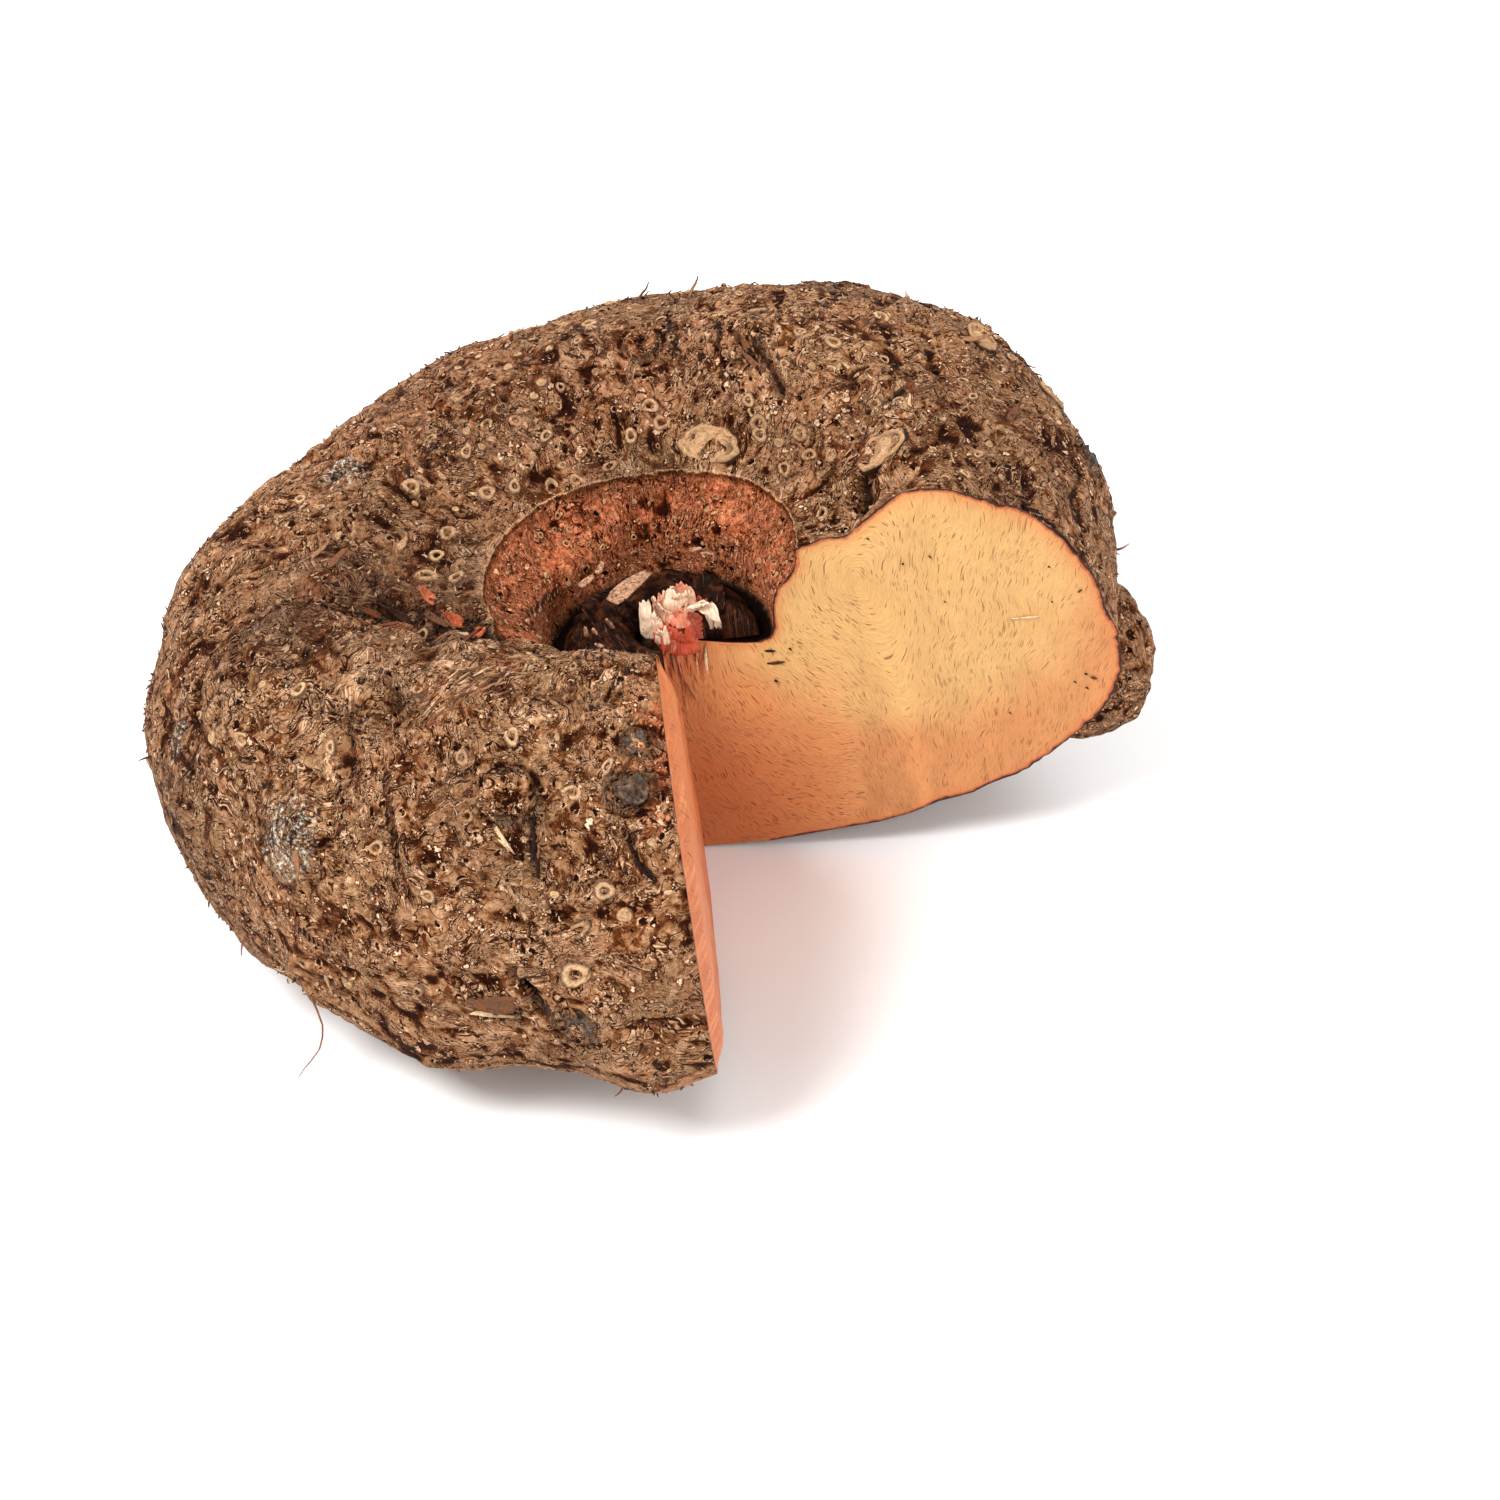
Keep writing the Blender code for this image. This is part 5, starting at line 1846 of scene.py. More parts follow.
@dataclass
class RootScars:
    """The round scars of old roots: those that the photograph shows, and scattered ones."""

    grid: SkinGrid
    stance: Stance
    knobs: tuple[Knob, ...]
    sides: int = 12
    count: int = 430
    spacing: float = 5.2
    profiles: dict = field(default_factory=lambda: {
        RING: ((1.7, -0.9), (1.4, 0.1), (1.08, 0.42), (0.86, 0.6), (0.62, 0.35), (0.48, -0.3), (0, -0.6)),
        PLUG: ((1.6, -0.9), (1.32, 0.1), (1.04, 0.4), (0.86, 0.6), (0.6, 0.5), (0.3, 0.62), (0, 0.55)),
        PIT: ((1.3, -1.2), (1.15, 0.1), (1.0, 0.3), (0.86, 0.2), (0.7, -0.3), (0.5, -0.8), (0, -1.0)),
    })
    seen: tuple[tuple[float, float, float, ScarKind], ...] = (
        (751, 399, 1.5, RING), (762, 422, 2.0, RING), (662, 424, 1.9, RING),
        (649, 405, 1.6, RING), (810, 453, 1.8, RING), (781, 441, 1.7, PLUG),
        (786, 468, 1.7, RING), (800, 434, 1.9, RING), (831, 460, 1.6, PLUG),
        (632, 437, 1.5, RING), (610, 465, 1.5, RING), (577, 481, 1.6, RING),
        (822, 513, 1.9, RING), (838, 367, 1.2, PLUG), (813, 367, 1.4, PLUG),
        (799, 334, 1.3, RING), (597, 372, 1.2, PLUG), (762, 436, 1.5, RING),
        (752, 412, 1.2, RING), (426, 575, 2.3, RING), (449, 533, 2.0, RING),
        (436, 555, 1.6, RING), (454, 579, 1.6, RING), (515, 486, 1.7, RING),
        (554, 486, 1.9, RING), (442, 478, 1.4, PLUG), (415, 500, 1.1, PLUG),
        (340, 538, 1.6, PLUG), (298, 478, 1.9, RING), (416, 413, 1.3, PLUG),
        (510, 368, 1.5, PLUG), (549, 346, 1.3, PLUG), (532, 397, 1.2, PLUG),
        (542, 384, 1.6, PLUG), (519, 356, 1.3, PLUG), (560, 384, 1.2, RING),
        (488, 494, 1.9, RING), (411, 483, 2.0, RING), (456, 508, 1.2, PLUG),
        (483, 448, 1.3, PLUG), (467, 432, 1.4, PLUG), (467, 451, 1.6, RING),
        (463, 757, 1.5, RING), (464, 815, 1.6, RING), (606, 769, 1.6, RING),
        (377, 848, 1.7, RING), (512, 736, 1.9, RING), (573, 794, 2.0, RING),
        (581, 932, 2.3, RING), (622, 918, 2.2, PLUG), (523, 972, 1.8, PLUG),
        (577, 972, 2.6, RING), (650, 841, 1.3, PLUG), (351, 983, 1.4, PLUG),
        (606, 890, 2.0, RING), (557, 896, 1.4, PLUG), (243, 738, 2.0, RING),
        (212, 738, 2.2, PLUG), (330, 745, 1.4, RING), (300, 690, 1.6, RING),
    )

    def add_scar(
        self, batch: Batch, i: int, j: int, radius: float, kind: ScarKind, draw: np.random.Generator
    ) -> None:
        """Add one scar at a grid point.

        Args:
            batch: The scars so far.
            i: The column.
            j: The row number.
            radius: The scar's radius in millimetres.
            kind: How it looks.
            draw: The random generator.
        """
        points, faces, level = turned_rings(self.profiles[kind], self.sides)
        turn = np.arctan2(points[:, 1], points[:, 0])
        wobble = 1 + 0.13 * np.sin(2 * turn + draw.uniform(0, 6)) + 0.09 * np.sin(3 * turn + draw.uniform(0, 6))
        rise = 1 + 0.45 * np.sin(turn + draw.uniform(0, 6)) + draw.uniform(-0.1, 0.1, len(turn))
        points[:, :2] *= (radius * wobble)[:, None]
        points[:, 0] *= draw.uniform(0.62, 1.0)
        points[:, 2] *= np.where(points[:, 2] > 0, rise * (0.75 + 0.2 * radius), 1.0)
        spin = draw.uniform(0, pi)
        placed = self.grid.points[i, j] + points @ self.grid.turn_at(i, j, spin)
        values = self.grid.values_at(i, j)
        # Rim and core by ring, from the outside in: the core paints a shadow round the scar's foot and shade in the
        # hole of a ring or a pit; a plug's middle is pale.
        rim = np.array([0.0, 0.0, 1.0, 1.0, 0.85, 0.3, 0.2])[level]
        core = np.array([0.6, 0.8, 0.0, 0.0, 0.35, 0.95, 1.0])[level]
        if kind is PLUG:
            rim = np.array([0.0, 0.2, 0.9, 1.0, 1.0, 1.0, 1.0])[level]
            core = np.array([0.5, 0.7, 0.0, 0.0, 0.3, 0.0, 0.0])[level]
        elif kind is PIT:
            rim = np.array([0.0, 0.2, 0.6, 0.4, 0.2, 0.0, 0.0])[level]
        rim = np.clip(rim * draw.uniform(0.65, 1.0), 0, 1)
        batch.add(
            placed, faces, rim=rim, core=core, shade=draw.uniform(0.15, 0.85),
            warm=values["warm"], dark=0.5 * values["dark"], pale=values["pale"], wall=values["wall"],
        )

    def build(self, finish: Material) -> Thing:
        """Build all root scars as one piece.

        Args:
            finish: What it is made of.

        Returns:
            The object.
        """
        grid = self.grid
        draw = np.random.default_rng(71)
        batch = Batch("rim", "core", "shade", "warm", "dark", "pale", "wall")
        taken = [(grid.form.point(knob.azimuth, knob.row), knob.radius + 2.0) for knob in self.knobs]
        for across, down, radius, kind in self.seen:
            at = grid.nearest((across, down))
            if at is None:
                continue
            self.add_scar(batch, *at, (0.7 if kind is PLUG else 1.0) * radius, kind, draw)
            taken.append((grid.guide[at], radius + 3.2))
        rows = np.broadcast_to(grid.rows[None], grid.shape)
        azimuth = np.broadcast_to(grid.azimuth[:, None], grid.shape)
        crown = ease(4.2, 4.6, rows) * (0.1 + ease(8.5, 6.0, rows) + 0.25 * ease(12.5, 9.5, rows))
        back = 0.3 + 0.9 * np.clip(np.cos(np.radians(azimuth - 80)), 0, 1)
        weight = crown * back * ease(14.5, 12.5, rows) * (grid.away_from_cut() > 3.0)
        weight = weight * (0.25 + 1.4 * ease(-0.3, 0.5, noise(grid.guide / 21, 61)))
        for i, j in grid.scatter(weight, self.count, self.spacing, 72, taken):
            kind = draw.choice(list(ScarKind), p=(0.42, 0.3, 0.28))
            radius = float(np.clip(draw.lognormal(-0.1, 0.34), 0.5, 1.7)) * (0.7 if kind is PLUG else 1.0)
            self.add_scar(batch, i, j, radius, kind, draw)
        wall = ease(2.5, 2.9, rows) * ease(3.9, 3.6, rows) * (grid.away_from_cut() > 2.0)
        for i, j in grid.scatter(wall, 110, 3.6, 73):
            kind = draw.choice([RING, PLUG, PIT])
            self.add_scar(batch, i, j, draw.uniform(0.4, 0.85), kind, draw)
        return batch.make("root_scars", self.stance, [finish])


@dataclass
class BarkFlakes:
    """Loose chips and slivers of bark, lifted at one end, many with a flat dark sheet beside them as a painted
    shadow.
    """

    grid: SkinGrid
    stance: Stance
    count: int = 3000
    wall_count: int = 700
    spacing: float = 2.0
    lengths: Pair = (1.0, 4.2)
    widths: Pair = (0.35, 1.15)
    thickness: float = 0.3

    def ribbon(self, length: float, width: float, lift: float, bend: float) -> tuple[Array, Faces]:
        """Make one chip that lies along the first way.

        Args:
            length: Its length.
            width: Its width.
            lift: How far its free end stands up.
            bend: How far it bends sideways.

        Returns:
            Points and faces of the closed chip.
        """
        share = np.array([0.0, 0.33, 0.7, 1.0])
        spread = np.array([0.35, 1.0, 0.85, 0.15]) * width / 2
        along = (share - 0.5) * length
        height = -0.35 + (0.35 + lift) * share**1.6
        side = bend * (share - 0.5) ** 2
        points = []
        for x, y, z, half in zip(along, side, height, spread):
            points += [(x, y - half, z), (x, y + half, z)]
            points += [(x, y + 0.7 * half, z - self.thickness), (x, y - 0.7 * half, z - self.thickness)]
        return np.array(points), [(3, 2, 1, 0), (12, 13, 14, 15), *ring_faces(4, 4)]

    def build(self, finish: Material) -> Thing:
        """Build all chips as one piece.

        Args:
            finish: What it is made of.

        Returns:
            The object.
        """
        grid = self.grid
        draw = np.random.default_rng(81)
        batch = Batch("shade")
        rows = np.broadcast_to(grid.rows[None], grid.shape)
        clear = grid.away_from_cut() > 1.5
        weight = ease(4.15, 4.5, rows) * (0.3 + 0.7 * ease(11.5, 8.5, rows))
        weight = weight * ease(14.8, 13.0, rows) * clear
        weight = weight * (0.12 + 1.5 * ease(-0.1, 0.55, noise(grid.guide / 13, 83)))
        spots = grid.scatter(weight, self.count, self.spacing, 82)
        wall = ease(2.6, 2.9, rows) * ease(3.95, 3.7, rows) * clear
        wall = wall * (0.2 + ease(-0.2, 0.5, noise(grid.guide / 9, 85)))
        spots += grid.scatter(wall, self.wall_count, 1.2, 84)
        for i, j in spots:
            small = 0.5 if grid.rows[j] < RING_ROW else 1.0
            length = draw.uniform(*self.lengths) * small
            width = draw.uniform(*self.widths) * small
            lift = draw.uniform(0.1, 1.1) * small
            points, faces = self.ribbon(length, width, lift, draw.uniform(-3.5, 3.5) * small)
            spin = draw.normal(0, 0.7) + (pi / 2 if draw.random() < 0.45 else 0.0)
            spin += pi * draw.integers(0, 2)
            placed = grid.place_on(i, j, points, spin)
            batch.add(placed, faces, shade=float(draw.beta(1.0, 1.5)))
            # A flat dark sheet beside the chip is its painted shadow.
            if draw.random() < 0.45:
                points, faces = self.ribbon(1.2 * length, 1.1 * width, 0.06, 0.0)
                points[:, 1] -= 0.8 * width
                batch.add(grid.place_on(i, j, points, spin), faces, shade=0.0)
        return batch.make("bark_flakes", self.stance, [finish])


def ball(subdivisions: int) -> tuple[Array, Faces]:
    """Make a unit ball of triangles.

    Args:
        subdivisions: How often its faces are split.

    Returns:
        Points and faces.
    """
    work = bmesh.new()
    bmesh.ops.create_icosphere(work, subdivisions=subdivisions, radius=1.0)
    points = np.array([vert.co[:] for vert in work.verts])
    faces = [tuple(vert.index for vert in face.verts) for face in work.faces]
    work.free()
    return points, faces


@dataclass
class Warts:
    """The knobs that stand out of the skin, rough or glossy; the gritty ones are part of the skin."""

    grid: SkinGrid
    stance: Stance
    knobs: tuple[Knob, ...]
    sink: float = 0.45

    def build(self, finish: Material, skin: Material) -> Thing:
        """Build all warts as one piece.

        Args:
            finish: The dark, glossy knobs.
            skin: The corky skin, which the corky knobs wear.

        Returns:
            The object.
        """
        grid = self.grid
        batch = Batch(*SKIN_VALUES, "run", "fall", "shade", "gloss")
        unit_points, faces = ball(5)
        for number, knob in enumerate(self.knobs):
            if knob.kind is GRITTY:
                continue
            i, j = grid.at(knob.azimuth, knob.row)
            folds = ridges(unit_points * 2.6 + 0.6 * noise(unit_points * 2, 7)[:, None], 90 + number)
            fine = ridges(unit_points * 6.5, 110 + number)
            swell = 1 + 0.24 * noise(unit_points * 1.7 + 9.3, number)
            swell += 0.1 * folds + 0.05 * fine
            top = np.clip(unit_points[:, 2], 0, 1)
            if knob.kind is GLOSSY:
                turn = np.arctan2(unit_points[:, 1], unit_points[:, 0])
                swell += 0.05 * np.sin(17 * np.arccos(top) + turn + 2 * folds) * (top > 0)
            swell -= knob.hollow * near(1 - top, 0.2)
            points = unit_points * (knob.radius * swell)[:, None]
            points[:, 2] -= (self.sink + (0.2 if knob.kind is GLOSSY else 0.0)) * knob.radius
            placed = grid.guide[i, j] + points @ grid.turn_at(i, j)
            # A hollow top lowers the low value for painted shade there, and the dark value paints shade over the
            # lower half, where the knob meets the skin.
            dent = 1.2 * (top > 0) * near(1 - top, 0.14) * (knob.hollow > 0)
            low = np.clip(0.5 * folds + 0.6 * fine - dent, -1, 1)
            values = {name: grid.values[name][i, j] for name in ("warm", "pale", "run", "fall")}
            values |= {"low": low, "run": values["run"] + points[:, 0], "fall": values["fall"] + points[:, 1]}
            values |= {"lip": 6.0, "dark": 0.7 * ease(0.25, 0.0, top)}
            if knob.kind is CORKY:
                batch.add(placed, faces, kind=1, **values)
            else:
                batch.add(placed, faces, shade=0.2 * ease(0.05, 0.5, top), gloss=1.0, **values)
        return batch.make("warts", self.stance, [finish, skin])


@dataclass
class LargeScars:
    """The broad, pale, dished scars on the crown."""

    grid: SkinGrid
    stance: Stance
    sides: int = 56
    scars: tuple[tuple[float, float, float, float], ...] = (
        (68.5, 4.31, 4.8, 8.0), (17.5, 5.56, 6.6, 3.8), (36, 8.0, 2.8, 5.6), (27.5, 8.88, 4.8, 2.6),
    )
    profile: Path = (
        (1.2, -2.6), (1.16, -0.5), (1.1, -0.2), (1.07, 0.2), (1.03, 0.6), (0.97, 1.0), (0.9, 1.05), (0.83, 0.75),
        (0.77, 0.35), (0.68, 0.2), (0.56, 0.3), (0.44, 0.4), (0.32, 0.35), (0.18, 0.25), (0, 0.2),
    )

    def build(self, finish: Material) -> Thing:
        """Build the broad scars as one piece.

        Args:
            finish: What it is made of.

        Returns:
            The object.
        """
        batch = Batch("rim", "core", "shade", "warm", "dark", "pale", "wall")
        last = len(self.profile) - 1
        for number, (azimuth, row, half_length, half_width) in enumerate(self.scars):
            i, j = self.grid.at(azimuth, row)
            points, faces, level = turned_rings(self.profile, self.sides)
            turn = np.arctan2(points[:, 1], points[:, 0])
            wobble = 1 - 0.05 * np.cos(2 * turn) + 0.03 * np.sin(2 * turn + 2 + number)
            wobble += 0.03 * np.sin(3 * turn + number)
            wobble += 0.02 * np.sin(5 * turn + 2 * number) + 0.03 * np.sin(9 * turn + number)
            points[:, 0] *= half_width * wobble
            points[:, 1] *= half_length * wobble
            broad = noise(points / 3.0 + number * 7.7, 95)
            fine = noise(points / 1.2 + number * 3.1, 96)
            points[:, 2] += (0.55 * broad + 0.25 * fine) * (level > 3)
            placed = self.grid.guide[i, j] + points @ self.grid.turn_at(i, j)
            rim = np.interp(level, [0, 2, 3, 4, last], [0, 0, 0.6, 1, 1])
            # The core value paints shade in the crack round each scar's edge, and a patchy stain nearer the middle.
            core = np.interp(level, [0, 1, 3, 4, 6, 8, 9, last], [1, 1, 0.95, 0.1, 0, 0.4, 0.15, 0.05])
            core = np.clip(core - 0.5 * broad * (level > 6), 0, 1)
            batch.add(placed, faces, rim=rim, core=core, shade=0.5, warm=0.2)
        return batch.make("large_scars", self.stance, [finish])


@dataclass
class DaughterTuber:
    """The small tuber that has grown on the right of the large one."""

    stance: Stance
    azimuth: float = 13.5
    radius: float = 109.4
    height: float = 31.0
    half_sizes: Triple = (20.0, 15.0, 22.0)
    roughness: float = 0.12
    seed: int = 13

    def build(self, finish: Material) -> Thing:
        """Build the daughter tuber.

        Args:
            finish: What it is made of.

        Returns:
            The object.
        """
        unit_points, faces = ball(6)
        swell = 1 + self.roughness * noise(unit_points * 1.7 + 9.3, self.seed)
        shaped = unit_points * np.array(self.half_sizes) * swell[:, None]
        folds = ridges(shaped / (9.0, 9.0, 3.4) + 0.4 * noise(shaped / 9, 41)[:, None], 42)
        lumps = noise(shaped / 6.0, 45)
        grain = noise(shaped / 2.2, 43)
        pits = ease(0.4, 0.75, noise(shaped / 3.4, 44))
        shaped = shaped + unit_points * (0.5 * folds + 0.8 * lumps + 0.3 * grain - 0.9 * pits)[:, None]
        angle = radians(self.azimuth)
        turn = np.array([[cos(angle), sin(angle), 0], [-sin(angle), cos(angle), 0], [0, 0, 1]])
        middle = np.array([self.radius * cos(angle), self.radius * sin(angle), self.height])
        batch = Batch(*SKIN_VALUES, "run", "fall")
        low = np.clip(0.5 * folds + 0.5 * grain - 1.1 * pits, -1, 1)
        values = {"run": 20 * np.arctan2(shaped[:, 1], shaped[:, 0]), "fall": -shaped[:, 2]}
        batch.add(middle + shaped @ turn, faces, low=low, warm=0.1, lip=6.0, **values)
        return batch.make("daughter_tuber", self.stance, [finish])


class BladeSpec(NamedTuple):
    """One thin blade: where it is rooted, how it rises and how it is coloured."""

    azimuth: float
    radius: float
    height: float
    length: float
    width: float
    rise_deg: float
    curl: float
    facing_deg: float
    shade: float


@dataclass(frozen=True)
class BladeMaker:
    """Makes thin, cupped and crinkled blades for scales, shreds and wrapping leaves."""

    steps: int = 10
    sides: int = 8
    thickness: float = 0.45
    crinkle: float = 0.7
    cup: float = 0.35
    taper: float = 0.55
    ragged: float = 0.35
    clearance: float = 0.3
    shift: Triple = (0.0, 0.0, 0.0)

    def shape(
        self, length: float, width: float, rise_deg: float, curl: float, seed: int
    ) -> tuple[Array, Faces, Array, Array]:
        """Make a blade that starts at the origin, runs along the first way and rises in the third.

        Args:
            length: Its length.
            width: Its width.
            rise_deg: How steeply it starts.
            curl: How much steeper it ends, in radians.
            seed: Which crinkles it gets.

        Returns:
            Points, faces, and each point's place along and across the blade.
        """
        share = np.linspace(0, 1, self.steps + 1)
        pitch = radians(rise_deg) + curl * share
        ways = np.stack([np.cos(pitch), 0 * pitch, np.sin(pitch)], -1)
        facing = np.stack([-np.sin(pitch), 0 * pitch, np.cos(pitch)], -1)
        spine = np.concatenate([np.zeros((1, 3)), np.cumsum(ways[:-1] * (length / self.steps), axis=0)])
        sideways = np.linspace(-1, 1, self.sides + 1)
        half = 0.5 * width * (1 - self.taper * share**2.6) * (0.7 + 0.6 * np.minimum(share * 2.5, 0.5))
        across = np.array([0.0, 1.0, 0.0])
        grid = spine[:, None] + across * (half[:, None] * sideways[None])[..., None]
        grid = grid + facing[:, None] * (self.cup * half[:, None] * sideways[None] ** 2)[..., None]
        frill = np.stack([3.4 * sideways, 0 * sideways + 0.37 * seed, 0 * sideways], -1)
        torn = self.ragged * length * (noise(frill, seed) + 0.5 * noise(2.3 * frill, seed + 1))
        grid = grid + ways[:, None] * ((share[:, None] ** 3) * torn[None])[..., None]
        bump = noise(grid / 3.4 + seed, seed) + 0.5 * noise(grid / 1.5 + seed, seed + 1)
        grid = grid + facing[:, None] * (self.crinkle * share[:, None] ** 0.5 * bump)[..., None]
        normal = unit(np.cross(np.gradient(grid, axis=0), np.gradient(grid, axis=1)))
        points, faces = closed_sheet(grid + 0.5 * self.thickness * normal, grid - 0.5 * self.thickness * normal)
        along = np.broadcast_to(share[:, None] * length, grid.shape[:2]).reshape(-1)
        aside = (half[:, None] * sideways[None]).reshape(-1) + 3.7 * seed
        return points, faces, np.tile(along, 2), np.tile(aside, 2)

    def add(self, batch: Batch, spec: BladeSpec, seed: int) -> None:
        """Add one blade to a batch, clear of the cut.

        Args:
            batch: Takes the blade, with its place along and across as flow_a and flow_b.
            spec: The blade's place, size and colour.
            seed: Which crinkles it gets.
        """
        angle, turn = radians(spec.azimuth), radians(spec.azimuth + spec.facing_deg)
        root = np.array([spec.radius * cos(angle), spec.radius * sin(angle), spec.height]) + self.shift
        axes = np.array([[cos(turn), sin(turn), 0], [-sin(turn), cos(turn), 0], [0, 0, 1.0]])
        points, faces, along, aside = self.shape(spec.length, spec.width, spec.rise_deg, spec.curl, seed)
        placed = clear_of_cut(root + points @ axes, self.clearance)
        batch.add(placed, faces, flow_a=along, flow_b=aside, shade=spec.shade)


@dataclass
class SheathScales:
    """The dark, torn scales on the crater floor: a crumpled bed and blades that stand out of it."""

    form: TuberForm
    stance: Stance
    inner: float = 6.5
    outer: float = 24.6
    bed_rise: float = 6.0
    columns: int = 200
    across: int = 26
    margin_deg: float = 2.0
    blades: int = 17
    lobes: tuple[Triple, ...] = ((212, 40, 4.5), (78, 42, 3.5), (20, 24, 1.5), (150, 26, 1.0))

    def floor(self, radius: Array) -> Array:
        """Give the height of the crater floor at each radius."""
        profile = self.form.meridian(np.array(90.0), np.arange(FLOOR_ROW + 1.0))
        return np.interp(radius, profile[:, 0], profile[:, 1])

    def bed(self, batch: Batch) -> None:
        """Add the crumpled bed.

        Args:
            batch: Takes the bed.
        """
        azimuth = np.linspace(CUT_RIGHT + self.margin_deg, CUT_LEFT - self.margin_deg, self.columns)
        share = np.linspace(0, 1, self.across)
        radius = self.inner + (self.outer - self.inner) * share
        low = self.floor(radius) + 0.35
        angle = np.radians(azimuth)[:, None]
        flat = (len(azimuth), len(share))
        top = np.stack([radius * np.cos(angle), radius * np.sin(angle), np.broadcast_to(low, flat)], -1)
        bottom = top.copy()
        height = self.bed_rise * (1 + 0.25 * noise(top / 11.0, 150))
        for middle, width, rise in self.lobes:
            height = height + rise * near(azimuth - middle, width)[:, None]
        around = np.stack([angle * 5 + 0 * share, radius / 6.0 + 0 * angle, 0 * angle + 0 * share], -1)
        folds = ridges(around + 0.5 * noise(top / 7, 154)[..., None], 151)
        crumple = 0.7 * folds + 0.9 * noise(top / 5.0, 152) + 0.25 * noise(top / 1.6, 153)
        arch = np.sin(pi * np.clip(share, 0.02, 0.98)) ** 0.42
        top[..., 2] += np.maximum(height * arch + crumple * arch, 0.3)
        points, faces = closed_sheet(top, bottom, 1)
        flow_a, flow_b = (np.tile(np.broadcast_to(part, flat).reshape(-1), 2) for part in (angle * 15, radius))
        batch.add(points, faces, flow_a=flow_a, flow_b=flow_b, shade=0.0)

    def build(self, finish: Material) -> Thing:
        """Build the bed and its blades as one piece.

        Args:
            finish: What it is made of.

        Returns:
            The object.
        """
        batch = Batch("flow_a", "flow_b", "shade")
        self.bed(batch)
        draw = np.random.default_rng(91)
        maker = BladeMaker(crinkle=0.9, cup=0.3, taper=0.55, ragged=0.1)
        start, end = CUT_RIGHT + 16, CUT_LEFT - 34
        for number in range(self.blades):
            azimuth = start + (end - start) * (number + draw.uniform(0.2, 0.8)) / self.blades
            radius = (12.0, 16.0, 19.5)[number % 3] + draw.uniform(-1, 1)
            length = draw.uniform(6.0, 9.0)
            width = draw.uniform(8.5, 13.0)
            rise = draw.uniform(28, 62)
            height = float(self.floor(np.array(radius))) + (4.5, 4.5, 3.0)[number % 3]
            facing = draw.uniform(-65, 65) + (180 if number % 3 == 2 else 0)
            curl = draw.uniform(-1.2, -0.2)
            spec = BladeSpec(azimuth, radius, height, length, width, rise, curl, facing, 0.0)
            maker.add(batch, spec, 200 + number)
        pale = (
            BladeSpec(188, 10.6, 84.8, 13.0, 5.2, 9, -0.15, -140, 0.9),
            BladeSpec(152, 22.0, 81.6, 4.6, 2.2, 8, 0.1, -112, 0.9),
            BladeSpec(140, 19.4, 83.6, 3.4, 1.8, 20, 0.9, -92, 1.0),
            BladeSpec(66, 21.0, 83.4, 3.2, 1.4, 10, 0.1, -80, 1.0),
            BladeSpec(56, 20.6, 83.8, 4.5, 0.6, 10, 0.3, -90, 1.0),
            BladeSpec(218, 21.0, 84.0, 3.2, 1.2, 70, 0.2, 60, 1.2),
            BladeSpec(222, 19.0, 84.0, 2.6, 1.0, 60, 0.4, 20, 1.2),
            BladeSpec(226, 15.0, 84.2, 2.8, 2.8, 72, 0.1, -10, 0.55),
            BladeSpec(236, 22.0, 84.4, 3.0, 1.6, 20, 0.9, -10, 1.2),
        )
        thin = BladeMaker(thickness=0.6, crinkle=0.25, cup=0.1, taper=0.5, ragged=0.08)
        for number, spec in enumerate(pale):
            thin.add(batch, spec, 300 + number)
        return batch.make("crater_scales", self.stance, [finish])


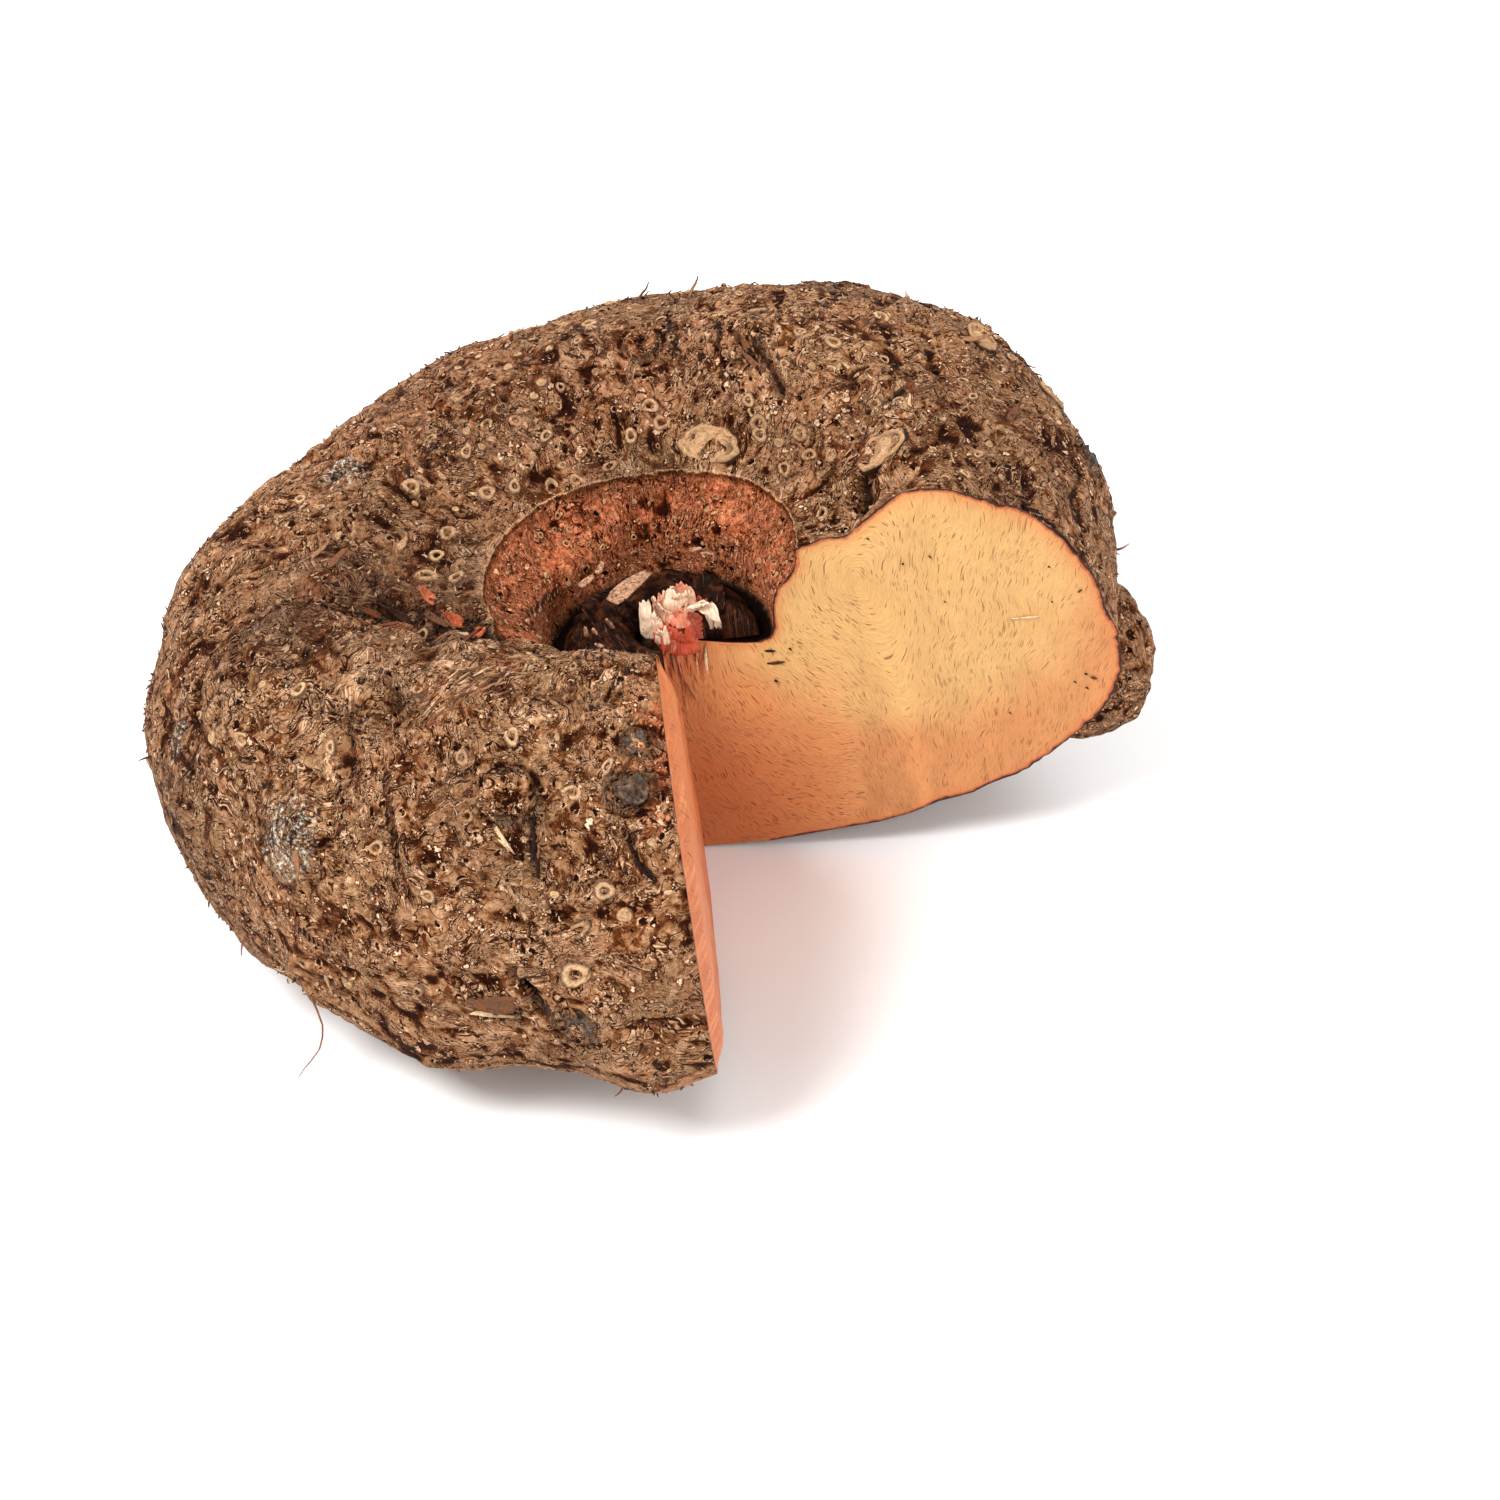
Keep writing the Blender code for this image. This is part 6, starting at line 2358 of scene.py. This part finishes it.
@dataclass
class ShootBud:
    """The stub of the shoot bud, cut by the wedge, with its torn wraps."""

    form: TuberForm
    stance: Stance
    outline: Path = (
        (5.8, -1.5), (6.1, 0.5), (6.3, 2.2), (6.2, 4.2), (5.6, 4.9), (4.8, 5.6), (3.6, 6.0), (2.0, 6.2),
    )
    top: float = 6.1
    columns: int = 60
    margin_deg: float = 0.4
    wraps: tuple[BladeSpec, ...] = (
        BladeSpec(200, 7.4, 77.5, 9.5, 6.0, 84, 0.25, 62, 1.05),
        BladeSpec(228, 6.6, 77.5, 5.0, 3.6, 80, 0.2, 40, 0.8),
        BladeSpec(168, 5.0, 80.0, 6.6, 6.5, 84, 0.2, 40, 0.75),
        BladeSpec(130, 5.2, 80.5, 7.0, 8.0, 92, 0.2, 0, 0.66),
        BladeSpec(86, 5.2, 80.5, 6.8, 8.0, 88, -0.2, 0, 0.62),
        BladeSpec(140, 2.0, 82.0, 6.0, 7.5, 86, 0.3, 120, 0.85),
        BladeSpec(60, 2.2, 81.5, 6.0, 6.5, 84, 0.2, -130, 0.72),
        BladeSpec(262, 2.6, 80.5, 5.2, 6.5, 84, 0.2, 0, 0.55),
        BladeSpec(14, 3.6, 82.6, 6.5, 5.6, 66, -1.0, -70, 0.98),
        BladeSpec(8, 6.2, 83.2, 8.4, 4.4, 52, -2.9, -68, 1.1),
        BladeSpec(290, 1.6, 76.6, 6.5, 8.0, 88, 0.15, 0, 0.2),
        BladeSpec(270, 2.2, 71.5, 8.0, 8.6, 88, 0.05, 0, 0.08),
        BladeSpec(215, 4.6, 73.0, 7.0, 4.4, 88, 0.05, 40, 0.3),
        BladeSpec(44, 6.6, 77.0, 5.0, 6.0, 80, -0.3, 0, 0.2),
    )

    def stub(self, batch: Batch) -> None:
        """Add the stub itself.

        Args:
            batch: Takes the stub.
        """
        azimuth = np.linspace(CUT_RIGHT + self.margin_deg, CUT_LEFT - self.margin_deg, self.columns)
        base = self.form.floor_height
        steps = np.linspace(0, len(self.outline) - 1, 40)
        radius = np.interp(steps, range(len(self.outline)), [point[0] for point in self.outline])
        height = np.interp(steps, range(len(self.outline)), [point[1] for point in self.outline])
        angle = np.radians(azimuth)[:, None]
        wave = 0.3 * np.sin(7 * angle) * np.clip(height / 4, 0, 1)
        ribs = 0.28 * np.sin(2 * pi * height / 1.25 + 0.8 * np.sin(2 * angle)) * np.clip(height, 0, 1)
        around = np.stack([np.cos(angle) + 0 * height, np.sin(angle) + 0 * height], -1)
        rough = 0.45 * noise(np.concatenate([around * 4, (height / 1.2 + 0 * angle)[..., None]], -1), 161)
        full = radius + wave + rough + ribs
        uneven = noise(np.concatenate([around * 3, 0 * rough[..., None]], -1), 162)
        top = base + height + 0.9 * np.clip(height / 8, 0, 1) ** 2 * uneven
        grid = np.stack([full * np.cos(angle), full * np.sin(angle), top], -1)
        rows, columns = grid.shape[:2]
        number = np.arange(rows * columns).reshape(rows, columns)
        foot, tip = rows * columns, rows * columns + 1
        faces = []
        for i in range(rows - 1):
            for j in range(columns - 1):
                faces.append((number[i, j], number[i + 1, j], number[i + 1, j + 1], number[i, j + 1]))
            faces.append((foot, number[i + 1, 0], number[i, 0]))
            faces.append((tip, number[i, -1], number[i + 1, -1]))
        faces.append((foot, *number[0, :], tip))
        faces.append((tip, *number[-1, ::-1], foot))
        points = np.concatenate([grid.reshape(-1, 3), [[0, 0, base + self.outline[0][1]], [0, 0, base + self.top]]])
        points = clear_of_cut(points + (4.4, 0.2, 0.0), 0.0)
        shade = np.clip((points[:, 2] - base - 2) / 16.0, 0, 0.6)
        batch.add(points, faces, flow_a=points[:, 0] * 2, flow_b=points[:, 2], shade=shade)

    def build(self, finish: Material) -> Thing:
        """Build the stub and its wraps as one piece.

        Args:
            finish: What it is made of.

        Returns:
            The object.
        """
        batch = Batch("flow_a", "flow_b", "shade")
        self.stub(batch)
        maker = BladeMaker(
            steps=14, sides=14, thickness=0.5, crinkle=1.3, cup=0.12, taper=0.3, ragged=0.26, clearance=-3.2,
            shift=(5.4, 0.0, -4.6),
        )
        for number, spec in enumerate(self.wraps):
            maker.add(batch, spec, 400 + number)
        return batch.make("bud_stub", self.stance, [finish])


@dataclass
class Studio:
    """A plain pale floor and soft light."""

    floor_half: float = 3.0
    world_strength: float = 0.72

    def area_light(self, name: str, place: tuple, aim: tuple, size: float, power: float) -> None:
        """Add one soft lamp.

        Args:
            name: Its name.
            place: Where it hangs, in metres.
            aim: The point that it faces.
            size: Its width.
            power: Its power in watts.
        """
        data = bpy.data.lights.new(name, "AREA")
        data.size, data.energy = size, power
        lamp = bpy.data.objects.new(name, data)
        lamp.location = place
        way = Vector(aim) - Vector(place)
        lamp.rotation_euler = way.to_track_quat("-Z", "Y").to_euler()
        bpy.context.scene.collection.objects.link(lamp)

    def build(self) -> None:
        """Make the floor, the lamps and the even light of the room."""
        half = self.floor_half
        mesh = bpy.data.meshes.new("floor")
        mesh.from_pydata([(-half, -half, 0), (half, -half, 0), (half, half, 0), (-half, half, 0)], [], [(0, 1, 2, 3)])
        floor = bpy.data.objects.new("floor", mesh)
        floor.location.z = -0.0002
        bpy.context.scene.collection.objects.link(floor)
        material, graph, shader = new_material("pale_floor")
        tint = graph.mix(graph.noise(graph.millimetres(), 0.01), (246, 246, 247), (250, 250, 250))
        graph.feed(shader, {"Base Color": tint, "Roughness": 0.6})
        mesh.materials.append(material)
        self.area_light("key", (-0.6, -0.55, 1.15), (0.0, 0.0, 0.05), 0.45, 19.0)
        self.area_light("fill", (0.95, -0.65, 0.6), (0.0, 0.0, 0.06), 0.7, 5.0)
        self.area_light("back", (0.3, 1.0, 1.0), (0.0, 0.0, 0.08), 0.6, 9.0)
        world = bpy.data.worlds.new("room")
        world.use_nodes = True
        even = {"Color": (1.0, 1.0, 1.0, 1.0), "Strength": self.world_strength}
        Graph(world.node_tree).feed(world.node_tree.nodes["Background"], even)
        bpy.context.scene.world = world
        bpy.context.scene.view_settings.view_transform = "Standard"


def attach(piece: Thing, slot: str, *nodes: str) -> None:
    """Let a piece ride on the yam, and let it stand for its solids.

    Args:
        piece: The piece.
        slot: The slot's name; it is not used.
        nodes: The solids that it stands for.
    """
    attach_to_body(piece, BODY)
    if nodes:
        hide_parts(*nodes)
    LOG.info("%s: %d faces", piece.name, len(piece.data.polygons))


class Shred(NamedTuple):
    """A torn shred at a pixel: its size, its way in the picture, its lift and its colour."""

    pixel: Pair
    length: float
    width: float
    angle_deg: float
    rise_deg: float
    curl: float
    shade: float


@dataclass
class SkinShreds:
    """Torn shreds of skin in the furrow, loose flaps, the straw-like patch on the front lip, and slits painted as
    dark shade with a pale lip.
    """

    grid: SkinGrid
    stance: Stance
    # The shreds in the main furrow are dark red-brown: partly their own colour, partly painted shade of the furrow's
    # hollow.
    shreds: tuple[Shred, ...] = (
        Shred((462, 624), 7.0, 3.2, 170, 40, 0.8, 2.0), Shred((476, 632), 6.5, 3.0, -10, 30, 0.9, 2.0),
        Shred((434, 604), 6.0, 4.0, 160, 25, 0.8, 1.9), Shred((448, 620), 9.0, 1.6, -50, 30, 0.6, 0.6),
        Shred((424, 616), 11.0, 1.8, -40, 20, 0.6, 0.35), Shred((412, 622), 9.0, 2.0, 150, 20, 0.6, 0.2),
        Shred((400, 612), 9.0, 2.4, 160, 25, 0.5, 0.15), Shred((440, 630), 8.0, 2.6, -30, 40, 0.4, 0.1),
        Shred((458, 640), 7.0, 3.0, 10, 40, 0.4, 0.2), Shred((384, 606), 8.0, 1.6, 165, 25, 0.5, 0.4),
        Shred((330, 566), 6.0, 3.0, 30, 30, 0.4, 0.5),
        Shred((312, 560), 7.0, 2.2, 20, 20, 0.4, 0.7), Shred((398, 548), 4.0, 2.0, 40, 40, 0.4, 0.8),
        Shred((516, 1002), 10.0, 6.5, 168, 26, -0.35, 0.42), Shred((512, 1014), 10.0, 2.2, 178, 8, 0.1, 1.0),
        Shred((318, 976), 7.0, 2.6, 10, 25, 0.3, 0.8), Shred((764, 372), 8.0, 1.6, 130, 20, 0.4, 0.6),
        Shred((752, 352), 6.0, 1.8, 120, 25, 0.5, 0.55), Shred((690, 296), 5.0, 1.8, 40, 40, 0.3, 0.7),
        Shred((736, 346), 6.0, 4.5, 20, 35, 0.8, 0.35), Shred((750, 336), 5.5, 4.0, 200, 35, 0.8, 0.3),
        Shred((906, 392), 7.0, 1.6, -10, 20, 0.2, 0.3), Shred((960, 340), 10.0, 1.8, -32, 15, 0.5, 0.7),
        Shred((1044, 536), 8.0, 1.8, -40, 15, 0.4, 0.4), Shred((500, 792), 5.0, 1.4, 15, 20, 0.5, 0.95),
        Shred((486, 800), 5.0, 1.4, 80, 20, 0.5, 0.9), Shred((488, 822), 8.0, 1.8, -50, 15, -0.3, 0.95),
        Shred((300, 850), 7.0, 1.6, -62, 20, 0.2, 0.7), Shred((566, 1010), 4.0, 2.0, 10, 40, 0.3, 0.6),
        Shred((1010, 420), 6.0, 2.0, 60, 25, 0.3, 0.4), Shred((640, 300), 5.0, 2.0, 20, 45, 0.3, 0.5),
    )
    straw_line: Path = ((422, 722), (440, 700), (462, 688), (486, 680), (512, 672))
    straws: int = 110
    # Slits, each a path of pixels and a greatest width: dark sheets of painted shade with a painted highlight on the
    # lip.
    slits: tuple[tuple[Path, float], ...] = (
        (((384, 757), (388, 800), (392, 850), (413, 902)), 1.0), (((531, 812), (534, 845), (535, 880)), 1.5),
        (((622, 826), (638, 860), (656, 886)), 1.3), (((262, 845), (270, 862), (280, 884)), 1.5),
        (((296, 592), (330, 606), (372, 618), (420, 634)), 1.2),
        (((738, 340), (752, 352), (764, 378)), 1.2), (((669, 304), (672, 342), (686, 360)), 0.9),
        (((767, 360), (784, 391)), 1.2), (((1010, 490), (1046, 520), (1078, 552)), 0.8),
        (((556, 590), (530, 612), (516, 640)), 0.7),
        (((346, 720), (352, 752), (350, 790)), 0.7), (((470, 990), (500, 1010), (536, 1008)), 1.4),
        (((224, 612), (236, 640), (232, 676)), 0.8), (((905, 372), (912, 396)), 1.0),
        (((868, 430), (862, 462), (846, 482)), 1.0), (((286, 900), (300, 930), (330, 952)), 0.8),
    )
    slit_step: float = 4.0

    def build(self, finish: Material) -> Thing:
        """Build all shreds as one piece.

        Args:
            finish: What it is made of.

        Returns:
            The object.
        """
        grid = self.grid
        batch = Batch("shade")
        maker = BladeMaker(steps=8, sides=4, thickness=0.4, crinkle=0.5, cup=0.3, taper=0.6, ragged=0.4)
        for path, width in self.slits:
            self.add_slit(batch, path, width)
        for number, shred in enumerate(self.shreds):
            at = grid.nearest(shred.pixel)
            if at is None:
                continue
            points, faces, _, _ = maker.shape(shred.length, shred.width, shred.rise_deg, shred.curl, 500 + number)
            points = points - (0.3, 0, 0.4)
            placed = grid.place_on(*at, points, grid.pixel_spin(at, shred.angle_deg))
            batch.add(placed, faces, shade=shred.shade)
        draw = np.random.default_rng(103)
        flakes = BarkFlakes(grid, self.stance)
        line = np.array(self.straw_line)
        for number in range(self.straws):
            where = draw.uniform(0, len(line) - 1)
            step = int(where)
            pixel = line[step] + (where - step) * (line[min(step + 1, len(line) - 1)] - line[step])
            pixel = pixel + draw.normal(0, 1, 2) * (4, 9)
            at = grid.nearest((float(pixel[0]), float(pixel[1])))
            if at is None:
                continue
            length, width = draw.uniform(3.0, 9.0), draw.uniform(0.3, 1.0)
            points, faces = flakes.ribbon(length, width, draw.uniform(0.1, 0.8), draw.uniform(-3, 3))
            angle = 30 + draw.normal(0, 14) + (0 if draw.random() < 0.6 else 180)
            placed = grid.place_on(*at, points, grid.pixel_spin(at, angle))
            batch.add(placed, faces, shade=float(draw.uniform(0.25, 0.95)))
        return batch.make("skin_shreds", self.stance, [finish])

    def add_slit(self, batch: Batch, path: Path, width: float) -> None:
        """Add a slit: a dark sheet as painted shade, with a pale lip beside it as a painted highlight.

        Args:
            batch: The shreds so far.
            path: Pixels of the photograph that the slit runs through.
            width: Its greatest width in millimetres.
        """
        flakes = BarkFlakes(self.grid, self.stance)
        corners = np.array(path, float)
        passed = np.concatenate([[0], np.cumsum(np.hypot(*np.diff(corners, axis=0).T))])
        steps = np.arange(0, passed[-1], self.slit_step)
        line = np.stack([np.interp(steps, passed, corners[:, k]) for k in (0, 1)], -1)
        for number, (here, then) in enumerate(zip(line, line[1:])):
            at = self.grid.nearest(tuple(here))
            if at is None:
                continue
            spin = self.grid.pixel_spin(at, degrees(atan2(here[1] - then[1], then[0] - here[0])))
            full = width * (0.25 + sin(pi * (number + 0.7) / len(line)))
            # A dark sheet as painted shade in the slit.
            points, faces = flakes.ribbon(2.6, full, 0.22, 0.0)
            points[:, 2] += 0.4
            batch.add(self.grid.place_on(*at, points, spin), faces, shade=0.0)
            # A pale lifted lip as a painted highlight.
            points, faces = flakes.ribbon(1.6, 0.4 * full, 0.5, 0.0)
            points += (0.0, 0.7 * full, 0.45)
            batch.add(self.grid.place_on(*at, points, spin), faces, shade=0.62)


@dataclass
class Rootlets:
    """Thin dry rootlets: a long one at the front, and short stubs on the lower skin."""

    grid: SkinGrid
    stance: Stance
    sides: int = 6
    stubs: int = 46
    hair: Path = (
        (312, 996), (319, 1011), (324, 1025), (324, 1036), (321, 1048), (313, 1059), (306, 1067), (301, 1075),
    )

    def tube(self, batch: Batch, path: Array, thick: float, thin: float, shade: float) -> None:
        """Add one tapering tube along a path.

        Args:
            batch: Takes the tube.
            path: The points that it follows.
            thick: Its radius at the start.
            thin: Its radius at the end.
            shade: Its colour, from dark to pale.
        """
        along = unit(np.gradient(path, axis=0))
        side = unit(np.cross(along, np.array([0.31, 0.17, 0.93])))
        other = np.cross(along, side)
        radius = np.linspace(thick, thin, len(path))[:, None, None]
        turn = 2 * pi * np.arange(self.sides) / self.sides
        ring = side[:, None] * np.cos(turn)[None, :, None] + other[:, None] * np.sin(turn)[None, :, None]
        points = (path[:, None] + radius * ring).reshape(-1, 3)
        faces = ring_faces(len(path), self.sides)
        last = (len(path) - 1) * self.sides
        faces.append(tuple(range(self.sides))[::-1])
        faces.append(tuple(last + i for i in range(self.sides)))
        batch.add(points, faces, shade=shade)

    def free_path(self, start: Array) -> Array:
        """Give the path of the long rootlet that hangs free.

        Args:
            start: The point on the skin where it leaves.

        Returns:
            The path's points.
        """
        right, up, _ = (self.stance.unturn(way) for way in self.grid.photo.axes())
        corners = np.array(self.hair, float) - self.hair[0]
        share, along = np.linspace(0, 1, 26), np.linspace(0, 1, len(corners))
        across, down = (np.interp(share, along, corners[:, k]) for k in (0, 1))
        scale = self.grid.photo.distance / self.grid.photo.focal_pixels
        return start + scale * (np.outer(across, right) - np.outer(down, up))

    def build(self, finish: Material) -> Thing:
        """Build all rootlets as one piece.

        Args:
            finish: What it is made of.

        Returns:
            The object.
        """
        grid = self.grid
        batch = Batch("shade")
        at = grid.nearest(self.hair[0])
        if at is not None:
            self.tube(batch, self.free_path(grid.points[at]), 0.3, 0.1, 0.55)
        draw = np.random.default_rng(111)
        rows = np.broadcast_to(grid.rows[None], grid.shape)
        weight = ease(8.5, 11.5, rows) * ease(15.0, 14.0, rows) * (grid.away_from_cut() > 4)
        for i, j in grid.scatter(weight, self.stubs, 9.0, 112):
            out, around = grid.normal[i, j], grid.around[i, j]
            share = np.linspace(-0.15, 1, 9)[:, None]
            sway = np.cross(out, around) * draw.uniform(-0.6, 0.2) + around * draw.uniform(-0.6, 0.6)
            length = draw.uniform(1.5, 4.0)
            path = grid.points[i, j] + length * (share * out + share**2 * sway)
            self.tube(batch, path, draw.uniform(0.3, 0.55), 0.12, float(draw.uniform(0.1, 0.6)))
        return batch.make("rootlets", self.stance, [finish])


@dataclass
class FleshMarks:
    """The slits, dots and the pale streak that the photograph shows on the wide cut face."""

    grid: SkinGrid
    stance: Stance
    marks: tuple[tuple[float, float, float, float, float, float], ...] = (
        (770, 650, 2.8, 0.8, 8, 0.0), (776, 662, 4.6, 1.0, 12, 0.0), (776, 680, 0.9, 0.8, 30, 0.0),
        (790, 648, 0.8, 0.6, 0, 0.0), (1094, 677, 1.6, 0.9, 0, 0.0), (1086, 673, 0.9, 0.5, 20, 0.0),
        (1087, 687, 0.8, 0.5, 10, 0.0), (903, 563, 1.0, 0.5, 70, 0.1), (930, 556, 0.9, 0.5, -30, 0.0),
        (868, 538, 0.6, 0.5, 0, 0.0), (1049, 566, 0.6, 0.4, 0, 0.0), (1052, 601, 0.5, 0.4, 0, 0.0),
        (945, 601, 0.6, 0.4, 30, 0.0), (1075, 681, 0.7, 0.4, 0, 0.0), (1024, 617, 7.5, 0.7, 12, 1.0),
        (664, 668, 9.0, 0.45, -80, 1.8), (672, 660, 8.0, 0.5, -84, 0.35), (679, 664, 9.0, 0.4, -80, 1.7),
        (688, 662, 7.0, 0.5, -84, 1.9), (697, 664, 8.0, 0.4, -86, 1.6), (706, 660, 9.0, 0.9, -86, 1.2),
        (676, 700, 10.0, 0.3, -66, 0.4), (664, 714, 12.0, 0.3, -76, 0.5), (690, 690, 6.0, 0.25, -70, 0.5),
        (1080, 590, 1.6, 0.3, 60, 0.1), (1010, 712, 0.6, 0.4, 0, 0.1),
    )

    def build(self, finish: Material) -> Thing:
        """Build all marks as one piece.

        Args:
            finish: Their colours.

        Returns:
            The object.
        """
        batch = Batch("shade")
        angle = radians(CUT_RIGHT)
        out = np.array([sin(angle), -cos(angle), 0.0])
        right, top, _ = (self.stance.unturn(way) for way in self.grid.photo.axes())
        start = self.stance.unplace(self.grid.photo.position(self.stance))
        flakes = BarkFlakes(self.grid, self.stance)
        for across, down, length, width, angle_deg, shade in self.marks:
            way = self.stance.unturn(self.grid.photo.ray((across, down)))
            hit = start - way * (start @ out) / (way @ out)
            turn = radians(angle_deg)
            along = right * cos(turn) + top * sin(turn)
            along = unit(along - (along @ out) * out)
            frame_at = np.stack([along, np.cross(out, along), out])
            points, faces = flakes.ribbon(length, width, 0.25 if shade > 1 else 0.12, 0.1 * length)
            batch.add(hit + 0.68 * out + points @ frame_at, faces, shade=shade)
        return batch.make("flesh_marks", self.stance, [finish])


def main() -> None:
    """Build the dressed yam and the studio."""
    logging.basicConfig(level=logging.INFO, format="%(message)s")
    stance, form, photo = Stance(), TuberForm(), PhotoCamera()
    photo.make(stance)
    Effects().build()
    grid = SkinGrid(form, Relief(form), stance, photo, KNOBS)
    skin, scar, flake = SkinFinish().make(), ScarFinish().make(), FlakeFinish().make()
    attach(TuberBody(grid, stance).build(skin, FleshFinish().make()), "corm_skin", "corm")
    attach(RootScars(grid, stance, KNOBS).build(scar), "corm_skin")
    attach(LargeScars(grid, stance).build(scar), "corm_skin")
    attach(Warts(grid, stance, KNOBS).build(WartFinish().make(), skin), "corm_skin")
    attach(BarkFlakes(grid, stance).build(flake), "corm_skin")
    attach(SkinShreds(grid, stance).build(flake), "corm_skin")
    attach(Rootlets(grid, stance).build(flake), "corm_skin")
    attach(FleshMarks(grid, stance).build(flake), "corm_skin")
    attach(DaughterTuber(stance).build(skin), "corm_skin")
    attach(SheathScales(form, stance).build(ScaleFinish().make()), "scale_paper", "sheath_scales")
    attach(ShootBud(form, stance).build(BudFinish().make()), "bud_pink", "shoot_bud")
    Studio().build()


if __name__ == "__main__":
    main()
